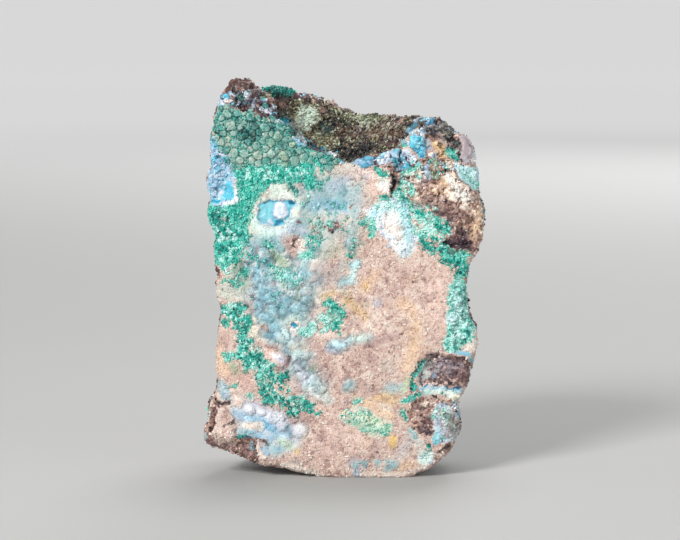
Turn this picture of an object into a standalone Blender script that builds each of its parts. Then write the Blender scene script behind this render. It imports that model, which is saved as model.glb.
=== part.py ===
"""Chrysocolla specimen: a palm-sized slab of copper-stained rock with a mineral crust on its front.

The rock grew and broke as one piece, so it is one object. Units are metres with +Z up. The crust
faces -Y, the rock stands on a flat foot at Z = 0, and the origin is under the middle of its box.
"""

import math

import bmesh
import bpy
from mathutils import Matrix, Vector

# ---- Driving dimensions, in millimetres ---------------------------------------------------------
MM = 0.001
DEPTH = 30.0               # front crust to the rearmost bump
HEIGHT = 82.8              # foot to the top left knob
FRONT = -DEPTH / 2         # Y of the crust
BACK = DEPTH / 2
SIDE_REACH = 40.0          # half length of the side profile, past both sides of the rock
CUT_MARGIN = 4.0           # how far a cutter runs out of the rock
CRUST_THICKNESS = 3.4      # the plate of crust that stands in front of the hollow
BROKEN_CORNER_DEPTH = 2.2  # upper right, where the crust has broken away
BLUE_CORNER_DEPTH = 1.5    # left edge, a lower layer of blue
POCKET_DEPTH = 1.9         # the two brown pockets at the lower right
CHIPPED_EDGE_DEPTH = 2.4   # bare matrix under the crust at the lower left

GRAIN_SIZE = 1.0           # voxel that welds the blocked-out form into one skin
SMOOTH_ROUNDS = 2
TRIANGLE_SHARE = 0.25      # kept when the skin is thinned out to a few thousand faces
CHIP_BLOCK = 120.0         # edge of the large blocks whose faces chip the back

# Front outline, clockwise from the top left knob: X and Z of each corner of the broken edge.
OUTLINE = [
    (-25.2, 80.2), (-23.9, 82.3), (-22.2, 83.4), (-19.5, 82.4), (-17.8, 80.5), (-16.0, 80.9),
    (-13.2, 80.8), (-10.3, 79.8), (-6.9, 79.3), (-4.2, 78.0), (0.6, 76.2), (3.6, 75.1),
    (11.3, 75.0), (15.1, 74.7), (18.7, 74.1), (21.9, 73.4), (23.7, 71.8), (25.7, 71.0),
    (27.3, 69.2), (27.6, 64.0), (27.9, 59.5), (29.2, 56.6), (29.6, 53.6), (29.4, 50.5),
    (28.0, 47.8), (26.3, 45.2), (25.8, 42.4), (25.3, 40.5), (26.4, 33.2), (28.1, 30.6),
    (27.7, 26.8), (26.8, 22.4), (26.3, 19.4), (23.6, 16.0), (24.7, 11.9), (23.2, 6.6),
    (19.7, 3.0), (14.6, 0.0), (13.6, -1.5), (-4.6, -1.5), (-5.4, 0.1), (-10.1, 1.0),
    (-19.5, 3.7), (-28.4, 6.3), (-30.3, 7.6), (-28.2, 11.6), (-27.5, 15.3), (-25.7, 20.3),
    (-26.4, 23.0), (-26.4, 29.2), (-25.1, 35.6), (-26.3, 38.4), (-25.9, 42.4), (-27.1, 47.9),
    (-26.4, 50.2), (-28.3, 56.3), (-27.1, 58.4), (-28.5, 61.7), (-27.0, 64.8), (-27.7, 70.9),
    (-26.5, 76.0), (-26.0, 78.6),
]

# Side profile seen from +X: Y and Z. The front stands upright and the back leans in at both ends.
SIDE_PROFILE = [
    (-13.6, -2.0), (-14.6, 10.0), (-15.0, 26.0), (-14.7, 44.0), (-15.0, 58.0), (-14.8, 70.0),
    (-14.0, 77.0), (-9.0, 82.0), (-2.0, 84.5), (3.5, 84.5), (6.0, 82.0), (9.5, 77.0),
    (12.5, 71.0), (14.2, 60.0), (15.0, 46.0), (14.3, 32.0), (13.6, 18.0), (12.4, 6.0),
    (11.8, -2.0),
]

# Plan of the heel that carries the lower left side: X and Y, and how high it rises.
HEEL_PLAN = [(-4.0, -12.5), (-8.5, -2.0), (-13.5, 8.0), (-12.0, 11.8), (0.0, 11.8)]
HEEL_HEIGHT = 7.0

# Edge of the crust plate below the hollow, left to right: X and Z.
PLATE_EDGE = [
    (-27.5, 78.6), (-25.4, 77.6), (-20.2, 76.5), (-19.1, 77.2), (-17.0, 75.3), (-11.1, 74.2),
    (-8.4, 70.3), (-5.3, 69.3), (-3.1, 68.4), (0.4, 65.9), (2.6, 65.4), (4.0, 67.1),
    (10.3, 68.8), (12.4, 68.6), (14.1, 70.9), (17.2, 71.9), (22.0, 71.6), (24.0, 74.0),
]

# Places where the crust has come away: X and Z of each outline, clockwise.
BROKEN_CORNER = [
    (10.2, 66.0), (12.4, 68.8), (20.0, 72.4), (23.6, 71.0), (23.4, 60.5), (27.6, 59.4),
    (32.0, 58.0), (32.0, 48.4), (25.5, 47.2), (21.2, 49.6), (22.2, 52.2), (17.0, 55.0),
    (13.2, 56.8), (10.2, 59.2),
]
BLUE_CORNER = [
    (-31.0, 72.5), (-27.2, 71.6), (-25.8, 69.0), (-23.6, 66.4), (-22.4, 62.0), (-22.0, 58.0),
    (-26.5, 57.2), (-31.0, 57.4),
]
UPPER_POCKET = [
    (17.2, 25.4), (20.0, 26.2), (24.2, 25.2), (31.0, 23.9), (31.0, 19.4), (24.8, 18.8),
    (20.2, 19.5), (16.4, 19.4), (15.8, 21.6),
]
LOWER_POCKET = [
    (13.4, 15.0), (16.4, 16.6), (19.2, 16.0), (20.4, 13.0), (19.2, 9.4), (15.8, 9.6),
    (14.0, 11.4),
]
CHIPPED_EDGE = [
    (-32.0, 17.0), (-27.0, 16.4), (-26.6, 11.4), (-28.2, 9.4), (-25.4, 6.8), (-23.2, 8.4),
    (-18.6, 8.5), (-18.0, 6.0), (-16.6, 3.6), (-20.0, 1.0), (-32.0, 4.0),
]

# Rounded hollows: centre, radii and lean in the plane of the front, in degrees.
SCOOPS = {
    "hollow": ((1.0, -6.0, 78.2), (17.0, 10.0, 13.6), -4.0),
    "crevice": ((1.2, -9.3, 67.0), (8.5, 2.2, 5.5), 0.0),
    "back_scoop": ((-9.0, 19.5, 44.0), (15.0, 8.0, 19.0), 14.0),
    "back_dent": ((13.0, 18.5, 60.0), (8.0, 6.5, 9.0), -20.0),
    "left_scoop_high": ((-31.5, 4.0, 60.0), (7.5, 10.0, 10.0), 10.0),
    "left_scoop_low": ((-30.0, 4.5, 34.0), (7.0, 11.0, 13.0), -12.0),
    "right_scoop_high": ((31.5, 5.0, 42.0), (8.5, 11.0, 9.0), 15.0),
    "right_scoop_low": ((30.5, 4.0, 20.0), (7.0, 10.0, 11.0), -10.0),
}

# Broken faces at the back and sides: a point on each face and the way the face looks.
CHIPS = [
    ((-21.5, 12.5, 42.0), (-0.72, 0.69, 0.06)),
    ((-18.0, 9.5, 70.0), (-0.50, 0.70, 0.52)),
    ((22.5, 11.0, 50.0), (0.66, 0.74, 0.12)),
    ((19.0, 10.5, 14.0), (0.62, 0.66, -0.42)),
    ((-20.0, 9.5, 13.0), (-0.58, 0.68, -0.44)),
    ((15.0, 9.0, 70.0), (0.38, 0.66, 0.64)),
    ((6.0, 14.4, 30.0), (0.16, 0.98, -0.12)),
    ((27.4, 3.0, 60.0), (0.94, 0.32, 0.12)),
    ((-26.9, 1.0, 20.0), (-0.95, 0.28, -0.10)),
    ((-27.2, 0.0, 72.0), (-0.94, 0.30, 0.16)),
    ((25.6, 2.0, 12.0), (0.92, 0.30, -0.24)),
]

# Unevenness of the broken rock: feature size and height.
SWELLS = (9.0, 1.2)
LUMPS = (3.4, 0.5)

ROCK_COLOUR = (0.45, 0.50, 0.47, 1.0)


def clear_scene():
    for item in list(bpy.data.objects):
        bpy.data.objects.remove(item, do_unlink=True)


def new_collection(name):
    group = bpy.data.collections.new(name)
    bpy.context.scene.collection.children.link(group)
    return group


def rock_material():
    material = bpy.data.materials.new("copper_stained_rock")
    material.use_nodes = True
    shader = material.node_tree.nodes["Principled BSDF"]
    shader.inputs["Base Color"].default_value = ROCK_COLOUR
    shader.inputs["Roughness"].default_value = 0.6
    shader.inputs["Metallic"].default_value = 0.0
    return material


def slab(name, outline, low, high, turn, group):
    """A flat outline in millimetres, filled and extruded from low to high along its normal."""
    curve = bpy.data.curves.new(name, "CURVE")
    curve.dimensions = "2D"
    curve.fill_mode = "BOTH"
    curve.extrude = (high - low) / 2 * MM
    spline = curve.splines.new("POLY")
    spline.points.add(len(outline) - 1)
    for point, (across, up) in zip(spline.points, outline):
        point.co = (across * MM, up * MM, 0.0, 1.0)
    spline.use_cyclic_u = True
    drawn = bpy.data.objects.new(name, curve)
    group.objects.link(drawn)
    drawn.matrix_world = turn @ Matrix.Translation((0.0, 0.0, (low + high) / 2 * MM))
    bpy.context.view_layer.update()

    seen = drawn.evaluated_get(bpy.context.evaluated_depsgraph_get())
    mesh = bpy.data.meshes.new_from_object(seen)
    mesh.transform(drawn.matrix_world)
    bpy.data.objects.remove(drawn, do_unlink=True)
    return weld_outward(name, mesh, group)


def weld_outward(name, mesh, group):
    """Closes a mesh's seams, turns its faces outward and wraps it in an object."""
    work = bmesh.new()
    work.from_mesh(mesh)
    bmesh.ops.remove_doubles(work, verts=work.verts, dist=0.00001)
    bmesh.ops.recalc_face_normals(work, faces=work.faces)
    work.to_mesh(mesh)
    work.free()
    piece = bpy.data.objects.new(name, mesh)
    group.objects.link(piece)
    return piece


# An outline drawn in X and Z keeps X, takes Z up, and its normal runs towards -Y.
FACING_FRONT = Matrix.Rotation(math.radians(90), 4, "X")
# An outline drawn in Y and Z, its normal along +X.
FACING_SIDE = Matrix(((0, 0, 1, 0), (1, 0, 0, 0), (0, 1, 0, 0), (0, 0, 0, 1)))
# An outline drawn in X and Y, its normal up.
FACING_UP = Matrix.Identity(4)


def front_cut(name, outline, depth, group):
    """A cutter that takes the front away to this depth inside an outline."""
    return slab(name, outline, -FRONT - depth, -FRONT + CUT_MARGIN, FACING_FRONT, group)


def ellipsoid(name, centre, radii, lean, group):
    """A rounded cutter, leaning in the plane of the front."""
    mesh = bpy.data.meshes.new(name)
    work = bmesh.new()
    bmesh.ops.create_icosphere(work, subdivisions=4, radius=1.0)
    work.to_mesh(mesh)
    work.free()
    stretch = Matrix.Diagonal((*[r * MM for r in radii], 1.0))
    turn = Matrix.Rotation(math.radians(lean), 4, "Y")
    mesh.transform(Matrix.Translation(Vector(centre) * MM) @ turn @ stretch)
    return weld_outward(name, mesh, group)


def chip_block(name, point, look, group):
    """A large block whose near face passes through the point and looks the given way."""
    mesh = bpy.data.meshes.new(name)
    work = bmesh.new()
    bmesh.ops.create_cube(work, size=CHIP_BLOCK * MM)
    work.to_mesh(mesh)
    work.free()
    normal = Vector(look).normalized()
    middle = (Vector(point) + normal * CHIP_BLOCK / 2) * MM
    mesh.transform(Matrix.Translation(middle) @ normal.to_track_quat("Z", "Y").to_matrix().to_4x4())
    return weld_outward(name, mesh, group)


def hollow_step():
    """Everything above the plate's edge, as one outline that runs out over the top."""
    over_left = (PLATE_EDGE[0][0] - CUT_MARGIN, HEIGHT + CUT_MARGIN)
    over_right = (PLATE_EDGE[-1][0] + CUT_MARGIN, HEIGHT + CUT_MARGIN)
    return PLATE_EDGE + [over_right, over_left]


def boolean(rock, other, how):
    step = rock.modifiers.new(other.name, "BOOLEAN")
    step.operation = how
    step.solver = "EXACT"
    step.object = other


def uneven(rock, name, kind, feature, height):
    """Raises and lowers the skin along its normals by a solid noise."""
    texture = bpy.data.textures.new(name, kind)
    texture.noise_scale = feature * MM
    step = rock.modifiers.new(name, "DISPLACE")
    step.texture = texture
    step.texture_coords = "LOCAL"
    step.strength = height * MM
    step.mid_level = 0.5


def build():
    clear_scene()
    specimen = new_collection("chrysocolla_specimen")
    cutters = new_collection("cutters")

    rock = slab("chrysocolla_specimen", OUTLINE, -BACK, -FRONT, FACING_FRONT, specimen)
    rock.data.materials.clear()
    rock.data.materials.append(rock_material())

    profile = slab("side_profile", SIDE_PROFILE, -SIDE_REACH, SIDE_REACH, FACING_SIDE, cutters)
    boolean(rock, profile, "INTERSECT")
    heel = slab("heel", HEEL_PLAN, -2.0, HEEL_HEIGHT, FACING_UP, cutters)
    boolean(rock, heel, "UNION")

    cuts = [
        front_cut("cut_plate_edge", hollow_step(), CRUST_THICKNESS, cutters),
        front_cut("cut_broken_corner", BROKEN_CORNER, BROKEN_CORNER_DEPTH, cutters),
        front_cut("cut_blue_corner", BLUE_CORNER, BLUE_CORNER_DEPTH, cutters),
        front_cut("cut_upper_pocket", UPPER_POCKET, POCKET_DEPTH, cutters),
        front_cut("cut_lower_pocket", LOWER_POCKET, POCKET_DEPTH, cutters),
        front_cut("cut_chipped_edge", CHIPPED_EDGE, CHIPPED_EDGE_DEPTH, cutters),
    ]
    for name, (centre, radii, lean) in SCOOPS.items():
        cuts.append(ellipsoid(f"cut_{name}", centre, radii, lean, cutters))
    for number, (point, look) in enumerate(CHIPS, start=1):
        cuts.append(chip_block(f"cut_chip_{number}", point, look, cutters))
    for cut in cuts:
        boolean(rock, cut, "DIFFERENCE")

    skin = rock.modifiers.new("skin", "REMESH")
    skin.mode = "VOXEL"
    skin.voxel_size = GRAIN_SIZE * MM
    worn = rock.modifiers.new("worn", "SMOOTH")
    worn.factor = 0.5
    worn.iterations = SMOOTH_ROUNDS
    uneven(rock, "swells", "CLOUDS", *SWELLS)
    uneven(rock, "lumps", "STUCCI", *LUMPS)
    thin = rock.modifiers.new("thin", "DECIMATE")
    thin.ratio = TRIANGLE_SHARE
    thin.use_collapse_triangulate = True

    ground = chip_block("cut_foot", (0.0, 0.0, 0.0), (0.0, 0.0, -1.0), cutters)
    boolean(rock, ground, "DIFFERENCE")

    for cutter in cutters.objects:
        cutter.hide_render = True
        cutter.display_type = "WIRE"


build()
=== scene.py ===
"""Looks of the chrysocolla specimen.

The rock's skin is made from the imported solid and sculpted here, and each mineral on it is an attribute
that its material reads. What grew on the rock, such as knobs, grains and druse, is geometry of its own,
joined into one mesh for each mineral. Lengths are in millimetres until they reach Blender.
"""

import math

import bmesh
import bpy
import numpy as np
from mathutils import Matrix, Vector
from mathutils.bvhtree import BVHTree
from mathutils.kdtree import KDTree


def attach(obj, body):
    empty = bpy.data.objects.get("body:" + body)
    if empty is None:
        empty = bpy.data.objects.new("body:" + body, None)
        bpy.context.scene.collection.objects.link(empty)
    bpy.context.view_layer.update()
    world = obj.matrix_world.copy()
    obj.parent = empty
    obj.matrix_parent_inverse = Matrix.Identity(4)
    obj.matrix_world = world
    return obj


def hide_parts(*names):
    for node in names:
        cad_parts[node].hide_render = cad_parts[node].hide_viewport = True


NODE = "chrysocolla_specimen"
BODY = "root"
MM = 0.001

# ---- The view that the front's places are read in ------------------------------------------------
VIEW_RISE = math.radians(6.0)      # how far the camera looks down
FOOT_EDGE_Y = -13.8                # front edge of the foot, where "up" is zero
LENS = 150.0
SENSOR = 36.0
IMAGE = (680, 540)
MM_PER_PIXEL = 0.21
IMAGE_MIDDLE = (-0.63, 43.6)       # across and up at the middle of the image

# ---- Where the crust lies ------------------------------------------------------------------------
CRUST_BACK_Y = -9.9                # behind about this the sides show rock and not crust
HOLLOW_BACK_Y = 5.0                # the hollow's lining reaches the rim here

# Edge of the crust plate below the hollow, left to right: across and up.
PLATE_EDGE = [
    (-30.0, 79.2), (-26.2, 78.4), (-25.4, 77.6), (-23.1, 77.0), (-20.2, 76.5), (-19.1, 77.2),
    (-17.0, 75.3), (-13.7, 74.4), (-11.1, 74.2), (-10.1, 72.3), (-8.4, 70.2), (-7.3, 69.8),
    (-5.2, 69.2), (-3.1, 68.4), (-1.7, 67.3), (0.4, 65.8), (2.4, 65.6), (4.0, 67.1),
    (6.7, 67.7), (10.3, 68.8), (12.4, 68.6), (13.0, 71.2), (17.2, 72.6), (22.0, 74.6),
    (30.0, 76.0),
]

# Outlines that both the colours and the relief use: across and up.
WINDOW = [
    (-17.3, 57.3), (-16.5, 58.2), (-14.0, 58.3), (-12.0, 58.4), (-11.0, 57.9), (-9.7, 57.5),
    (-9.8, 57.1), (-10.8, 56.2), (-11.2, 54.4), (-12.0, 53.1), (-12.8, 52.6), (-15.0, 52.7),
    (-16.0, 53.3), (-17.4, 53.6), (-17.6, 54.8), (-17.2, 56.0),
]
BLUE_SPOT = [(-10.9, 32.0, 0.35), (-10.2, 31.9, 0.7), (-9.7, 31.9, 0.5)]
FLAP = [
    (-26.2, 15.0), (-24.6, 15.0), (-23.8, 13.6), (-23.0, 12.2), (-22.6, 10.8), (-22.7, 9.1),
    (-23.6, 8.0), (-24.6, 7.6), (-25.0, 6.7), (-26.5, 7.9), (-28.1, 9.0), (-27.2, 10.1),
    (-26.5, 11.4), (-26.4, 13.4),
]
CYAN_CHUNK = [
    (13.9, 71.2), (15.2, 71.6), (16.3, 71.2), (17.0, 70.0), (17.3, 68.4), (17.2, 66.9),
    (16.0, 66.7), (15.4, 68.0), (14.2, 69.2), (13.7, 70.3),
]
CRYSTAL_FACE = [
    (24.4, 71.0), (25.4, 71.6), (26.4, 71.0), (26.5, 68.4), (26.3, 65.8), (25.0, 65.4),
    (24.5, 67.2),
]
BLUE_LEDGE = [
    (2.4, 65.9), (3.5, 67.0), (4.8, 67.7), (6.0, 67.2), (6.3, 66.0), (5.6, 65.1), (4.8, 64.6),
    (3.5, 65.2),
]
BLUE_STEP = [(10.0, 68.4), (11.4, 68.8), (11.5, 67.0), (10.9, 65.3), (10.0, 65.3), (9.8, 66.8)]
TURQUOISE_BAND = [
    (23.4, 65.6), (25.0, 65.0), (26.4, 64.9), (27.8, 64.8), (28.4, 62.8), (27.6, 60.0),
    (26.6, 60.6), (25.6, 61.8), (24.4, 62.8), (23.6, 64.2),
]
CYAN_CORNER = [
    (-24.3, 61.8), (-23.3, 61.9), (-22.8, 60.4), (-22.4, 58.6), (-23.8, 57.9), (-24.9, 58.6),
    (-24.5, 60.2),
]
# Wide field where blue-grey lumps mix with the pink druse.
BLUE_FIELD = [
    (-20.0, 50.0), (-17.0, 54.0), (-10.0, 60.0), (-4.0, 63.0), (3.0, 64.0), (5.0, 58.0), (1.0, 53.0),
    (-4.0, 47.0), (-4.0, 41.0), (-6.0, 33.0), (-9.0, 27.0), (-4.0, 20.0), (-7.0, 17.0), (-13.0, 24.0),
    (-18.0, 29.0), (-20.0, 36.0), (-22.0, 41.0),
]
# Mint-green patch of the lower middle.
MINT_PATCH = [
    (-0.8, 12.8), (0.6, 14.4), (2.0, 15.0), (5.0, 14.2), (6.6, 13.8), (7.2, 12.2), (8.6, 12.2),
    (10.0, 11.2), (9.8, 9.6), (8.4, 8.8), (6.2, 8.8), (4.2, 9.8), (3.0, 11.2), (1.0, 11.6),
]
# Places that no grains grow on.
BARE = [WINDOW, BLUE_SPOT, CYAN_CHUNK, CRYSTAL_FACE, BLUE_LEDGE, BLUE_STEP, CYAN_CORNER]

# ---- The minerals as painted patches --------------------------------------------------------------
# Each patch: mineral, tone (its place in the mineral's colour range), edge softness, and its shapes.
# A shape is a chain of discs (across, up, radius) joined up, or an outline of (across, up) corners.
# Later patches lie over earlier ones. GROUND lies under the washes and PATCHES over them.
GROUND = [
    ("chalcedony", 0.24, 2.2, [(-6.0, 60.4, 1.2), (-3.0, 59.8, 1.8), (0.4, 59.8, 1.6), (1.8, 57.2, 0.9)]),
    ("chalcedony", 0.30, 1.2, [
        (-15.4, 50.0, 1.4), (-11.6, 52.2, 1.2), (-7.6, 53.4, 1.2), (-5.0, 56.6, 1.4),
    ]),
    ("druse", 0.20, 0.6, [(-15.8, 26.2, 1.2), (-14.0, 25.4, 1.5), (-12.6, 24.8, 1.4)]),
    ("chalcedony", 0.12, 1.2, [
        (-9.8, 25.0, 1.2), (-9.0, 22.6, 1.4), (-7.2, 20.0, 1.5), (-4.8, 18.4, 1.3), (-3.0, 16.4, 0.8),
    ]),
    ("chalcedony", 0.24, 1.3, [(-2.2, 27.7, 1.0), (-0.6, 28.0, 1.1), (1.4, 28.8, 0.5)]),
    ("chalcedony", 0.16, 1.4, [(1.4, 28.8, 0.5), (3.2, 29.2, 0.5), (5.6, 29.5, 0.4)]),
    ("chalcedony", 0.22, 1.2, [(0.0, 41.2, 0.6), (1.4, 41.3, 0.6)]),
    ("chalcedony", 0.22, 1.1, [(2.2, 44.6, 0.7), (3.0, 44.9, 0.6)]),
    ("chalcedony", 0.20, 1.6, [(1.0, 48.6, 0.6), (2.0, 51.4, 0.7), (2.4, 55.6, 0.8)]),
    ("chalcedony", 0.24, 1.4, [(1.4, 19.6, 0.9), (0.8, 19.0, 0.7)]),
    ("chalcedony", 0.16, 1.2, [(9.4, 2.0, 0.6), (10.8, 2.8, 0.6)]),
    ("chalcedony", 0.06, 1.2, [
        (-23.0, 17.6), (-20.8, 17.4), (-19.0, 15.6), (-16.6, 14.8), (-14.0, 14.4), (-12.0, 13.6),
        (-11.0, 11.6), (-8.0, 11.4), (-7.2, 9.6), (-8.6, 7.6), (-9.4, 5.4), (-12.6, 5.0), (-15.0, 4.4),
        (-16.6, 5.0), (-15.8, 7.6), (-18.8, 8.6), (-22.4, 8.8), (-22.0, 11.2), (-23.4, 13.0), (-23.6, 15.4),
    ]),
    ("chalcedony", 0.30, 0.6, [(-25.4, 19.6, 0.8), (-24.6, 17.8, 1.0), (-23.4, 16.6, 0.6)]),
    ("chalcedony", 0.10, 1.2, [
        (-17.6, 53.6, 1.4), (-14.0, 52.0, 1.2), (-10.0, 55.0, 1.0), (-10.4, 59.2, 1.0), (-14.0, 60.0, 1.2),
    ]),
]

# Tints that the washes lay over the minerals, as sRGB.
TINTS = {
    "white": (242, 244, 243), "ice": (206, 236, 236), "milk": (214, 232, 220), "cream": (236, 226, 210),
    "pearl": (196, 200, 190), "mist": (142, 186, 192), "sky": (122, 182, 210), "steel": (84, 128, 146),
    "lavender": (192, 194, 210), "sea": (98, 164, 154), "moss": (144, 168, 134), "lime": (182, 212, 174),
    "blush": (228, 200, 188), "rose": (206, 172, 162), "mauve": (164, 134, 134), "peach": (230, 198, 166),
    "ochre": (222, 190, 126), "sand": (184, 146, 124), "umber": (112, 74, 66), "plum": (84, 62, 78),
    "teal": (22, 128, 118), "night": (14, 14, 20), "cyan": (92, 206, 236), "aqua": (134, 208, 216),
    "azure": (60, 146, 184), "pine": (6, 84, 78), "slate": (92, 98, 104),
}
# Tints that single grains of a mineral lean to.
ODD_TINTS = {
    "druse": ["white", "peach", "mauve", "rose", "cream", "umber", "pearl"],
    "chalcedony": ["white", "sea", "lavender", "pearl", "mist", "steel"],
    "malachite": ["ice", "teal", "sea", "teal"],
    "knob": ["pearl", "teal", "moss", "sea"],
    "chrysocolla": ["white", "lavender", "sky", "plum"],
    "matrix": ["cream", "umber", "sand", "plum", "rose", "mauve"],
    "lining": ["moss", "umber", "pearl", "night", "sand"],
}
ODD_STRENGTH = 0.6
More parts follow.
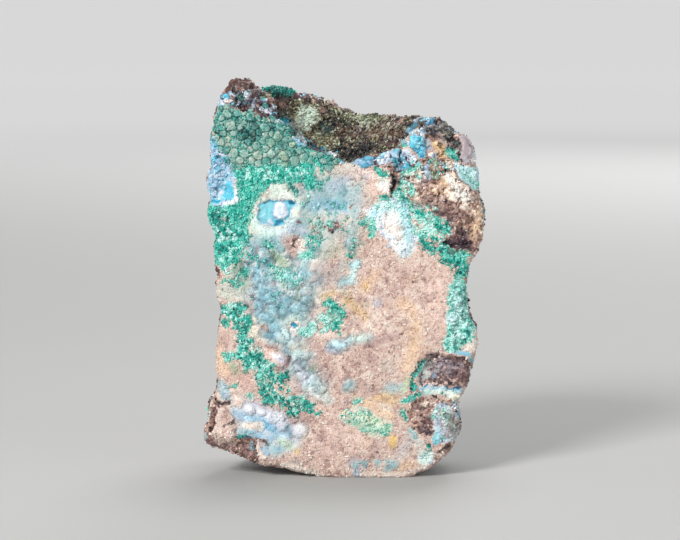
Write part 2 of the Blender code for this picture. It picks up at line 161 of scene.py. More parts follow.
# Soft washes over the druse and chalcedony: tint, strength, edge softness, and shapes. A shape's
# noise comes from its number in its table, and the same holds for the speckles and the mosaics.
WASHES = [
    # The haze of the upper middle.
    ("mist", 0.62, 2.0, [(-6.0, 61.5, 1.2), (-2.5, 60.0, 1.8), (0.6, 59.4, 1.6)]),
    ("steel", 0.34, 1.0, [(0.2, 60.3, 0.8), (1.6, 58.0, 0.8), (2.4, 56.4, 0.7)]),
    ("sky", 0.45, 1.2, [(-6.5, 57.2, 1.2), (-2.0, 57.0, 1.6), (0.5, 55.8, 0.8)]),
    ("lavender", 0.55, 1.2, [(-4.6, 59.0, 0.9), (-1.4, 61.4, 1.2), (0.8, 62.6, 1.0)]),
    ("blush", 0.70, 1.4, [(-0.6, 64.6, 0.9), (2.8, 63.6, 1.2), (4.2, 61.0, 1.0), (4.2, 58.6, 0.8)]),
    ("pearl", 0.60, 1.0, [(-8.0, 58.4, 1.0)], [(-5.0, 63.6, 1.2), (-2.0, 63.8, 1.4), (1.5, 65.0, 0.8)]),
    ("sea", 0.30, 1.0, [(-5.0, 62.0, 1.6), (-4.0, 58.5, 1.0)]),
    ("pearl", 0.75, 0.9, [(-15.4, 59.6, 0.8), (-13.0, 60.4, 1.2), (-10.8, 59.6, 0.9), (-9.4, 58.6, 0.6)]),
    ("milk", 0.55, 0.8, [(-14.4, 60.4, 0.8), (-12.0, 60.2, 0.8)]),
    ("milk", 0.85, 0.9, [(-19.2, 54.0, 0.7), (-18.4, 52.6, 1.2), (-16.4, 51.2, 1.2), (-14.4, 51.4, 0.7)]),
    ("lavender", 0.60, 1.0, [(-13.4, 51.0, 0.8), (-10.8, 52.2, 1.1), (-8.2, 51.8, 0.8)]),
    ("cream", 0.70, 0.6, [(-9.8, 55.8, 0.8), (-9.6, 54.8, 0.6)]),
    ("pearl", 0.60, 1.0, [(-7.4, 54.6, 1.2), (-6.2, 52.8, 1.0), (-3.8, 55.4, 1.0)]),
    ("sea", 0.50, 0.8, [(-4.8, 53.0, 1.0), (-3.0, 52.4, 1.0), (-2.0, 53.0, 0.5)]),
    ("rose", 0.50, 0.8, [(0.2, 54.2, 1.0), (1.2, 53.6, 0.6)]),
    ("rose", 0.70, 0.8, [(-12.2, 49.6, 0.8), (-10.6, 49.6, 1.0), (-10.4, 47.8, 1.0)]),
    ("mauve", 0.60, 0.6, [(-11.2, 48.6, 0.6), (-10.0, 46.6, 0.7)]),
    ("white", 0.90, 0.5, [(-9.2, 49.8, 0.5), (-8.4, 48.6, 0.7)]),
    ("ice", 0.90, 0.6, [(-8.6, 47.2, 0.6), (-7.2, 46.4, 0.8)]),
    ("sea", 0.50, 0.8, [(-6.4, 49.4, 1.0), (-5.6, 48.0, 1.0)]),
    ("pearl", 0.60, 1.0, [(-4.6, 50.6, 1.2), (-2.0, 50.4, 1.0), (-2.4, 47.8, 1.2), (-5.4, 46.0, 1.2)]),
    ("moss", 0.35, 1.0, [(-1.0, 47.8, 1.0), (-3.2, 46.6, 1.0)]),
    # Rounded blue-grey lumps of the left middle.
    ("mist", 0.85, 1.2, [(-19.6, 49.4, 0.8), (-18.0, 47.6, 1.2), (-15.0, 49.4, 1.4), (-13.6, 48.0, 1.0)]),
    ("mist", 0.75, 1.6, [(-17.6, 44.6, 1.8), (-16.6, 40.4, 2.4), (-15.4, 35.6, 2.8), (-14.4, 31.4, 2.0)]),
    ("steel", 0.45, 0.8, [(-16.6, 47.4, 0.8), (-15.8, 45.8, 0.6)]),
    ("lavender", 0.45, 1.0, [(-18.4, 48.2, 0.8)], [(-17.2, 42.2, 0.9), (-14.6, 39.8, 0.9)]),
    ("pearl", 0.55, 1.0,
     [(-15.8, 42.4, 0.8)], [(-12.4, 38.2, 0.8)], [(-14.6, 36.8, 0.6)], [(-11.0, 33.2, 0.8)]),
    ("blush", 0.60, 0.8, [(-19.6, 44.0, 0.6), (-19.2, 40.4, 0.6)], [(-8.4, 40.6, 0.7), (-6.2, 41.8, 0.8)]),
    ("sky", 0.42, 0.9, [(-19.2, 45.8, 0.8), (-18.8, 43.2, 0.9), (-18.2, 41.2, 0.8)]),
    ("mauve", 0.55, 0.4, [(-17.0, 44.3, 0.6)]),
    ("mauve", 0.60, 0.4, [(-17.6, 48.4, 0.3), (-18.2, 46.9, 0.3)]),
    ("moss", 0.70, 0.9, [(-14.4, 47.0, 0.9), (-12.8, 45.6, 1.1), (-11.8, 44.4, 0.9)]),
    ("sea", 0.60, 1.0, [(-14.6, 43.4, 1.0), (-12.6, 42.4, 1.2), (-10.4, 42.6, 1.2)]),
    ("mist", 0.75, 1.0, [(-9.0, 44.6, 1.2), (-7.6, 42.4, 1.0)]),
    ("moss", 0.75, 0.9, [(-11.8, 40.4, 1.1), (-10.0, 39.4, 1.4), (-9.4, 37.8, 0.8)]),
    ("steel", 0.35, 0.8, [(-14.0, 38.8, 0.8), (-13.0, 37.6, 0.7)]),
    ("steel", 0.25, 0.9, [(-7.8, 38.6, 0.9), (-7.0, 40.6, 0.8)]),
    ("sky", 0.45, 1.0, [(-16.8, 39.2, 0.8), (-16.4, 37.4, 0.9), (-17.4, 35.2, 0.9), (-15.6, 33.4, 0.9)]),
    ("steel", 0.25, 0.8, [(-15.0, 36.0, 1.0), (-13.4, 35.4, 1.0), (-12.0, 34.0, 1.0), (-11.2, 35.8, 0.8)]),
    ("mist", 0.75, 1.0, [(-9.8, 35.2, 1.4), (-8.8, 33.8, 1.0)]),
    ("mauve", 0.65, 0.5, [(-18.8, 38.2, 0.7), (-19.0, 36.8, 0.5)]),
    ("rose", 0.70, 0.7, [(-19.2, 35.4, 0.8)]),
    ("rose", 0.75, 0.4, [(-14.7, 40.7, 0.6)]),
    ("cream", 0.85, 0.7, [(-18.8, 33.2, 0.7), (-18.6, 31.0, 0.9), (-17.8, 29.6, 0.9)]),
    ("rose", 0.90, 0.4, [(-16.3, 31.5, 0.7)]),
    ("sky", 0.60, 0.8, [(-14.4, 31.6, 1.0), (-14.8, 29.8, 0.9)]),
    ("mist", 0.60, 0.9, [(-12.4, 30.4, 1.0), (-11.4, 28.8, 1.2), (-13.0, 28.6, 0.9)]),
    ("ice", 0.50, 0.6, [(-12.8, 31.0, 0.6), (-11.6, 29.4, 0.6)]),
    ("milk", 0.60, 0.9, [(-12.6, 33.0, 0.6), (-10.0, 33.6, 0.8)]),
    ("pearl", 0.70, 0.8, [(-10.4, 27.4, 1.0), (-8.4, 27.8, 1.1)]),
    ("mauve", 0.60, 0.5, [(-6.0, 36.4, 0.4), (-6.4, 34.4, 0.5)]),
    ("cream", 0.70, 0.8, [(-4.8, 39.2, 1.0), (-5.0, 37.2, 0.9)]),
    ("mauve", 0.35, 1.2, [(-5.4, 43.6, 1.2), (-3.0, 44.2, 1.4)]),
    ("pearl", 0.95, 0.9, [(-25.4, 39.2, 1.6), (-23.6, 38.8, 1.8), (-21.6, 38.6, 1.4)]),
    ("moss", 0.60, 1.0, [(-21.8, 45.0, 1.0), (-21.4, 42.8, 1.2), (-20.8, 40.8, 1.0)]),
    ("sea", 0.50, 1.0, [(-22.6, 43.0, 1.0), (-20.2, 44.0, 0.8), (-22.8, 40.8, 0.8)]),
    ("cream", 0.70, 0.6, [(-26.6, 39.2, 0.8), (-26.4, 37.6, 0.6)]),
    # Blue spots of the middle.
    ("mist", 0.55, 1.0, [(2.0, 57.4, 0.9), (2.6, 55.4, 0.9)]),
    ("mist", 0.55, 0.9, [(2.2, 52.6, 0.9), (1.8, 50.2, 1.1)]),
    ("pearl", 0.60, 0.8, [(1.2, 54.0, 0.8), (3.6, 51.4, 0.8), (0.4, 51.6, 0.6)]),
    ("steel", 0.45, 0.5, [(0.6, 49.0, 0.5), (2.4, 47.6, 0.5)]),
    ("sea", 0.45, 0.8, [(1.2, 47.8, 0.9), (3.8, 49.2, 0.8)]),
    ("aqua", 0.60, 0.9, [(2.0, 44.5, 0.6), (3.0, 44.9, 0.6)]),
    ("mist", 0.50, 1.0, [(0.2, 41.0, 0.7), (1.4, 41.4, 0.6)]),
    ("steel", 0.45, 0.5, [(0.1, 41.3, 0.4)]),
    ("ice", 0.85, 0.6, [(2.0, 41.3, 0.7), (2.9, 45.0, 0.5)]),
    ("pearl", 0.50, 0.9, [(-0.2, 43.4, 1.0), (0.2, 46.0, 1.0)]),
    ("sky", 0.60, 1.1, [(-2.4, 27.7, 0.8), (-0.8, 27.9, 1.0), (0.4, 28.2, 0.5)]),
    ("ice", 0.70, 0.7, [(-1.6, 28.4, 0.7), (-0.2, 27.8, 0.6)]),
    ("lavender", 0.60, 0.7, [(-3.2, 27.0, 0.7), (-1.4, 26.6, 0.6)]),
    ("mist", 0.40, 1.0, [(1.4, 29.0, 0.6), (3.4, 29.2, 0.7), (5.4, 29.6, 0.5)]),
    ("milk", 0.70, 0.6, [(2.6, 29.6, 0.6), (4.4, 29.2, 0.6)]),
    ("lavender", 0.70, 0.6, [(7.2, 36.8, 0.9)]),
    # Peach, mauve and cream of the pink druse.
    ("peach", 0.60, 1.2, [(6.6, 42.6, 1.0), (4.8, 40.2, 1.2)]),
    ("ochre", 0.55, 0.7, [(4.6, 40.2, 0.8)]),
    ("ochre", 0.50, 0.8, [(1.0, 37.4, 1.0), (2.8, 35.6, 1.1), (4.6, 33.8, 0.9)]),
    ("ochre", 0.50, 0.7, [(-3.8, 37.9, 0.8), (-1.6, 39.0, 0.8)]),
    ("moss", 0.35, 0.8, [(0.6, 38.8, 0.8)], [(4.8, 36.6, 0.7)]),
    ("mauve", 0.55, 0.6, [(3.0, 37.0, 0.6)]),
    ("mauve", 0.55, 0.7, [(1.6, 32.2, 0.8)]),
    ("mauve", 0.55, 0.3, [(9.2, 33.6, 0.5)]),
    ("mauve", 0.70, 0.25, [(12.8, 32.2, 0.3), (13.8, 32.9, 0.3)]),
    ("cream", 0.90, 0.4, [(5.6, 31.9, 0.5), (6.4, 31.3, 0.5)]),
    ("mauve", 0.45, 0.8, [(12.4, 43.6, 0.5), (11.8, 41.6, 0.6), (11.4, 40.2, 0.5)]),
    ("sand", 0.40, 0.8, [(13.2, 42.0, 0.8), (12.8, 40.4, 0.7)]),
    ("mauve", 0.30, 1.4, [(11.0, 38.4, 1.4), (8.0, 38.6, 1.2)]),
    ("peach", 0.70, 1.4, [(12.6, 36.6, 1.2), (14.0, 35.2, 1.2)]),
    ("peach", 0.80, 1.8, [(15.4, 33.0, 1.0), (15.0, 29.5, 1.6), (14.6, 26.5, 1.6), (13.6, 23.4, 1.2)]),
    ("blush", 0.70, 1.6, [(19.6, 42.0, 1.6), (19.0, 37.0, 1.8), (18.6, 34.0, 1.6), (20.2, 31.0, 1.0)]),
    ("mauve", 0.40, 0.6, [(16.3, 36.6, 0.6), (18.6, 38.4, 0.6)]),
    ("mauve", 0.50, 1.0, [(7.0, 28.4, 1.0), (9.6, 29.4, 1.0), (11.2, 30.0, 0.8)]),
    ("mauve", 0.28, 1.4, [(2.4, 24.8, 1.4), (6.0, 24.4, 1.6), (9.0, 22.4, 1.4)]),
    ("mauve", 0.45, 0.9, [(-7.0, 28.4, 0.8), (-5.4, 27.4, 0.9), (-6.8, 24.0, 0.6)]),
    ("mauve", 0.30, 1.2, [(-3.4, 24.4, 1.4), (-3.0, 21.8, 1.4)]),
    ("pearl", 0.50, 0.9, [(8.8, 24.1, 0.9)]),
    ("mist", 0.60, 1.0, [(1.6, 19.6, 0.9), (0.8, 19.0, 0.7)]),
    ("mist", 0.80, 0.9, [(9.6, 18.6, 1.2), (11.6, 19.0, 1.0)]),
    ("mauve", 0.40, 1.0, [(4.8, 18.8, 1.0), (6.8, 18.0, 0.8)]),
    ("ochre", 0.55, 0.9, [(7.2, 16.6, 1.0), (9.6, 16.6, 1.2), (11.4, 16.2, 1.0)]),
    ("cream", 0.80, 0.8, [(9.2, 13.6, 1.2), (8.4, 14.8, 1.0)]),
    ("lime", 0.60, 0.7, [(12.6, 18.6, 0.8), (13.6, 20.4, 0.8)]),
    ("peach", 0.70, 0.7, [(5.0, 15.6, 0.9)]),
    ("ochre", 0.90, 0.5, [(10.4, 8.2, 0.9), (10.4, 7.0, 0.7)]),
    ("pearl", 0.45, 1.6, [(11.6, 4.2, 0.8), (13.0, 6.4, 1.0), (14.4, 9.0, 0.9)]),
    ("lavender", 0.35, 1.2, [(12.2, 5.0, 0.8), (13.8, 7.6, 0.8)]),
    ("mist", 0.45, 0.9, [(9.4, 2.0, 0.7), (10.8, 2.8, 0.7)]),
    ("steel", 0.35, 0.6, [(9.4, 2.2, 0.5), (10.4, 2.8, 0.3)]),
    ("lavender", 0.65, 0.8, [(2.4, 3.2, 1.2), (3.4, 1.8, 1.0)]),
    ("sky", 0.60, 0.6, [(2.8, 0.9, 0.8)]),
    ("mauve", 0.40, 1.0, [(7.0, 6.4, 1.0), (6.4, 4.8, 0.7)]),
    ("peach", 0.70, 1.0, [(12.2, 1.8, 1.2), (14.8, 2.6, 0.8), (16.2, 3.4, 0.6)]),
    ("peach", 0.50, 1.0, [(4.6, 7.6, 1.0)]),
    ("mauve", 0.50, 0.7, [(1.0, 16.0, 0.7), (-0.4, 15.4, 0.4)]),
    ("lime", 0.60, 0.5, [(3.0, 16.4, 0.8)]),
    ("lime", 0.90, 0.6, MINT_PATCH),
    ("blush", 0.55, 2.0, [(-3.0, 10.0, 1.8), (-3.6, 6.0, 2.0)], [(3.0, 8.0, 1.8)]),
    ("mauve", 0.60, 0.9, [(-7.2, 12.4, 1.2), (-10.6, 12.2, 0.9), (-12.2, 12.9, 0.7)]),
    ("mauve", 0.50, 0.6, [(-4.0, 8.2, 0.6)]),
    ("mauve", 0.55, 0.8, [(-9.2, 18.9, 0.9), (-9.6, 20.6, 0.6)]),
    ("lavender", 0.75, 0.9, [(-9.4, 24.0, 0.9), (-8.6, 22.2, 1.1), (-7.6, 20.6, 1.1)]),
    ("ice", 0.45, 1.0, [(-7.0, 19.6, 1.0), (-5.0, 18.8, 1.2)]),
    ("steel", 0.20, 0.5, [(-6.4, 20.4, 0.4), (-5.4, 19.2, 0.5), (-4.2, 18.8, 0.4)]),
    ("white", 0.60, 0.6, [(-6.8, 18.4, 0.6), (-4.4, 17.2, 0.7)]),
    ("pearl", 0.75, 0.8, [(-4.0, 17.6, 0.9), (-3.0, 16.2, 0.7)]),
    ("ice", 0.70, 0.9, [(-9.4, 25.8, 1.0), (-6.8, 25.9, 0.8)]),
    ("moss", 0.50, 0.7, [(-6.4, 23.2, 0.8)]),
    ("blush", 0.90, 0.6, [(-16.0, 26.4, 1.0), (-14.6, 25.6, 1.0)]),
    ("lavender", 0.90, 0.6, [(-13.8, 25.6, 1.0), (-12.4, 24.8, 0.9)]),
    ("white", 0.60, 0.5, [(-14.6, 26.0, 0.5), (-13.2, 25.5, 0.5)]),
    ("mauve", 0.80, 0.3, [(-11.2, 25.6, 0.25), (-11.4, 24.2, 0.3), (-12.6, 23.2, 0.3), (-14.6, 23.6, 0.2)]),
    ("rose", 0.70, 0.7, [(-18.4, 28.0, 1.0), (-16.0, 27.6, 0.6), (-13.4, 27.0, 0.7)]),
    ("mauve", 0.70, 0.5, [(-11.4, 25.2, 0.7), (-11.6, 23.8, 0.6)]),
    ("peach", 0.60, 1.2, [(-26.0, 31.0, 0.8), (-26.0, 26.6, 0.9), (-25.0, 22.8, 1.3)]),
    ("mauve", 0.55, 0.8, [(-24.8, 29.2, 1.0), (-24.4, 27.6, 0.8)]),
    ("moss", 0.80, 0.6, [(-22.8, 23.6, 0.8), (-22.2, 22.2, 0.7)]),
    ("rose", 0.65, 1.0, [(-21.2, 20.8, 1.4), (-19.4, 19.6, 1.3)]),
    ("mist", 0.90, 0.7, [(-25.0, 19.2, 0.9), (-24.6, 17.4, 0.9)]),
    # Blue-white lumps of the lower left.
    ("lavender", 0.60, 1.4, [(-20.0, 13.4, 3.0), (-14.0, 10.4, 3.2), (-11.0, 8.0, 2.0)]),
    ("sky", 0.70, 1.0, [(-22.4, 14.0, 0.5), (-20.4, 12.9, 0.6), (-17.4, 12.1, 0.7), (-15.4, 10.8, 0.9)]),
    ("sky", 0.80, 0.9, [(-15.4, 10.8, 0.9), (-13.6, 9.2, 1.0), (-12.0, 9.2, 0.6)]),
    ("sky", 0.60, 0.8, [(-21.8, 9.6, 0.6), (-17.4, 9.0, 0.7), (-15.4, 8.0, 0.7)]),
    ("blush", 0.85, 0.8, [(-21.8, 16.0, 1.2), (-22.8, 17.4, 0.7)]),
    ("lavender", 0.70, 0.8, [
        (-19.6, 15.2, 0.8), (-17.4, 14.1, 0.8), (-15.4, 13.5, 0.8), (-13.2, 12.6, 0.9),
    ]),
    ("white", 0.45, 0.5, [(-19.8, 15.0, 0.5), (-17.4, 14.0, 0.4), (-15.4, 13.4, 0.5), (-13.2, 12.4, 0.5)]),
    ("steel", 0.40, 0.7, [(-22.8, 13.2, 0.6), (-21.2, 12.4, 0.4)]),
    ("cream", 0.70, 0.5, [(-20.6, 11.3, 0.7), (-19.2, 11.2, 0.8), (-17.6, 10.9, 1.0)]),
    ("blush", 0.40, 0.5, [(-20.0, 11.3, 0.6), (-18.0, 11.0, 0.8)]),
    # Painted shadow at the left of the pale lump near (-9, 10).
    ("steel", 0.80, 0.5, [(-11.6, 10.6, 0.5), (-11.0, 9.0, 0.6)]),
    ("lavender", 0.70, 0.7, [(-9.4, 10.0, 1.2)]),
    ("white", 0.55, 0.6, [(-8.8, 10.4, 0.8)]),
    ("lime", 0.50, 0.8, [(-12.8, 7.6, 0.9), (-11.2, 6.8, 0.9)]),
    ("mist", 0.60, 0.9, [(-15.6, 6.8, 0.9), (-13.6, 5.6, 1.0)]),
    ("lavender", 0.60, 0.6, [(-17.2, 7.6, 0.7)]),
    ("blush", 0.60, 0.7, [(-11.0, 4.6, 0.8)]),
    ("sky", 0.40, 0.8, [(-15.0, 5.8, 0.7), (-13.0, 6.2, 0.7)]),
    ("steel", 0.40, 0.7, [(-9.4, 3.0, 0.7), (-10.6, 3.4, 0.5)]),
    ("ochre", 0.60, 0.6, [(-9.6, 5.6, 0.8)]),
    ("mist", 0.60, 0.7, [(-21.2, 9.4, 0.8), (-19.4, 9.6, 0.5)]),
    ("cream", 0.80, 0.4, [(-12.6, 2.6, 0.6), (-9.0, 1.6, 0.6), (-6.0, 1.2, 0.7)]),
    # The pinkish-white crust of the upper middle.
    ("rose", 0.60, 0.9, [(5.6, 60.2, 1.0), (5.2, 62.2, 0.8)]),
    ("white", 0.95, 0.6, [(9.4, 61.6, 0.5), (9.0, 60.6, 0.9), (7.6, 61.0, 0.7)]),
    ("blush", 0.90, 0.7, [(5.4, 64.0, 0.7), (7.6, 62.4, 1.0), (9.4, 63.0, 0.6)]),
]
# Washes over the finished patches.
TOP_WASHES = [
    ("aqua", 0.55, 0.4, [(-16.8, 56.6, 0.5), (-15.8, 54.8, 1.2), (-15.4, 57.2, 0.6)]),
    ("milk", 0.60, 0.5, [
        (-18.3, 54.2, 0.3), (-18.1, 56.4, 0.3), (-16.8, 58.7, 0.3), (-14.0, 59.2, 0.4), (-11.4, 59.2, 0.4),
        (-9.2, 58.2, 0.3), (-9.0, 57.2, 0.3),
    ]),
    ("ice", 0.60, 0.5, [
        (-9.0, 57.2, 0.3), (-10.1, 55.6, 0.3), (-10.5, 53.8, 0.3), (-11.6, 52.3, 0.3), (-13.4, 51.6, 0.4),
        (-15.6, 51.5, 0.4), (-17.3, 52.4, 0.4), (-18.3, 54.2, 0.4),
    ]),
    ("sky", 0.26, 2.0, [(-17.6, 44.0, 1.8), (-15.6, 38.4, 2.4), (-12.0, 36.4, 2.2), (-10.4, 41.6, 1.8)]),
    ("mist", 0.30, 1.4, [(-15.6, 41.0, 1.2), (-13.0, 35.4, 1.6), (-14.6, 31.6, 1.2)]),
    ("azure", 0.62, 0.3, BLUE_LEDGE),
    ("azure", 0.35, 0.3, BLUE_STEP),
    ("azure", 0.60, 0.3, [(16.6, 69.8, 0.3), (16.8, 68.2, 0.4), (16.4, 67.2, 0.4)]),
    ("cyan", 0.85, 0.3, [(14.5, 70.8, 0.5), (15.2, 69.6, 0.8), (15.8, 68.4, 0.6)]),
    ("azure", 0.28, 0.8, [(-26.4, 66.8, 1.2), (-26.2, 62.4, 1.6), (-26.4, 59.6, 1.0)]),
    ("slate", 0.60, 0.8, [(17.6, 72.8, 0.8), (20.2, 73.2, 1.0), (22.6, 72.6, 0.8)]),
    ("night", 0.50, 0.5, [(16.4, 73.2, 0.3), (18.6, 72.2, 0.5), (21.0, 72.6, 0.4)]),
    ("aqua", 0.55, 0.4, [(18.6, 75.0, 0.4), (17.0, 75.4, 0.4)]),
    ("azure", 0.75, 0.3, [(17.6, 74.0, 0.4), (18.6, 74.2, 0.4)]),
    ("sand", 0.60, 0.8, [(18.4, 70.2, 0.8), (20.0, 68.6, 1.0), (20.6, 66.6, 1.0), (18.6, 65.6, 0.9)]),
    ("lavender", 0.70, 0.4, [(17.8, 70.4, 0.5), (18.0, 69.2, 0.6)], [(13.0, 70.2, 0.5)]),
    ("cyan", 0.60, 0.3, [(14.5, 70.8, 0.5), (15.2, 69.6, 0.8), (15.8, 68.4, 0.6)]),
    ("ice", 0.40, 0.3, [(14.6, 70.4, 0.4), (15.6, 69.4, 0.5)]),
    ("night", 0.90, 0.5, [(21.6, 71.0, 0.5), (22.6, 70.4, 0.7), (22.9, 69.2, 0.6)]),
    ("night", 0.60, 0.5, [(17.4, 71.8, 0.3), (19.4, 71.7, 0.4)]),
    ("cyan", 0.45, 0.3, CYAN_CORNER),
    ("cyan", 0.60, 0.3, [(-27.4, 66.4, 0.5), (-26.6, 66.8, 0.3)]),
    ("cyan", 0.85, 0.3, [(-12.9, 75.0, 0.4), (-12.0, 75.2, 0.4)]),
    ("cyan", 0.75, 0.3, [(-24.9, 79.9, 0.4), (-24.1, 79.6, 0.4)]),
    ("cyan", 0.60, 0.3, [(13.2, 65.4, 0.4)]),
    ("ice", 0.60, 0.5, [(18.2, 4.8, 0.5), (17.4, 3.8, 0.6)]),
    ("milk", 0.60, 0.6, [(17.6, 18.1, 0.5), (20.4, 18.0, 0.6), (23.4, 17.6, 0.8), (24.4, 16.2, 0.5)]),
    ("teal", 0.60, 0.25, [(20.7, 17.7, 0.3)]),
    ("sea", 0.45, 0.4, [(16.4, 17.8, 0.5), (18.4, 18.3, 0.3)]),
    ("pearl", 0.45, 0.9, [(23.2, 12.6, 0.9), (22.6, 9.6, 1.0)]),
    ("lavender", 0.45, 0.7, [(21.0, 11.2, 0.8), (21.6, 8.8, 0.8)]),
    ("mauve", 0.55, 0.8, [(16.0, 14.6, 1.0), (17.6, 12.2, 1.2), (16.8, 10.4, 0.8)]),
    ("cream", 0.80, 0.25, [(15.2, 14.1, 0.35), (15.8, 13.8, 0.2)], [(17.2, 15.2, 0.35), (16.6, 15.6, 0.2)]),
    ("ochre", 0.45, 0.7, [(18.8, 69.8, 0.7), (20.2, 68.8, 0.8), (20.6, 67.4, 0.6)]),
    ("ochre", 0.40, 0.7, [(18.6, 63.6, 0.6), (20.6, 62.0, 0.8)], [(28.4, 55.6, 0.7), (28.2, 52.4, 0.6)]),
    ("cyan", 0.45, 0.3, [(14.2, 73.2, 0.5), (15.6, 74.2, 0.4)]),
    ("slate", 0.45, 0.3, [(15.0, 73.4, 0.4), (16.6, 74.4, 0.3)]),
    ("white", 0.90, 0.25, [(-10.1, 72.4, 0.3), (-9.2, 71.6, 0.5), (-8.3, 70.6, 0.35)]),
    ("plum", 0.50, 0.6, [(-21.6, 79.6, 0.8), (-18.6, 79.0, 1.0), (-16.0, 77.6, 0.9), (-13.8, 75.9, 0.5)]),
    ("night", 0.50, 0.4, [(-22.6, 80.4, 0.5), (-21.4, 79.0, 0.4), (-20.8, 77.6, 0.3)]),
    ("mauve", 0.55, 1.0, [(-28.0, 7.8, 0.8), (-24.6, 6.6, 0.9), (-21.4, 6.2, 1.2), (-19.6, 5.4, 0.8)]),
    ("lavender", 0.75, 0.5, [(-25.2, 19.2, 0.7), (-24.6, 17.6, 0.8)]),
    ("ice", 0.50, 0.4, [(-25.3, 19.4, 0.4), (-24.9, 18.2, 0.4)]),
    ("white", 0.70, 0.6, [(9.3, 61.7, 0.5), (8.6, 60.9, 0.8), (7.4, 61.2, 0.6)]),
    ("blush", 0.60, 0.8, [(4.6, 63.8, 0.8), (6.2, 61.8, 1.2), (6.4, 59.8, 0.9)]),
    ("pearl", 0.35, 0.9, [(4.0, 62.4, 0.8), (4.6, 60.4, 0.9), (5.2, 58.6, 0.8)]),
    ("lime", 0.55, 0.8, [(1.2, 13.4, 0.7), (3.4, 12.4, 1.4), (6.6, 11.0, 1.8), (8.6, 10.4, 1.0)]),
    ("milk", 0.45, 0.6, [(2.2, 13.0, 0.6), (5.2, 11.0, 0.8), (8.0, 10.6, 0.7)]),
    ("peach", 0.70, 0.7, [(5.2, 15.6, 0.8), (8.6, 13.4, 0.8), (10.6, 13.0, 0.7)]),
    ("sea", 0.35, 0.5, [(0.8, 13.0, 0.5), (3.0, 11.4, 0.6), (5.6, 9.8, 0.6), (8.2, 9.6, 0.5)]),
    ("ice", 0.35, 1.4, [(24.0, 40.2, 1.2), (24.2, 36.2, 1.6), (24.2, 33.2, 1.6), (23.6, 29.4, 1.6)]),
    ("ice", 0.70, 0.6, [(22.4, 33.4, 0.9), (23.6, 33.4, 0.6), (23.4, 37.8, 0.6)]),
    ("pearl", 0.50, 0.8, [(14.0, 50.0, 0.8), (13.2, 47.2, 1.0), (12.4, 46.2, 0.6)]),
    ("mauve", 0.45, 0.8, [(19.4, 24.6, 1.2), (22.0, 23.4, 1.8), (25.6, 22.6, 1.6)]),
    ("plum", 0.45, 0.8, [(23.0, 22.0, 1.0), (25.2, 21.0, 1.2), (21.4, 24.6, 0.8)]),
    ("lavender", 0.50, 0.7, [(18.4, 23.6, 0.7), (20.6, 24.0, 0.6), (19.4, 21.6, 0.6)]),
    ("rose", 0.40, 0.8, [(15.4, 14.8, 0.9), (17.0, 13.6, 1.2)], [(20.4, 16.8, 0.9)]),
    ("milk", 0.40, 0.9, [(21.0, 13.6, 0.9), (22.6, 14.6, 0.9)]),
    ("lavender", 0.60, 0.7, [(20.0, 12.2, 0.8), (20.8, 10.6, 1.0), (22.4, 9.6, 0.9)]),
    ("slate", 0.35, 0.7, [(20.0, 11.4, 0.7), (21.6, 12.4, 0.8), (22.6, 10.4, 0.8)]),
    ("white", 0.50, 0.4, [(20.2, 13.8, 0.3), (21.2, 11.4, 0.3)]),
    ("pearl", 0.50, 0.8, [(23.6, 12.2, 0.7), (22.6, 8.4, 0.9), (21.4, 11.8, 0.6)]),
    ("sea", 0.40, 0.6, [(20.6, 13.2, 0.6), (22.4, 13.6, 0.6)]),
    ("ice", 0.60, 0.8, [(17.8, 4.4, 0.9), (16.4, 5.4, 0.8)], [(20.0, 8.4, 0.6)]),
    ("lavender", 0.70, 0.3, CRYSTAL_FACE),
    ("mauve", 0.62, 0.4, [(25.2, 70.8, 0.6), (25.3, 67.4, 0.6)]),
    ("mauve", 0.22, 0.3, FLAP),
    ("blush", 0.35, 0.5, [(-25.4, 9.8, 0.8), (-24.0, 9.2, 0.7), (-25.4, 13.4, 0.5)]),
    ("slate", 0.16, 0.3, CRYSTAL_FACE),
    ("ice", 0.75, 0.4, TURQUOISE_BAND),
    ("sea", 0.40, 0.5, [(24.4, 64.4, 0.5), (25.8, 63.2, 0.5), (27.4, 61.6, 0.4)]),
    ("ice", 0.60, 1.2, [
        (6.6, 54.8, 1.4), (8.6, 56.4, 1.6), (12.0, 56.8, 1.2), (12.8, 52.8, 1.4), (12.8, 48.6, 1.2),
    ]),
    ("white", 0.55, 1.2, [(7.6, 54.0, 1.0), (10.0, 54.0, 1.8), (10.4, 51.4, 1.4), (12.0, 48.4, 0.8)]),
    ("blush", 0.35, 0.9, [(8.6, 53.0, 0.8), (10.8, 52.4, 0.9), (11.4, 50.0, 0.7)]),
    ("aqua", 0.35, 0.9, [(12.6, 56.8, 0.8), (13.6, 53.6, 0.8), (13.4, 50.4, 0.7)], [(6.6, 55.2, 0.8)]),
    ("teal", 0.75, 0.3, [(-15.6, 81.6, 0.6), (-14.2, 81.6, 0.8), (-12.4, 81.4, 0.8), (-11.2, 81.1, 0.6)]),
    # Painted shade along the lower edge of the green rim.
    ("pine", 0.45, 0.3, [(-15.4, 80.9, 0.4), (-13.2, 81.0, 0.5), (-11.4, 80.6, 0.4)]),
    ("slate", 0.40, 0.8, [(23.6, 13.4, 0.8), (23.6, 11.0, 0.8), (22.6, 8.8, 0.8)]),
    ("mauve", 0.45, 0.6, [(22.4, 15.0, 0.6), (22.6, 12.2, 0.6), (21.8, 9.4, 0.6)]),
    ("teal", 0.50, 0.25, [(24.0, 64.6, 0.2), (25.2, 62.6, 0.2), (26.6, 61.0, 0.2)]),
    ("milk", 0.70, 0.5, [(18.4, 4.8, 0.6), (17.4, 3.6, 0.7), (16.2, 3.8, 0.5)]),
    ("umber", 0.85, 0.5, [(-24.4, 81.8, 0.8), (-22.8, 82.8, 1.1), (-20.4, 82.6, 1.0), (-18.6, 81.9, 0.8)]),
    ("night", 0.40, 0.7, [(-23.6, 81.6, 0.7), (-21.4, 82.2, 0.9), (-18.8, 81.8, 0.7)]),
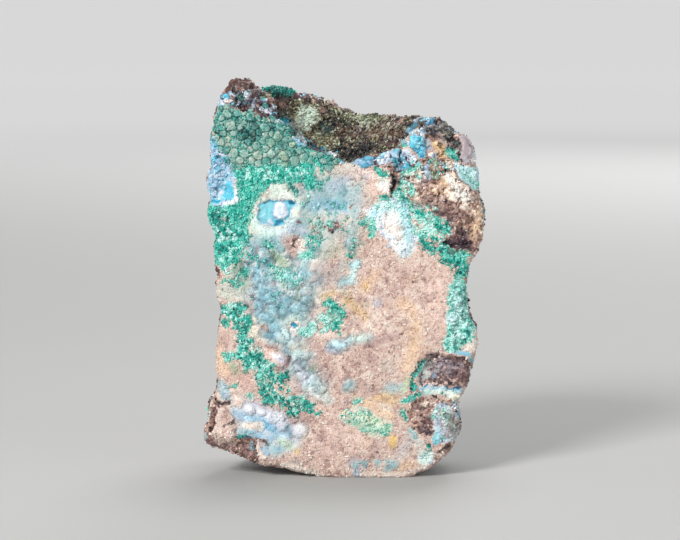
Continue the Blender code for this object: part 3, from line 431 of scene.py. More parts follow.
    # Painted shade at the bottom of the hollow, behind the plate's edge.
    ("night", 0.70, 0.7, [(0.4, 67.4, 0.6), (2.0, 67.6, 1.0), (4.0, 69.0, 0.8), (6.4, 69.6, 0.5)]),
    ("umber", 0.60, 1.0, [(16.4, 57.4, 0.7), (19.6, 58.0, 0.9), (22.6, 56.2, 1.5), (25.4, 55.0, 1.5)]),
    ("umber", 0.55, 0.8, [(18.6, 64.2, 0.7), (19.8, 62.6, 0.8), (17.4, 61.4, 0.7)]),
    ("sand", 0.60, 0.9, [(18.4, 60.0, 0.9), (20.4, 59.6, 0.9)], [(24.2, 52.8, 0.8)]),
    ("sand", 0.45, 0.9, [(28.0, 57.4, 0.8), (28.4, 54.0, 0.9), (28.0, 51.0, 0.6)]),
    ("plum", 0.65, 0.6, [(22.4, 49.6, 0.8), (24.6, 49.8, 1.1), (26.2, 48.6, 0.8)]),
    ("cream", 0.75, 0.7, [(22.4, 62.6, 0.8), (23.8, 60.6, 0.8), (25.0, 58.8, 1.2)]),
    ("white", 0.65, 0.5, [(21.4, 63.4, 0.4), (23.0, 61.4, 0.5), (24.6, 59.2, 0.8), (26.0, 58.8, 0.5)]),
    ("rose", 0.35, 0.9, [(17.0, 60.6, 0.9), (20.6, 57.0, 1.2), (24.0, 55.2, 1.2)]),
    ("blush", 0.45, 0.7, [(16.6, 62.4, 0.8), (17.6, 61.6, 0.6)]),
    ("lavender", 0.35, 0.5, [(17.2, 63.2, 0.5), (16.2, 61.4, 0.4)]),
    ("ice", 0.50, 0.6, [(12.6, 62.6, 0.8), (13.8, 61.6, 0.6)]),
    ("sand", 0.60, 0.8, [(25.8, 53.4, 1.1), (26.8, 52.0, 0.8)]),
    ("peach", 0.40, 0.6, [(18.6, 60.2, 0.8), (20.0, 59.6, 0.6)]),
    ("rose", 0.50, 0.7, [(15.6, 61.6, 0.8), (14.0, 62.8, 0.7)], [(22.0, 65.6, 0.6)]),
    ("mauve", 0.60, 0.7, [(20.4, 24.4, 1.2), (23.6, 23.4, 1.4), (25.4, 21.0, 1.0)]),
    ("lavender", 0.35, 0.5, [(21.2, 24.8, 0.5), (22.6, 23.6, 0.6), (24.6, 23.8, 0.5), (21.6, 22.4, 0.5)]),
    ("umber", 0.45, 0.7, [(25.8, 20.8, 1.0)]),
    ("rose", 0.55, 0.8, [(15.2, 14.4, 0.9), (16.6, 13.0, 1.0), (16.0, 11.6, 0.7)]),
    ("umber", 0.30, 0.7, [(17.8, 12.4, 0.8), (17.4, 10.8, 0.8)]),
    ("plum", 0.40, 0.6, [(23.2, 22.0, 1.0)], [(17.6, 10.0, 0.8)]),
    ("milk", 0.55, 0.7, [(-8.6, 77.4, 0.9), (-6.8, 77.0, 1.0), (-8.2, 75.2, 0.8), (-6.4, 75.2, 0.7)]),
    ("pearl", 0.45, 0.8, [(-9.8, 75.6, 0.7), (-8.8, 73.6, 0.8), (-10.6, 74.4, 0.5)]),
    ("moss", 0.25, 1.0, [(-7.6, 76.6, 1.2)], [(-4.6, 71.4, 0.8)], [(1.4, 76.4, 1.2), (6.6, 75.8, 1.2)]),
    ("teal", 0.30, 0.9, [(-3.6, 73.6, 1.2)], [(-9.4, 75.0, 0.6)]),
    ("umber", 0.50, 1.2, [(5.6, 72.6, 1.2), (9.4, 74.0, 1.4), (11.0, 71.6, 1.2)]),
    ("mauve", 0.30, 1.0, [(11.6, 74.8, 1.2)], [(8.6, 70.8, 0.9)]),
    ("umber", 0.50, 0.9, [(-0.6, 72.6, 0.9), (2.6, 73.0, 0.9)], [(-13.0, 79.0, 1.0)]),
    ("mist", 0.60, 1.2, [(-0.6, 40.6, 1.0), (0.6, 41.2, 0.8)]),
    ("steel", 0.28, 1.2, [(-2.0, 42.4, 0.8), (0.0, 45.0, 0.9)]),
    ("sea", 0.40, 0.8, [(8.0, 62.2, 0.7)]),
    ("umber", 0.50, 0.6, [(15.0, 57.4, 0.8), (16.0, 56.6, 0.6)]),
    ("night", 0.45, 0.5, [(20.6, 70.4, 0.7), (21.6, 70.4, 0.5)]),
    # Painted shade at the bottom of the hollow, behind the plate's edge.
    ("night", 0.55, 0.4, [(1.4, 66.7, 0.4)]),
    ("milk", 0.35, 0.8, [(-3.0, 34.4, 0.8), (-1.2, 34.0, 1.0)]),
    ("milk", 0.32, 1.0, [(-9.6, 15.6, 1.0)]),
    ("milk", 0.28, 1.0, [(-16.4, 20.6, 1.0)]),
    ("pearl", 0.45, 1.2, [(-22.4, 42.4, 1.2)]),
    ("mauve", 0.40, 0.8, [(22.8, 47.6, 0.9)]),
    ("peach", 0.60, 0.8, [(27.6, 53.0, 0.7), (27.2, 51.0, 1.0)]),
    ("ice", 0.45, 0.6, [(-10.2, 73.4, 0.7), (-9.4, 72.4, 0.5)]),
    ("pearl", 0.60, 0.8, [(18.0, 24.4, 0.9)]),
    ("blush", 0.40, 0.8, [(-6.6, 52.0, 1.0)]),
    ("lavender", 0.40, 1.0, [(4.8, 63.0, 1.0)]),
    ("mist", 0.40, 1.2, [(2.8, 60.6, 1.2)]),
]

PATCHES = [
    # Grey-green knobs of the upper left.
    ("knob", 0.40, 0.5, [(-28.4, 78.4)] + PLATE_EDGE[2:14] + [
        (-1.2, 67.0), (-0.4, 65.8), (-2.4, 64.4), (-6.0, 65.4), (-8.6, 66.2), (-12.0, 65.0), (-15.0, 65.8),
        (-20.0, 65.4), (-22.8, 64.6), (-23.6, 67.4), (-25.6, 68.6), (-27.0, 71.0), (-27.4, 75.0),
    ]),
    ("knob", 0.22, 1.0, [(-22.0, 67.4, 1.3), (-17.0, 67.0, 1.7), (-12.4, 66.6, 1.6), (-10.4, 65.0, 1.4)]),
    ("knob", 0.20, 0.8, [(-25.2, 70.2, 0.9), (-22.6, 69.8, 0.8), (-20.4, 69.4, 0.6)]),
    ("knob", 0.85, 0.8, [(-20.8, 72.2, 1.1), (-19.2, 71.0, 1.2), (-18.2, 72.4, 1.2), (-18.6, 74.0, 0.5)]),
    ("knob", 0.72, 0.5, [(-15.0, 73.9, 0.7), (-14.4, 72.9, 0.5)]),
    # Granular malachite: the band under the knobs and the left strip.
    ("malachite", 0.44, 0.55, [
        (-22.6, 64.6), (-20.0, 65.3), (-15.0, 65.5), (-12.5, 64.8), (-9.3, 65.6), (-7.2, 66.4),
        (-6.0, 65.0), (-5.8, 63.2), (-6.2, 61.0), (-7.2, 60.2), (-8.5, 61.6), (-12.0, 61.4), (-14.6, 61.2),
        (-16.6, 59.9), (-18.0, 58.3), (-18.3, 56.2), (-19.3, 54.0), (-20.2, 51.5), (-20.0, 49.8),
        (-21.3, 47.8), (-22.3, 45.4), (-25.0, 43.9), (-27.4, 46.0), (-28.0, 50.0), (-28.6, 53.5),
        (-29.6, 55.0), (-29.6, 57.0), (-26.0, 57.2), (-22.0, 57.5), (-21.9, 60.0), (-22.5, 63.0),
    ]),
    ("malachite", 0.62, 0.5, [(-10.9, 61.0, 0.5), (-10.2, 60.3, 0.5), (-9.6, 59.7, 0.4)]),
    ("malachite", 0.30, 0.6, [(-24.5, 44.4, 0.6), (-24.2, 43.0, 0.5)]),
    ("malachite", 0.30, 0.5, [(-24.7, 41.3, 0.5), (-24.1, 41.4, 0.4)]),
    ("malachite", 0.26, 0.6, [
        (-12.8, 43.2, 0.5), (-11.2, 41.8, 0.4), (-10.0, 41.5, 0.3), (-8.6, 41.6, 0.3),
    ]),
    ("malachite", 0.30, 0.6, [(-16.0, 49.0, 0.7), (-14.8, 48.6, 0.6)]),
    ("druse", 0.36, 0.4, [(-25.1, 54.0, 0.5)]),
    # Speckled cluster beside the blue haze.
    ("malachite", 0.20, 0.5, [(-8.8, 46.4, 0.6), (-7.4, 46.8, 0.9), (-6.4, 46.4, 0.4)]),
    ("druse", 0.55, 0.8, [(-11.4, 49.2, 1.0), (-9.8, 49.8, 0.9), (-10.4, 47.6, 0.9)]),
    ("druse", 0.05, 0.6, [(-8.6, 49.2, 0.9), (-8.2, 47.9, 0.6)]),
    ("matrix", 0.55, 0.3, [(-9.4, 53.5, 0.35)]),
    ("druse", 0.85, 0.4, [(-5.6, 51.2, 0.4), (-4.9, 51.1, 0.3)], [(-1.4, 53.2, 0.5), (-1.0, 52.4, 0.4)]),
    ("druse", 0.55, 0.4, [(-14.7, 40.7, 0.5)]),
    ("matrix", 0.45, 0.3, [
        (-16.9, 31.7, 0.25), (-16.2, 32.1, 0.2), (-15.7, 31.6, 0.25), (-15.8, 30.8, 0.2),
    ]),
    # Deep green net of the lower left.
    ("malachite", 0.62, 0.4, [
        (-25.0, 35.8, 0.6), (-24.4, 34.7, 0.6), (-23.2, 34.2, 0.72), (-22.2, 34.6, 0.72),
        (-21.6, 35.9, 0.84), (-20.8, 35.6, 0.72),
    ]),
    ("malachite", 0.08, 0.4, [(-23.6, 35.9, 0.72), (-22.9, 36.0, 0.72)]),
    ("malachite", 0.60, 0.4, [
        (-22.4, 33.6, 0.72), (-21.2, 33.2, 0.72), (-19.9, 33.4, 0.96), (-19.3, 32.8, 0.6),
    ]),
    ("malachite", 0.50, 0.4, [(-24.6, 32.8, 0.6), (-24.2, 32.2, 0.6)]),
    ("malachite", 0.58, 0.4, [(-22.1, 32.2, 0.48), (-21.4, 31.0, 0.48), (-20.6, 30.2, 0.6)]),
    ("malachite", 0.62, 0.4, [
        (-19.8, 32.2, 0.48), (-19.9, 30.8, 0.48), (-20.3, 29.6, 0.84), (-21.6, 29.3, 0.72),
        (-20.8, 28.4, 1.2), (-19.4, 28.8, 0.72),
    ]),
    ("malachite", 0.52, 0.4, [
        (-20.8, 27.4, 1.1), (-21.4, 26.2, 0.96), (-20.4, 25.2, 0.96), (-20.0, 23.8, 0.84),
        (-20.4, 22.8, 0.48),
    ]),
    ("malachite", 0.36, 0.5, [
        (-24.8, 26.0, 0.6), (-24.2, 25.2, 0.72), (-23.2, 25.6, 0.6), (-22.2, 25.4, 0.48),
    ]),
    ("malachite", 0.58, 0.4, [
        (-19.0, 25.4, 0.96), (-17.8, 25.4, 0.84), (-17.3, 26.2, 0.6), (-17.1, 25.0, 0.6),
        (-16.7, 24.0, 0.48),
    ]),
    ("malachite", 0.30, 0.5, [
        (-18.6, 23.6, 0.84), (-17.0, 22.6, 0.84), (-16.6, 23.4, 0.6), (-15.2, 23.4, 0.72),
    ]),
    ("malachite", 0.50, 0.4, [(-17.4, 21.4, 0.84), (-16.6, 20.8, 0.6)]),
    ("malachite", 0.64, 0.4, [
        (-15.5, 22.2, 0.72), (-15.0, 21.3, 0.96), (-14.2, 20.8, 0.84), (-13.4, 20.4, 0.72),
        (-12.8, 21.3, 0.6), (-11.9, 21.4, 0.84), (-11.8, 22.2, 0.36),
    ]),
    ("malachite", 0.56, 0.4, [
        (-17.2, 19.6, 0.72), (-16.6, 18.4, 0.84), (-15.6, 18.8, 0.6), (-15.0, 19.4, 0.6),
    ]),
    ("malachite", 0.60, 0.4, [
        (-16.2, 17.2, 0.48), (-16.0, 16.0, 0.6), (-15.0, 16.4, 0.84), (-14.4, 16.4, 0.6),
        (-14.6, 17.6, 0.6),
    ]),
    ("malachite", 0.62, 0.4,
     [(-13.4, 17.2, 0.48), (-12.8, 16.2, 0.72), (-12.3, 15.6, 0.6), (-11.6, 15.8, 0.48),
      (-10.9, 16.2, 0.84), (-10.2, 16.4, 0.6)],
     [(-9.6, 15.8, 0.6), (-9.6, 14.6, 0.84), (-10.1, 13.9, 0.72), (-11.3, 13.6, 0.6)]),
    ("malachite", 0.56, 0.4, [
        (-8.4, 16.4, 0.72), (-8.0, 15.4, 0.84), (-6.9, 15.2, 0.72), (-7.0, 14.1, 0.6),
    ]),
    ("malachite", 0.40, 0.4, [(-5.6, 13.6, 0.36), (-5.0, 13.5, 0.24)]),
    ("malachite", 0.20, 0.5, [(-19.4, 17.4, 0.6)]),
    ("malachite", 0.50, 0.4, [(-22.4, 19.5, 0.48)]),
    # Green and mint of the middle.
    ("malachite", 0.48, 0.5, [
        (-3.6, 36.9, 0.5), (-2.4, 37.1, 0.7), (-1.6, 36.2, 0.9), (-2.4, 35.2, 1.1), (-0.6, 35.4, 1.0),
        (0.2, 34.6, 0.5), (-1.0, 33.4, 0.9), (-1.4, 31.8, 0.7), (-0.6, 30.8, 0.6),
    ]),
    ("malachite", 0.10, 0.5,
     [(-4.6, 33.9, 0.6), (-3.4, 33.2, 0.9), (-2.8, 31.9, 0.8), (-4.2, 31.0, 0.5)],
     [(-8.8, 30.8, 0.6), (-7.4, 30.4, 0.9), (-6.4, 31.4, 0.9), (-6.2, 32.4, 0.5)]),
    ("druse", 0.10, 0.5, MINT_PATCH),
    ("malachite", 0.34, 0.4, [(9.0, 10.9, 0.5), (9.5, 10.3, 0.4)]),
    ("malachite", 0.20, 0.4, [(2.4, 16.0, 0.4), (3.6, 16.3, 0.4)]),
    ("matrix", 0.60, 0.35, [(4.6, 12.3, 0.3), (5.2, 12.2, 0.3)]),
    # White and pale blue druse right of the middle, with its green neighbours.
    ("chrysocolla", 0.06, 0.6, [
        (4.6, 55.9), (6.0, 57.0), (8.0, 57.8), (10.2, 58.6), (12.4, 58.4), (13.2, 56.8), (14.0, 55.4),
        (13.8, 53.2), (14.4, 51.6), (15.6, 50.0), (15.0, 48.4), (13.6, 46.4), (12.2, 45.8), (10.6, 47.8),
        (9.2, 49.8), (7.6, 51.0), (6.6, 51.6), (6.6, 53.4), (4.8, 54.8),
    ]),
    ("malachite", 0.04, 0.7, [(9.6, 57.2, 0.7), (10.8, 56.8, 0.7), (7.6, 56.2, 0.8)]),
    ("chrysocolla", 0.22, 0.7, [(12.6, 50.4, 0.8), (14.0, 50.0, 0.7), (13.0, 47.0, 0.6)]),
    ("druse", 0.02, 0.8, [(10.6, 54.2, 1.4), (9.4, 52.4, 1.2), (11.4, 51.8, 0.8)]),
    ("druse", 0.60, 0.4, [(11.9, 52.1, 0.35), (12.6, 52.2, 0.3)]),
    ("malachite", 0.22, 0.5, [(5.0, 54.2, 0.5), (6.2, 53.8, 0.7), (5.8, 52.2, 0.8), (6.0, 51.0, 0.5)]),
    ("malachite", 0.52, 0.35, [(3.6, 53.2, 0.4), (4.2, 53.2, 0.5)]),
    ("malachite", 0.50, 0.5, [(7.0, 64.5, 0.7), (8.2, 63.2, 1.0), (9.2, 63.3, 0.6), (8.4, 62.4, 0.5)]),
    ("malachite", 0.55, 0.4, [(7.5, 58.9, 0.35), (8.3, 58.8, 0.4), (9.4, 58.6, 0.35)]),
    # Pinkish-white crust corner.
    ("druse", 0.06, 0.5, [
        (7.6, 61.0, 0.9), (9.2, 60.8, 1.1), (9.5, 61.8, 0.5), (6.4, 63.0, 0.6), (4.6, 64.0, 0.5),
    ]),
    ("druse", 0.42, 0.7, [(4.8, 61.6, 0.5), (5.6, 60.0, 0.6), (6.2, 58.2, 0.6)]),
    # Broken brown matrix of the right side.
    ("matrix", 0.40, 0.5, [
        (10.1, 65.4), (10.1, 59.6), (12.0, 59.8), (13.0, 58.6), (14.6, 58.2), (16.6, 58.6), (17.6, 56.6),
        (18.6, 55.4), (20.8, 54.6), (22.6, 54.2), (23.6, 52.2), (22.2, 50.2), (20.8, 49.6), (22.4, 48.2),
        (24.2, 47.6), (25.6, 47.8), (26.6, 46.8), (28.6, 47.6), (31.0, 50.0), (31.0, 58.0), (28.8, 59.4),
        (27.0, 60.2), (25.6, 61.6), (24.0, 63.6), (23.4, 66.0), (22.0, 68.0), (18.4, 66.4), (14.6, 66.2),
        (12.4, 64.2),
    ]),
    ("matrix", 0.85, 0.5, [(21.2, 49.5, 0.4), (23.0, 49.0, 0.9), (24.8, 49.2, 1.0), (27.2, 49.4, 0.6)]),
    ("matrix", 0.74, 0.6, [(24.0, 51.4, 1.0), (25.0, 53.2, 1.2), (22.8, 54.6, 0.7), (26.0, 50.6, 0.9)]),
    ("matrix", 0.78, 0.5, [
        (18.4, 57.6, 0.5), (20.6, 58.2, 0.6), (21.4, 57.4, 0.6), (19.0, 55.4, 0.6), (20.4, 55.0, 0.5),
    ]),
    ("matrix", 0.66, 0.5,
     [(17.6, 62.2, 0.7), (18.8, 61.4, 0.7), (17.4, 60.2, 0.5)], [(22.6, 57.6, 0.8), (25.4, 56.0, 0.9)]),
    ("matrix", 0.34, 0.5, [(18.4, 60.0, 0.6), (19.6, 59.4, 0.6), (20.8, 59.6, 0.5), (21.8, 56.6, 0.6)]),
    ("matrix", 0.08, 0.5, [(24.0, 59.3, 0.9), (25.6, 58.6, 1.1), (26.8, 58.4, 0.6)]),
    ("matrix", 0.12, 0.5, [(22.0, 62.4, 0.8), (23.4, 61.0, 0.7), (25.0, 60.6, 0.7)]),
    ("matrix", 0.14, 0.5, [(16.7, 60.2, 0.45)]),
    ("matrix", 0.18, 0.6, [(28.9, 56.0, 0.5), (28.7, 53.4, 0.7), (28.4, 51.4, 0.8), (27.4, 52.2, 0.6)]),
    ("malachite", 0.16, 0.4, [(17.6, 57.6, 0.4), (17.4, 56.6, 0.45)]),
    ("malachite", 0.18, 0.4, [(19.2, 56.6, 0.5), (20.2, 56.8, 0.4)]),
    ("matrix", 0.86, 0.25, [(10.3, 64.2, 0.35), (10.6, 62.0, 0.5), (10.3, 60.4, 0.35), (10.2, 59.4, 0.25)]),
    ("malachite", 0.52, 0.45, [(12.4, 62.9, 0.5), (12.2, 61.4, 0.4), (11.6, 60.3, 0.5)]),
    ("malachite", 0.18, 0.5, [(10.8, 59.4, 0.5), (12.0, 59.2, 0.7), (13.6, 60.2, 0.7), (14.8, 59.6, 0.6)]),
    ("malachite", 0.60, 0.4, [(12.4, 58.9, 0.5), (13.2, 57.8, 0.7), (13.8, 57.2, 0.5), (14.6, 56.4, 0.6)]),
    ("malachite", 0.54, 0.4, [(15.4, 55.8, 0.5), (16.4, 55.2, 0.7), (17.2, 54.5, 0.5)]),
    ("malachite", 0.56, 0.4, [(13.4, 54.8, 0.5), (13.9, 54.2, 0.4)]),
    ("malachite", 0.04, 0.5, [
        (14.8, 55.0, 0.4), (16.6, 53.8, 0.7), (17.8, 53.0, 0.9), (18.4, 51.8, 0.8), (17.0, 52.0, 0.6),
    ]),
    ("matrix", 0.50, 0.4, [(15.3, 53.4, 0.4), (15.4, 52.6, 0.5), (14.9, 51.8, 0.3)]),
    ("malachite", 0.12, 0.5, [(14.4, 52.4, 0.4), (15.0, 51.2, 0.5), (16.8, 50.8, 0.6)]),
    ("malachite", 0.34, 0.45, [
        (18.6, 54.6, 0.4), (19.6, 53.6, 0.7), (20.2, 52.6, 0.8), (21.0, 51.4, 0.7), (21.8, 52.2, 0.8),
        (22.8, 53.0, 0.7),
    ]),
    ("malachite", 0.58, 0.4, [(19.5, 52.8, 0.4), (20.2, 52.0, 0.4), (22.3, 53.3, 0.35)]),
    ("druse", 0.10, 0.5, [(19.6, 50.6, 0.6), (20.4, 50.2, 0.5), (20.2, 49.2, 0.5)]),
    ("malachite", 0.56, 0.45, [(16.2, 50.4, 0.4), (16.6, 49.3, 0.7), (17.8, 48.7, 0.9), (18.4, 47.9, 0.6)]),
    ("malachite", 0.62, 0.35, [(18.8, 50.2, 0.5), (19.4, 49.9, 0.4)]),
    ("malachite", 0.34, 0.5, [
        (18.6, 47.4, 0.5), (20.0, 48.4, 0.7), (21.0, 47.4, 1.0), (22.6, 46.6, 1.2), (24.6, 46.8, 1.2),
        (25.6, 46.8, 0.8),
    ]),
    ("malachite", 0.62, 0.4, [(20.6, 47.4, 0.5), (21.8, 47.4, 0.4), (22.6, 46.6, 0.4)]),
    ("malachite", 0.64, 0.4, [
        (20.8, 45.6, 0.6), (21.6, 45.2, 0.5), (23.0, 45.0, 0.7), (24.4, 44.2, 0.9), (24.9, 43.1, 0.9),
        (25.4, 42.4, 0.4),
    ]),
    ("malachite", 0.40, 0.5, [(24.6, 45.8, 0.8), (25.4, 44.2, 0.7), (24.0, 42.4, 0.6), (24.2, 41.2, 0.7)]),
    # Mint and green strip down the right edge.
    ("malachite", 0.15, 0.6, [
        (22.8, 41.2), (24.2, 42.0), (25.0, 41.2), (25.8, 39.4), (26.6, 36.0), (26.9, 33.0), (28.4, 31.2),
        (27.6, 30.4), (26.4, 28.6), (24.6, 27.6), (23.6, 26.6), (22.4, 26.2), (21.0, 27.4), (20.8, 28.8),
        (21.6, 30.4), (22.0, 32.2), (21.2, 34.2), (22.2, 35.8), (22.0, 37.6), (22.4, 39.6),
    ]),
    ("malachite", 0.52, 0.45, [(24.4, 40.2, 0.6), (25.2, 38.4, 0.7), (25.0, 37.2, 0.5)]),
    ("malachite", 0.48, 0.45, [(22.9, 39.8, 0.5), (22.6, 37.2, 0.5)]),
    ("malachite", 0.56, 0.45, [(25.2, 31.2, 0.8), (26.2, 30.4, 0.6), (24.8, 29.4, 0.6), (25.0, 28.4, 0.5)]),
    ("malachite", 0.46, 0.45, [(22.6, 31.2, 0.6), (22.4, 29.6, 0.6), (22.2, 28.4, 0.7), (23.2, 27.2, 0.4)]),
    ("chrysocolla", 0.20, 0.5, [(22.0, 34.0, 0.5), (22.8, 33.6, 0.6)]),
    ("druse", 0.04, 0.5, [
        (27.8, 30.6, 0.6), (27.6, 28.8, 0.6), (27.2, 27.4, 0.7), (26.2, 27.6, 0.6), (25.4, 26.9, 0.4),
    ]),
    ("chrysocolla", 0.40, 0.4, [(23.8, 26.3, 0.4), (24.8, 26.4, 0.6), (26.0, 26.0, 0.7)]),
    ("chrysocolla", 0.58, 0.35, [(26.6, 25.0, 0.4), (27.0, 24.5, 0.3)]),
    # The two brown pockets of the lower right.
    ("matrix", 0.60, 0.4, [
        (17.6, 26.0), (19.8, 26.4), (22.0, 25.8), (24.2, 25.4), (26.2, 24.6), (27.8, 24.0), (28.0, 19.6),
        (25.2, 19.0), (22.4, 19.2), (20.4, 19.9), (18.4, 20.2), (16.4, 20.2), (16.0, 21.6), (17.4, 23.4),
    ]),
    ("matrix", 0.86, 0.5, [(18.6, 25.4, 0.5), (20.0, 25.8, 0.4), (19.0, 24.6, 0.4)]),
    ("matrix", 0.62, 0.6, [(22.6, 21.0, 1.0), (24.6, 20.2, 0.9), (25.6, 22.6, 0.8)]),
    ("matrix", 0.88, 0.5, [(22.4, 22.4, 0.5), (23.8, 21.8, 0.5), (22.0, 19.8, 0.3)]),
    ("chrysocolla", 0.16, 0.5, [(20.4, 23.6, 0.4), (21.2, 24.6, 0.4), (20.0, 22.6, 0.3)]),
    ("matrix", 0.04, 0.3, [(24.2, 21.2, 0.25), (25.4, 21.5, 0.3)]),
    ("chalcedony", 0.22, 0.4, [(17.2, 22.8, 0.6), (18.0, 21.6, 0.6), (17.0, 21.2, 0.4)]),
    ("chrysocolla", 0.80, 0.3, [(18.8, 21.8, 0.3), (19.0, 21.2, 0.3)]),
    ("chalcedony", 0.14, 0.5, [(16.8, 24.2, 0.5), (16.0, 23.0, 0.5), (15.4, 21.4, 0.4)]),
    ("malachite", 0.85, 0.25, [
        (16.9, 24.9, 0.2), (15.6, 23.9, 0.3), (14.9, 22.7, 0.25), (14.3, 21.3, 0.25), (14.2, 19.9, 0.2),
        (14.5, 18.5, 0.3),
    ]),
    ("malachite", 0.40, 0.4, [(17.2, 24.4, 0.35), (14.5, 20.4, 0.35), (14.8, 18.6, 0.4)]),
    ("chrysocolla", 0.30, 0.45, [
        (16.2, 18.8, 0.5), (19.0, 18.7, 0.6), (21.4, 18.5, 0.6), (24.6, 18.3, 0.5),
    ]),
    ("chrysocolla", 0.95, 0.22, [
        (15.9, 20.4, 0.2), (16.6, 19.6, 0.2), (17.3, 19.3, 0.22), (18.0, 20.0, 0.2), (18.5, 20.0, 0.2),
        (19.0, 19.4, 0.22), (19.8, 19.3, 0.2), (20.5, 19.8, 0.2), (21.2, 19.4, 0.2), (22.4, 18.9, 0.22),
        (24.0, 18.9, 0.22), (25.0, 19.1, 0.2),
    ]),
    ("chalcedony", 0.06, 0.5, [(17.4, 18.0, 0.7), (20.2, 17.9, 0.6), (23.6, 17.6, 0.6)]),
    ("malachite", 0.46, 0.4, [(15.0, 17.3, 0.45), (16.0, 17.6, 0.45)]),
    ("malachite", 0.56, 0.3, [(20.7, 17.7, 0.35)]),
    ("malachite", 0.28, 0.45, [(12.4, 16.1, 0.5), (13.8, 16.5, 0.5), (14.8, 16.8, 0.5)]),
    ("malachite", 0.40, 0.4, [(12.2, 14.2, 0.4), (12.8, 13.4, 0.4), (13.1, 12.3, 0.35)]),
    ("matrix", 0.38, 0.45, [
        (13.4, 14.8), (14.4, 16.2), (16.4, 17.0), (18.6, 16.6), (19.4, 14.8), (18.6, 13.2), (18.8, 11.8),
        (19.6, 10.2), (18.8, 9.0), (16.4, 9.0), (14.6, 10.0), (13.9, 12.0),
    ]),
    ("matrix", 0.42, 0.5, [(19.0, 17.2, 0.5), (20.6, 16.7, 0.7), (22.2, 16.6, 0.7)]),
    ("matrix", 0.10, 0.3, [(19.8, 16.2, 0.3), (22.9, 17.4, 0.4), (24.0, 17.2, 0.4)]),
    ("matrix", 0.10, 0.35, [(14.9, 13.8, 0.4), (15.5, 14.1, 0.4)]),
    ("matrix", 0.02, 0.3, [(17.3, 15.1, 0.3), (15.9, 15.4, 0.25)]),
    ("matrix", 0.90, 0.4, [(16.2, 10.2, 0.4), (17.6, 9.6, 0.5), (18.8, 9.4, 0.4)]),
    ("matrix", 0.60, 0.5, [(17.2, 12.2, 0.9), (18.0, 11.2, 0.7)]),
    # Lavender, white and teal corner below them.
    ("chrysocolla", 0.14, 0.5, [
        (19.2, 15.8), (21.0, 16.0), (22.6, 15.4), (24.4, 15.0), (24.8, 12.0), (24.0, 9.0), (22.8, 7.2),
        (20.4, 7.4), (19.4, 9.6), (19.0, 12.0),
    ]),
    ("matrix", 0.78, 0.45, [(22.4, 12.6, 0.4), (23.2, 13.0, 0.4), (23.4, 10.6, 0.4), (22.0, 9.4, 0.3)]),
    ("matrix", 0.34, 0.4, [(24.0, 12.0, 0.5), (24.0, 10.4, 0.4)]),
    ("malachite", 0.50, 0.4, [(21.0, 14.2, 0.4), (22.0, 13.8, 0.5), (22.4, 13.3, 0.35)]),
    ("malachite", 0.18, 0.4, [(18.8, 12.8, 0.4), (19.6, 12.6, 0.4)]),
    ("lining", 0.30, 0.4, [(20.2, 13.2, 0.4)]),
    ("chrysocolla", 0.40, 0.4, [(23.4, 15.8, 0.5)]),
    ("chrysocolla", 0.54, 0.45, [(19.0, 8.2, 0.5), (19.8, 8.8, 0.7), (20.2, 7.9, 0.6), (19.2, 7.4, 0.5)]),
    ("malachite", 0.60, 0.4, [(17.9, 6.6, 0.6), (17.5, 5.4, 0.55), (16.9, 4.6, 0.4)]),
    ("chrysocolla", 0.12, 0.5, [(18.6, 4.6, 0.6), (18.0, 3.6, 0.8), (16.4, 3.4, 0.6), (15.8, 4.2, 0.4)]),
    ("chalcedony", 0.12, 1.0, [(16.2, 7.4, 0.5), (14.8, 8.6, 0.4), (13.9, 9.6, 0.3)]),
    ("chalcedony", 0.95, 0.45, [(14.2, 10.2, 0.35), (15.0, 9.4, 0.35), (15.2, 8.6, 0.3)]),
    ("matrix", 0.46, 0.45, [(20.6, 5.0, 0.5), (21.8, 6.0, 0.7), (22.4, 6.8, 0.5), (19.4, 4.2, 0.4)]),
    ("druse", 0.10, 0.35, [(20.2, 4.6, 0.35), (20.9, 5.1, 0.3)]),
    ("matrix", 0.90, 0.25, [(19.6, 5.4, 0.2), (20.6, 6.1, 0.2), (21.6, 6.7, 0.2), (22.6, 6.6, 0.2)]),
    # Lavender and blue corner of the left edge.
    ("chrysocolla", 0.24, 0.5, [
        (-31.0, 72.0), (-27.6, 71.6), (-26.2, 69.4), (-25.0, 68.2), (-23.6, 66.6), (-23.0, 64.0),
        (-22.6, 62.0), (-22.3, 60.0), (-21.9, 57.9), (-24.0, 57.6), (-25.4, 57.2), (-27.4, 56.8),
        (-31.0, 57.4),
    ]),
    ("chrysocolla", 0.42, 0.5, [(-23.9, 67.0, 0.4), (-23.4, 65.4, 0.4), (-22.9, 63.4, 0.5)]),
    ("chrysocolla", 0.60, 0.25, CYAN_CORNER),
    ("chrysocolla", 0.72, 0.3, [(-27.2, 58.0, 0.4), (-26.2, 57.9, 0.5), (-25.4, 58.1, 0.3)]),
    ("chrysocolla", 0.70, 0.3, [(-27.8, 66.3, 0.5), (-27.0, 66.5, 0.7), (-26.6, 66.8, 0.5)]),
    ("chrysocolla", 0.82, 0.35, [(-27.2, 70.3, 0.4), (-26.4, 69.4, 0.5)]),
    ("chrysocolla", 0.62, 0.3, [(-26.5, 63.9, 0.35)]),
    ("chrysocolla", 0.86, 0.3, [(-24.7, 66.8, 0.25), (-24.5, 66.0, 0.25)]),
    ("matrix", 0.50, 0.35, [(-25.6, 65.0, 0.25), (-25.3, 64.1, 0.35), (-25.0, 63.3, 0.25)]),
    ("chrysocolla", 0.03, 0.3, [
        (-25.4, 57.5, 0.3), (-23.6, 57.5, 0.3), (-22.0, 58.0, 0.3), (-22.3, 60.0, 0.25),
    ]),
    ("matrix", 0.55, 0.4, [(-26.4, 44.2, 0.4), (-26.0, 43.2, 0.4), (-25.7, 42.2, 0.3)]),
    # Blue window with its white blob, and the small blue spot.
    ("chalcedony", 0.06, 0.80, [
        (-18.0, 57.6), (-16.8, 58.7), (-14.0, 58.8), (-11.8, 58.9), (-10.8, 58.3), (-9.3, 57.9),
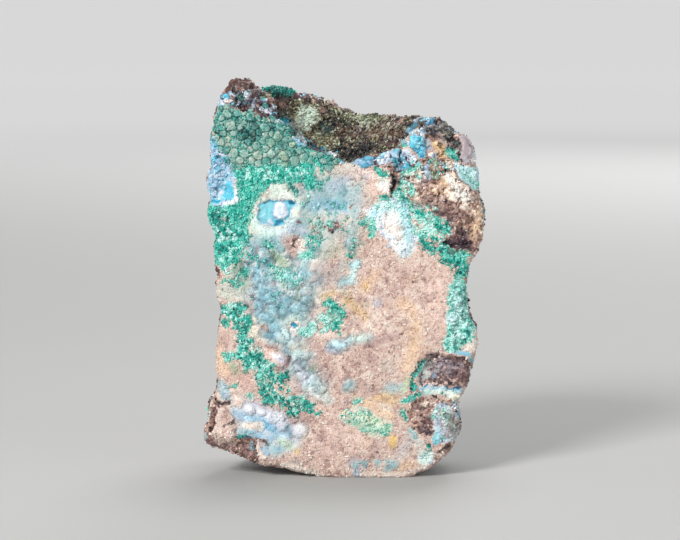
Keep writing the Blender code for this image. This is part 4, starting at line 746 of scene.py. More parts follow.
        (-9.2, 56.9), (-10.4, 56.0), (-10.7, 54.2), (-11.6, 52.8), (-12.6, 52.0), (-15.2, 52.1),
        (-16.3, 52.8), (-17.9, 53.1), (-18.2, 54.8), (-17.6, 56.0),
    ]),
    ("chrysocolla", 0.45, 0.14, WINDOW),
    ("chrysocolla", 0.40, 0.8, [(-17.2, 54.4, 0.6), (-16.6, 53.9, 0.6)]),
    ("chrysocolla", 0.84, 0.3, [(-10.9, 57.6, 0.5), (-10.2, 57.4, 0.3)]),
    ("chrysocolla", 0.80, 0.3, [
        (-11.3, 56.0, 0.25), (-11.4, 54.8, 0.3), (-12.6, 53.6, 0.4), (-13.6, 53.3, 0.6), (-14.0, 53.0, 0.3),
    ]),
    ("chrysocolla", 0.09, 0.3, [(-13.0, 56.4, 1.4), (-12.8, 55.4, 1.5)]),
    ("chrysocolla", 0.10, 0.3, [(-15.3, 53.8, 0.5), (-14.8, 53.1, 0.5)]),
    ("druse", 0.0, 0.25, [
        (-11.2, 31.9, 0.35), (-10.8, 32.5, 0.3), (-10.0, 32.7, 0.3), (-9.3, 32.3, 0.3), (-9.4, 31.5, 0.3),
        (-10.2, 31.0, 0.3), (-11.0, 31.4, 0.3),
    ]),
    ("chrysocolla", 0.76, 0.15, BLUE_SPOT),
    # Blue ledge and chunks of the upper right.
    ("chrysocolla", 0.50, 0.25, BLUE_LEDGE),
    ("chrysocolla", 0.88, 0.2, [(2.6, 65.7, 0.15), (3.6, 65.1, 0.2), (4.8, 64.7, 0.2), (5.8, 65.3, 0.15)]),
    ("chrysocolla", 0.16, 0.3, [
        (6.2, 66.0), (6.9, 67.5), (8.5, 68.4), (9.8, 68.6), (10.0, 67.0), (9.4, 66.0), (8.0, 65.5),
        (6.4, 65.5),
    ]),
    ("chrysocolla", 0.50, 0.25, BLUE_STEP),
    ("chrysocolla", 0.14, 0.35, [
        (12.2, 68.6), (13.4, 68.8), (14.4, 67.8), (15.0, 66.4), (14.2, 65.0), (13.0, 64.2), (11.2, 64.2),
        (11.0, 65.2), (12.0, 66.4),
    ]),
    ("chrysocolla", 0.66, 0.35, [(12.7, 65.0, 0.5), (13.3, 65.4, 0.6)]),
    ("chrysocolla", 0.16, 0.35, [(12.6, 71.0, 0.5), (13.2, 69.8, 0.6)]),
    ("chrysocolla", 0.50, 0.3, CYAN_CHUNK),
    ("chrysocolla", 0.66, 0.4, [(15.0, 69.9, 0.7), (15.4, 69.0, 0.6)]),
    ("chrysocolla", 0.74, 0.35, [(16.6, 67.3, 0.5), (15.8, 67.5, 0.4)]),
    ("malachite", 0.40, 0.35, [(12.8, 70.2, 0.45), (12.9, 69.5, 0.4)]),
    ("chalcedony", 0.55, 0.35, [(17.5, 70.2, 0.5), (17.9, 69.2, 0.6)]),
    ("matrix", 0.20, 0.4, [
        (18.6, 70.7, 0.5), (19.6, 69.8, 0.7), (20.6, 69.0, 0.7), (19.4, 68.0, 0.6), (18.0, 67.6, 0.5),
    ]),
    ("matrix", 0.02, 0.3, [(19.8, 69.8, 0.4)]),
    ("matrix", 0.75, 0.3, [(19.0, 67.6, 0.25), (18.8, 66.6, 0.25), (20.6, 66.4, 0.3), (19.8, 64.6, 0.3)]),
    ("matrix", 0.02, 0.4, [(21.6, 65.8, 0.6), (22.2, 65.2, 0.6)]),
    ("matrix", 0.16, 0.4, [(22.6, 63.4, 0.9), (20.8, 63.2, 0.5)]),
    ("malachite", 0.12, 0.45, [(15.4, 65.4, 0.5), (16.2, 64.6, 0.6)]),
    ("chrysocolla", 0.26, 0.45, [(17.6, 64.4, 0.8), (17.2, 63.2, 0.6)]),
    ("druse", 0.10, 0.45, [(15.6, 63.2, 0.6), (14.4, 63.0, 0.4)]),
    ("matrix", 0.32, 0.4, [(18.8, 63.4, 0.5), (19.0, 62.4, 0.4)]),
    ("chrysocolla", 0.42, 0.35, [(14.0, 73.4, 0.5), (14.6, 73.2, 0.4)]),
    ("chrysocolla", 0.22, 0.4, [
        (14.8, 72.4, 0.5), (16.4, 72.3, 0.5), (18.0, 72.6, 0.5), (19.8, 72.6, 0.4),
    ]),
    ("chrysocolla", 0.24, 0.4, [(15.8, 74.6, 0.5), (17.2, 75.2, 0.5), (19.4, 74.8, 0.5)]),
    ("chrysocolla", 0.88, 0.25, [(17.4, 73.9, 0.35), (18.2, 74.1, 0.5), (18.9, 74.2, 0.35)]),
    ("matrix", 0.90, 0.5, [(17.2, 71.5, 0.3), (18.8, 71.4, 0.45), (20.2, 71.2, 0.3)]),
    ("lining", 0.70, 0.5, [(20.4, 74.2, 0.6), (21.6, 74.3, 0.7), (22.6, 73.6, 0.6), (21.0, 73.2, 0.6)]),
    ("matrix", 0.05, 0.25, [(21.4, 72.0, 0.35)]),
    ("matrix", 0.50, 0.35, [(22.7, 72.8, 0.4), (23.2, 72.0, 0.4)]),
    ("matrix", 0.86, 0.6, [(21.4, 71.0, 0.4), (22.4, 70.2, 0.8), (23.0, 69.2, 0.8), (22.0, 69.0, 0.6)]),
    ("malachite", 0.72, 0.35, [
        (21.5, 68.6, 0.5), (22.4, 67.9, 0.6), (23.2, 66.9, 0.5), (23.5, 66.2, 0.35),
    ]),
    ("malachite", 0.20, 0.4, [(21.4, 67.6, 0.5), (24.0, 67.4, 0.5), (24.2, 68.4, 0.4)]),
    ("malachite", 0.66, 0.3, [(23.5, 69.8, 0.35), (23.9, 69.0, 0.3)]),
    ("matrix", 0.92, 0.12, [(9.8, 68.8, 0.15), (8.4, 68.5, 0.12), (6.8, 67.9, 0.12), (6.2, 67.3, 0.12)]),
    ("matrix", 0.88, 0.12, [(6.2, 66.6, 0.10), (6.4, 65.4, 0.15), (8.0, 65.2, 0.12), (9.8, 65.0, 0.15)]),
    ("chrysocolla", 0.96, 0.12, [
        (11.8, 68.4, 0.30), (11.7, 67.0, 0.22), (11.2, 65.4, 0.22), (10.6, 64.8, 0.2),
    ]),
    ("matrix", 0.90, 0.12, [
        (11.4, 64.0, 0.15), (13.0, 63.9, 0.15), (14.4, 64.6, 0.15), (15.0, 65.8, 0.12),
    ]),
    ("matrix", 0.92, 0.12, [(13.2, 72.0, 0.2), (14.6, 72.0, 0.18), (16.2, 71.8, 0.15)]),
    # Pale lavender crystal face of the right edge and the turquoise band under it.
    ("druse", 0.56, 0.22, CRYSTAL_FACE),
    ("chrysocolla", 0.02, 0.22, [
        (26.7, 71.4, 0.35), (27.2, 70.0, 0.4), (27.2, 68.0, 0.45), (27.0, 66.0, 0.4),
    ]),
    ("matrix", 0.90, 0.2, [(24.2, 71.4, 0.25), (24.1, 69.4, 0.3), (24.2, 67.0, 0.3), (24.6, 65.2, 0.25)]),
    ("matrix", 0.70, 0.2, [(26.1, 70.6, 0.10), (26.2, 68.4, 0.12), (26.1, 66.2, 0.10)]),
    ("chrysocolla", 0.10, 0.3, [(25.4, 72.4, 0.5), (26.6, 72.2, 0.5), (24.2, 73.0, 0.4)]),
    ("chrysocolla", 0.34, 0.35, TURQUOISE_BAND),
    ("chrysocolla", 0.06, 0.5, [(26.6, 63.2, 0.7), (27.2, 61.8, 0.5)]),
    ("malachite", 0.40, 0.3, [(26.3, 64.3, 0.4)]),
    ("malachite", 0.30, 0.4, [(25.6, 63.4, 0.4), (27.2, 61.6, 0.45), (27.4, 60.8, 0.4)]),
    # Breccia between the knobs and the top left corner.
    ("matrix", 0.66, 0.4, [
        (-26.2, 78.6), (-25.4, 80.4), (-24.0, 81.2), (-21.6, 81.2), (-19.0, 81.6), (-17.2, 79.8),
        (-15.6, 78.8), (-13.8, 77.4), (-12.0, 75.8), (-11.0, 74.6), (-13.7, 74.9), (-17.0, 75.8),
        (-19.1, 77.6), (-20.2, 77.0), (-23.1, 77.5), (-25.4, 78.0),
    ]),
    ("chrysocolla", 0.10, 0.25, [(-26.0, 78.8, 0.5), (-25.4, 78.2, 0.5), (-24.8, 77.8, 0.4)]),
    ("druse", 0.14, 0.25, [(-24.2, 78.9, 0.6), (-23.4, 78.7, 0.5)]),
    ("chrysocolla", 0.62, 0.2, [(-24.7, 79.8, 0.35), (-24.0, 79.7, 0.45), (-23.6, 79.4, 0.35)]),
    ("chrysocolla", 0.95, 0.2, [(-22.9, 81.1, 0.25), (-22.6, 80.7, 0.35)]),
    ("chrysocolla", 0.06, 0.2, [
        (-22.6, 80.0, 0.3), (-21.9, 80.3, 0.3), (-20.8, 80.8, 0.3), (-19.6, 81.0, 0.3), (-18.8, 81.0, 0.3),
    ]),
    ("malachite", 0.58, 0.25, [(-20.6, 79.8, 0.4), (-20.0, 79.6, 0.4), (-20.4, 80.5, 0.3)]),
    ("matrix", 0.94, 0.2, [
        (-22.4, 79.4, 0.3), (-21.4, 79.0, 0.3), (-21.0, 77.9, 0.5), (-20.4, 77.2, 0.35),
    ]),
    ("matrix", 0.60, 0.3, [
        (-20.2, 78.7, 0.5), (-18.6, 78.6, 0.7), (-17.0, 77.6, 0.8), (-15.6, 76.6, 0.7), (-14.4, 76.0, 0.5),
    ]),
    ("chrysocolla", 0.12, 0.2, [
        (-16.6, 78.7, 0.25), (-15.4, 78.2, 0.3), (-14.4, 77.4, 0.3), (-13.6, 76.9, 0.2),
    ]),
    ("chrysocolla", 0.30, 0.25, [(-16.2, 78.1, 0.25), (-14.8, 76.3, 0.3), (-13.9, 75.9, 0.3)]),
    ("matrix", 0.98, 0.2, [(-13.5, 76.5, 0.3), (-12.8, 76.2, 0.45), (-12.3, 76.0, 0.3)]),
    ("chrysocolla", 0.70, 0.2, [(-13.2, 75.1, 0.35), (-12.4, 75.1, 0.5), (-11.8, 75.2, 0.35)]),
    ("chrysocolla", 0.10, 0.2, [
        (-13.6, 74.7, 0.2), (-12.0, 74.4, 0.25), (-10.9, 74.4, 0.25), (-10.3, 73.8, 0.2),
    ]),
    # Brown knob of the top left corner.
    ("matrix", 0.62, 0.5, [
        (-24.4, 81.4, 0.9), (-22.8, 82.8, 1.3), (-20.4, 82.6, 1.2), (-18.6, 81.9, 0.8), (-17.2, 81.0, 0.7),
    ]),
    ("matrix", 0.18, 0.4, [(-25.0, 80.8, 0.4), (-24.6, 82.0, 0.4)]),
    # Lining of the hollow.
    ("lining", 0.55, 0.5, [
        (-17.6, 80.2), (-15.6, 80.6), (-10.0, 80.6), (-4.0, 79.6), (-1.0, 79.4), (3.0, 78.4), (11.5, 78.2),
        (15.5, 77.4), (15.0, 75.4), (13.4, 74.0), (13.2, 72.4), (12.2, 71.0), (11.8, 69.6), (10.2, 69.2),
        (8.0, 68.7), (5.5, 68.2), (3.5, 67.4), (2.3, 66.2), (0.3, 66.2), (-1.6, 67.7), (-3.0, 68.9),
        (-7.2, 70.2), (-8.4, 71.0), (-10.0, 73.6), (-11.0, 75.2), (-12.6, 76.4), (-14.4, 78.0),
        (-16.4, 79.2),
    ]),
    ("lining", 0.00, 0.6, [
        (-9.8, 78.4), (-7.4, 78.8), (-6.0, 78.4), (-5.0, 77.0), (-5.1, 75.6), (-6.4, 74.6), (-7.4, 73.0),
        (-9.0, 73.0), (-10.0, 74.2), (-10.2, 76.0), (-9.6, 77.4),
    ]),
    ("lining", 0.90, 0.6, [(-4.4, 73.6, 0.9), (-3.0, 74.4, 1.0), (-2.0, 73.8, 0.7)]),
    ("lining", 0.28, 0.8, [(-7.2, 71.8, 0.5), (-5.0, 71.4, 0.6), (-3.0, 71.8, 0.7), (-1.4, 71.0, 0.6)]),
    ("lining", 0.36, 0.8, [(-1.0, 76.6, 0.9), (2.0, 76.0, 0.8), (7.4, 76.4, 0.8), (5.0, 75.6, 0.6)]),
    ("lining", 0.16, 0.7, [(1.8, 74.8, 0.6), (5.2, 74.4, 0.6)], [(-0.6, 74.6, 0.5)]),
    ("lining", 0.42, 1.0, [(9.5, 73.6, 1.4), (11.6, 73.8, 1.0)], [(6.0, 72.4, 1.2)]),
    ("matrix", 0.56, 0.8, [(9.6, 76.6, 0.8), (12.0, 76.4, 0.9), (13.4, 75.6, 0.6)]),
    ("matrix", 0.52, 0.8, [(-15.6, 78.6, 0.8), (-13.8, 79.2, 1.0), (-12.4, 78.0, 0.8)]),
    ("matrix", 0.74, 0.7, [(9.2, 70.4, 0.8), (10.8, 71.0, 0.9), (11.6, 70.2, 0.6)]),
    ("matrix", 0.50, 0.7, [(-5.0, 78.6, 0.5), (-3.8, 77.4, 0.6), (-5.2, 76.6, 0.3)]),
    # Near-black painted shade at the bottom of the hollow, behind the plate's edge.
    ("lining", 1.00, 0.7,
     [(-1.2, 69.4, 0.6), (1.4, 68.6, 1.3), (3.8, 69.0, 1.0), (6.0, 69.6, 0.6)], [(1.8, 66.9, 0.6)]),
    # Rim over the hollow: green at the left, then brown and tan.
    ("matrix", 0.62, 0.4, [(-16.6, 81.2, 0.9), (-10.0, 81.0, 0.8), (-4.6, 80.0, 0.8)]),
    # Painted shadow of the rim's overhang: a dark brown band under it.
    ("matrix", 0.86, 0.4, [(-15.0, 80.2, 0.35), (-9.6, 80.0, 0.35), (-5.0, 79.4, 0.3)]),
    ("malachite", 0.74, 0.3, [
        (-15.8, 81.5, 0.45), (-14.2, 81.6, 0.7), (-12.4, 81.4, 0.75), (-11.2, 81.1, 0.55),
    ]),
    # Painted highlight along the top of the green rim.
    ("malachite", 0.66, 0.3, [(-13.6, 82.1, 0.35), (-12.6, 82.0, 0.3)]),
    ("matrix", 0.12, 0.3, [(-15.2, 82.2, 0.3), (-14.6, 82.1, 0.25)]),
    ("chrysocolla", 0.36, 0.3, [(-8.4, 80.9, 0.3)]),
    ("matrix", 0.92, 0.3, [(-7.4, 80.8, 0.35), (-6.4, 80.4, 0.4)]),
    ("matrix", 0.24, 0.5, [(-3.0, 79.6, 0.5), (-0.6, 78.6, 0.6)]),
    # White and blue edge of the plate in front of the hollow.
    ("chrysocolla", 0.06, 0.2, [(-9.8, 72.3, 0.25), (-9.0, 71.4, 0.45), (-8.1, 70.5, 0.35)]),
    ("matrix", 0.97, 0.2, [(-10.4, 73.4, 0.2), (-10.2, 72.4, 0.25), (-10.0, 71.7, 0.2)]),
    ("chrysocolla", 0.30, 0.2, [(-10.2, 71.2, 0.25), (-9.2, 70.2, 0.25), (-8.0, 69.7, 0.2)]),
    ("chrysocolla", 0.90, 0.2, [(-6.8, 69.9, 0.25), (-5.6, 69.6, 0.25), (-4.8, 69.4, 0.2)]),
    ("chrysocolla", 0.60, 0.2, [(-4.2, 69.2, 0.4)]),
    ("chrysocolla", 0.04, 0.2, [(-2.8, 68.8, 0.2), (-1.6, 68.2, 0.25), (-0.8, 67.7, 0.2)]),
    ("chrysocolla", 0.66, 0.25, [(-0.9, 66.8, 0.3), (-0.3, 66.4, 0.35), (0.2, 65.9, 0.2)]),
    # Lower left corner: pink flap, dark gap, brown matrix and the cream shell.
    ("matrix", 0.50, 0.4, [
        (-31.5, 6.0), (-30.4, 9.6), (-28.8, 13.6), (-28.4, 17.0), (-26.8, 17.0), (-26.2, 15.0),
        (-26.5, 12.0), (-28.2, 9.2), (-25.0, 7.2), (-23.2, 7.8), (-20.4, 8.5), (-18.8, 8.4), (-18.4, 6.0),
        (-17.4, 4.4), (-18.4, 2.6),
    ]),
    ("matrix", 0.24, 0.4, [(-27.4, 18.6, 0.5), (-27.6, 16.4, 0.5), (-27.9, 14.6, 0.4)]),
    ("matrix", 0.74, 0.4, [(-26.6, 16.0, 0.4), (-25.2, 15.8, 0.4), (-24.0, 15.9, 0.35)]),
    ("chalcedony", 0.20, 0.35, [(-29.4, 8.8, 0.5), (-29.0, 8.2, 0.4)]),
    ("matrix", 0.66, 0.4, [(-28.4, 7.4, 0.5), (-27.0, 7.0, 0.5)]),
    ("druse", 0.22, 0.2, FLAP),
    ("druse", 0.55, 0.5, [(-25.0, 13.0, 0.5), (-24.4, 14.2, 0.4), (-24.4, 12.0, 0.4)]),
    ("lining", 0.62, 0.25, [(-25.0, 11.0, 0.2), (-24.2, 11.3, 0.3), (-23.2, 11.5, 0.3)]),
    ("matrix", 1.00, 0.2, [
        (-28.4, 9.4, 0.15), (-27.4, 10.2, 0.3), (-27.1, 11.4, 0.4), (-26.9, 12.2, 0.25),
    ]),
    ("matrix", 0.40, 0.5, [(-22.6, 6.6, 0.6), (-20.6, 6.6, 0.9), (-22.0, 5.4, 0.5)]),
    ("chalcedony", 0.60, 0.4, [(-19.4, 7.0, 0.4), (-19.1, 6.2, 0.35)]),
    ("chrysocolla", 0.90, 0.2, [(-22.4, 8.3, 0.2), (-21.0, 8.6, 0.25), (-19.4, 8.5, 0.2)]),
    ("malachite", 0.55, 0.2, [(-21.8, 8.7, 0.2), (-20.4, 8.9, 0.2)]),
    # Painted shadow beside the cream shell, in dark mauve-brown.
    ("matrix", 0.78, 0.3, [(-18.0, 8.1, 0.3), (-16.8, 7.9, 0.4), (-15.9, 7.2, 0.35)]),
    ("chrysocolla", 0.26, 0.6, [(-16.6, 6.2, 0.5), (-16.0, 5.4, 0.5)]),
    ("druse", 0.06, 0.25, [(-17.8, 7.2, 0.35), (-17.9, 6.0, 0.3), (-17.3, 4.8, 0.35), (-16.3, 4.1, 0.35)]),
    ("matrix", 0.96, 0.18, [(-18.3, 7.0, 0.12), (-18.4, 5.8, 0.15), (-17.8, 4.6, 0.12)]),
    ("druse", 0.08, 0.5, [(-13.0, 2.7, 0.5), (-10.0, 1.8, 0.5), (-7.4, 1.3, 0.8), (-4.4, 0.5, 0.5)]),
    ("druse", 0.12, 0.5, [
        (4.0, 0.2, 0.4), (8.6, 0.3, 0.6), (12.6, 0.8, 0.5), (15.4, 1.8, 0.5), (17.8, 2.9, 0.4),
    ]),
]

# Scattered spots of one mineral in another: mineral, tone, share covered, spot size, and shapes.
SPECKLES = [
    ("malachite", 0.42, 0.42, 0.9, [
        (-7.0, 66.0, 1.0), (-4.6, 65.6, 1.6), (-4.4, 63.2, 1.4), (-6.0, 60.4, 1.0),
    ]),
    ("malachite", 0.40, 0.40, 1.0, [
        (-20.6, 52.0, 1.0), (-19.4, 48.0, 1.4), (-21.0, 44.4, 1.8), (-22.2, 41.6, 1.6),
    ]),
    ("malachite", 0.36, 0.30, 0.8, [(-18.0, 58.6, 1.0), (-18.8, 54.4, 0.9)]),
    ("druse", 0.30, 0.22, 0.9, [(-25.4, 55.0, 1.4), (-24.0, 50.0, 1.8), (-24.2, 46.4, 1.2)]),
    ("malachite", 0.06, 0.35, 0.9,
     [(-25.6, 55.4, 1.6), (-23.4, 50.0, 2.6), (-24.2, 46.0, 1.6)],
     [(-20.0, 63.4, 1.4), (-14.0, 63.6, 1.6), (-8.6, 64.0, 1.6)]),
    ("malachite", 0.70, 0.24, 0.8,
     [(-20.0, 63.4, 1.6), (-14.0, 63.6, 1.8), (-8.6, 64.0, 1.8)],
     [(-25.6, 55.0, 1.8), (-23.4, 50.0, 3.0), (-24.2, 46.0, 1.8)]),
    ("malachite", 0.46, 0.36, 0.5, [
        (-5.4, 53.4, 1.4), (-4.0, 52.4, 1.2), (-6.2, 50.4, 1.3), (-6.0, 48.4, 1.0),
    ]),
    ("malachite", 0.20, 0.30, 0.5, [(-5.4, 53.4, 1.8), (-3.4, 52.0, 1.8), (-6.4, 49.4, 1.8)]),
    ("malachite", 0.34, 0.20, 0.5, [
        (-19.6, 46.6, 1.6), (-16.8, 43.6, 1.8), (-13.6, 42.4, 1.8), (-10.0, 42.4, 1.6),
    ]),
    ("malachite", 0.34, 0.10, 0.5,
     [(-17.6, 37.8, 1.6), (-13.0, 37.6, 1.6), (-9.4, 40.4, 1.4)], [(-19.6, 50.4, 1.6)]),
    ("malachite", 0.24, 0.20, 0.6, [(-9.0, 59.8, 1.2), (-7.0, 57.4, 1.4), (-5.6, 54.8, 1.4)]),
    ("malachite", 0.30, 0.16, 0.5, [(-2.0, 57.0, 1.6), (1.0, 52.0, 1.6), (1.6, 47.4, 1.2)]),
    ("chalcedony", 0.04, 0.30, 0.9, [
        (-18.4, 46.0, 1.8), (-17.4, 40.4, 2.0), (-14.4, 36.4, 2.4), (-10.0, 38.4, 2.0), (-9.4, 44.0, 1.6),
    ]),
    ("chalcedony", 0.62, 0.20, 0.7, [
        (-18.0, 42.0, 1.8), (-15.4, 36.4, 2.2), (-11.0, 36.4, 1.8), (-8.4, 39.4, 1.4),
    ]),
    ("matrix", 0.70, 0.22, 0.6, [(-5.4, 53.4, 1.4), (-3.2, 52.0, 1.6), (-1.2, 52.6, 0.8)]),
    ("matrix", 0.72, 0.24, 0.6, [(-11.0, 49.6, 1.0), (-9.4, 49.0, 1.0), (-10.0, 47.4, 0.8)]),
    ("malachite", 0.04, 0.30, 0.5, [
        (-22.6, 34.6, 1.6), (-20.4, 28.0, 1.8), (-17.6, 24.0, 2.2), (-15.0, 19.6, 2.2), (-9.6, 15.0, 1.8),
    ]),
    ("malachite", 0.86, 0.15, 0.6, [
        (-22.6, 34.6, 1.2), (-20.4, 28.0, 1.2), (-15.4, 21.4, 1.4), (-9.6, 15.0, 1.2),
    ]),
    ("malachite", 0.14, 0.34, 0.7, [(-13.4, 42.8, 1.4), (-11.0, 41.6, 1.2), (-8.6, 41.4, 0.9)]),
    ("malachite", 0.14, 0.46, 0.8, MINT_PATCH),
    ("druse", 0.24, 0.24, 0.6, [(1.2, 13.2, 0.9), (3.6, 12.2, 1.4), (6.6, 10.8, 1.8), (8.6, 10.4, 1.0)]),
    ("malachite", 0.66, 0.20, 0.6, [
        (1.2, 13.2, 0.8), (3.6, 12.2, 1.2), (6.6, 10.8, 1.6), (8.6, 10.4, 0.9),
    ]),
    ("malachite", 0.06, 0.42, 1.0, [
        (24.2, 39.6, 1.4), (24.4, 35.0, 2.0), (24.6, 31.0, 2.4), (23.6, 28.4, 1.6),
    ]),
    ("malachite", 0.82, 0.32, 0.6, [
        (24.2, 39.6, 1.4), (24.4, 35.0, 2.0), (24.6, 31.0, 2.4), (23.6, 28.4, 1.6),
    ]),
    ("malachite", 0.82, 0.26, 0.7, [
        (16.6, 49.2, 1.0), (20.4, 47.6, 1.4), (24.0, 45.8, 1.8), (24.6, 42.6, 1.2),
    ]),
    ("malachite", 0.06, 0.35, 0.8, [
        (13.0, 57.4, 1.4), (16.6, 55.2, 1.0), (20.6, 52.6, 1.4), (20.6, 47.8, 1.2),
    ]),
    ("druse", 0.02, 0.35, 1.0, [(8.0, 55.6, 1.6), (11.8, 55.8, 2.0), (12.0, 49.6, 1.6)]),
    ("malachite", 0.12, 0.34, 0.9, [
        (6.4, 55.4, 1.4), (9.4, 57.4, 1.2), (12.6, 57.0, 1.0), (14.2, 53.0, 1.0),
    ]),
    ("chrysocolla", 0.42, 0.24, 0.8, [
        (7.4, 54.6, 1.4), (12.4, 56.8, 1.2), (14.0, 50.6, 1.2), (12.6, 47.8, 0.9),
    ]),
    ("druse", 0.72, 0.22, 0.6, [(9.6, 54.6, 1.6), (12.6, 52.6, 1.0), (10.8, 49.4, 1.0)]),
    ("matrix", 0.04, 0.30, 1.3, [
        (15.0, 62.0, 2.2), (20.6, 62.0, 3.0), (25.0, 58.6, 2.6), (20.0, 66.6, 1.6),
    ]),
    ("matrix", 0.86, 0.30, 1.1, [
        (14.6, 62.4, 2.2), (20.0, 62.0, 3.2), (24.6, 55.0, 3.6), (20.0, 66.4, 1.8),
    ]),
    ("matrix", 0.22, 0.34, 1.2, [(18.0, 58.4, 1.6), (22.0, 59.0, 2.6), (26.6, 54.0, 2.2)]),
    ("druse", 0.02, 0.40, 0.7, [(21.8, 63.0, 0.9), (23.8, 60.8, 1.1), (26.0, 58.6, 1.2)]),
    ("druse", 0.04, 0.34, 0.6, [(28.6, 57.4, 0.7), (28.6, 54.0, 0.8), (28.0, 51.0, 0.6)]),
    ("chrysocolla", 0.10, 0.22, 0.9, [
        (13.4, 62.0, 1.6), (15.6, 64.8, 1.4), (18.4, 65.8, 1.4), (22.4, 65.4, 1.2),
    ]),
    ("malachite", 0.16, 0.30, 0.9, [(12.4, 61.8, 1.4), (15.4, 64.8, 1.4), (14.8, 60.4, 1.0)]),
    ("druse", 0.20, 0.24, 0.9, [(13.6, 61.4, 1.6), (16.2, 63.4, 1.6)]),
    ("matrix", 0.94, 0.34, 0.8, [
        (14.0, 73.6, 1.2), (18.4, 72.6, 1.8), (22.0, 73.0, 1.6), (22.6, 70.0, 1.2),
    ]),
    ("chrysocolla", 0.14, 0.24, 0.8, [(15.0, 73.4, 1.2), (19.0, 73.6, 1.6), (22.0, 72.4, 1.2)]),
    ("matrix", 0.90, 0.25, 0.7, [(19.4, 69.4, 1.6), (20.6, 66.8, 1.6)]),
    ("chrysocolla", 0.08, 0.30, 0.8, [(12.6, 67.8, 0.9), (13.2, 65.4, 1.2), (11.6, 64.8, 0.6)]),
    ("chrysocolla", 0.60, 0.25, 0.7, [(12.4, 66.6, 1.0), (13.4, 65.2, 1.0)]),
    ("matrix", 0.95, 0.40, 0.8, [
        (-25.0, 79.6, 0.8), (-22.4, 80.0, 1.4), (-20.0, 78.4, 1.4), (-16.6, 77.2, 1.2),
    ]),
    ("chrysocolla", 0.08, 0.24, 0.7, [
        (-25.2, 79.0, 0.9), (-22.4, 79.6, 1.0), (-18.6, 79.6, 0.9), (-15.0, 77.4, 0.9),
    ]),
    ("chrysocolla", 0.56, 0.14, 0.6, [(-24.6, 79.6, 0.8), (-21.8, 80.0, 0.8), (-15.4, 77.4, 0.8)]),
    ("malachite", 0.50, 0.20, 0.7, [(-22.0, 80.4, 1.0), (-19.6, 80.0, 1.0)]),
    ("matrix", 0.84, 0.40, 0.9, [(-24.0, 81.6, 0.9), (-21.4, 82.6, 1.3), (-18.6, 81.8, 1.0)]),
    ("matrix", 0.30, 0.22, 0.6, [(-24.8, 81.2, 0.8), (-22.4, 82.0, 1.2), (-19.0, 81.4, 1.0)]),
    ("matrix", 0.94, 0.34, 0.9, [
        (-9.4, 80.6, 0.8), (-5.6, 80.0, 0.9), (-2.4, 79.2, 0.8), (2.0, 78.4, 0.8),
    ]),
    ("matrix", 0.16, 0.30, 0.9, [
        (-9.4, 80.8, 0.8), (-2.4, 79.4, 0.8), (4.0, 78.0, 0.8), (12.0, 77.2, 0.8),
    ]),
    ("matrix", 0.94, 0.30, 0.7, [(22.0, 21.8, 2.2), (25.2, 21.8, 2.0), (19.4, 24.2, 1.4)]),
    ("chrysocolla", 0.12, 0.24, 0.6, [(20.0, 24.2, 1.4), (22.4, 23.4, 1.6), (25.0, 22.6, 1.2)]),
    ("druse", 0.36, 0.24, 0.8, [(22.6, 20.6, 1.4)], [(18.6, 22.6, 1.2)], [(25.4, 20.2, 1.0)]),
    ("matrix", 0.86, 0.26, 0.8, [(15.8, 15.0, 1.2), (17.4, 12.6, 1.6), (16.4, 10.6, 1.2)]),
    ("druse", 0.24, 0.26, 0.9, [(15.4, 13.2, 1.2), (17.4, 14.6, 1.2), (20.8, 16.8, 1.2)]),
    ("malachite", 0.14, 0.30, 0.8, [(20.4, 13.4, 1.4), (21.8, 10.8, 1.4), (20.2, 8.8, 1.0)]),
    ("matrix", 0.64, 0.34, 0.8, [(22.2, 14.4, 1.4), (23.2, 11.2, 1.6), (21.8, 8.2, 1.2)]),
    ("druse", 0.60, 0.24, 0.8, [(20.6, 12.2, 1.2), (21.8, 9.8, 1.4)]),
    ("chrysocolla", 0.60, 0.20, 0.7, [(-26.6, 66.4, 1.4), (-26.2, 62.0, 1.6), (-25.4, 59.0, 1.2)]),
    ("chrysocolla", 0.08, 0.30, 0.7, [(-26.6, 66.4, 1.4), (-26.2, 62.0, 1.6), (-26.0, 59.6, 1.2)]),
    ("chrysocolla", 0.90, 0.26, 0.5, [(-26.2, 67.4, 1.0), (-25.6, 63.6, 1.2), (-26.2, 60.6, 1.2)]),
    ("matrix", 0.12, 0.34, 1.0, [(-29.0, 9.4, 1.0), (-22.8, 6.4, 1.4), (-20.0, 6.2, 1.0)]),
    ("chalcedony", 0.30, 0.36, 1.2, [(2.8, 2.4, 1.2), (10.4, 2.6, 1.2)]),
    ("lining", 0.85, 0.26, 0.8, [(-8.6, 77.4, 1.2), (-6.6, 76.0, 1.4), (-8.4, 74.2, 1.0)]),
    ("lining", 0.00, 0.30, 0.7, [(-8.6, 77.4, 1.2), (-6.6, 76.0, 1.4), (-8.4, 74.2, 1.0)]),
    ("druse", 0.86, 0.16, 0.5, [(3.4, 61.6, 1.6), (4.6, 58.4, 1.4), (2.0, 56.4, 1.2)]),
]

# What the fragments of a mosaic are: from, to (the share of fragments), mineral and tone.
BRECCIA = [
    (0.00, 0.22, "matrix", 0.88), (0.22, 0.34, "matrix", 0.68), (0.34, 0.50, "chrysocolla", 0.10),
    (0.50, 0.56, "chrysocolla", 0.56), (0.56, 0.62, "malachite", 0.60), (0.62, 0.70, "matrix", 0.44),
]
CRUSHED_ROCK = [
    (0.00, 0.26, "matrix", 0.92), (0.26, 0.44, "lining", 0.66), (0.44, 0.52, "chalcedony", 0.95),
    (0.52, 0.58, "matrix", 0.10), (0.58, 0.66, "chrysocolla", 0.24), (0.66, 0.72, "chrysocolla", 0.84),
]
TAN_ROCK = [
    (0.00, 0.12, "matrix", 0.72), (0.12, 0.26, "matrix", 0.36), (0.26, 0.38, "matrix", 0.14),
    (0.38, 0.50, "matrix", 0.24), (0.54, 0.62, "malachite", 0.20), (0.62, 0.68, "chrysocolla", 0.20),
]
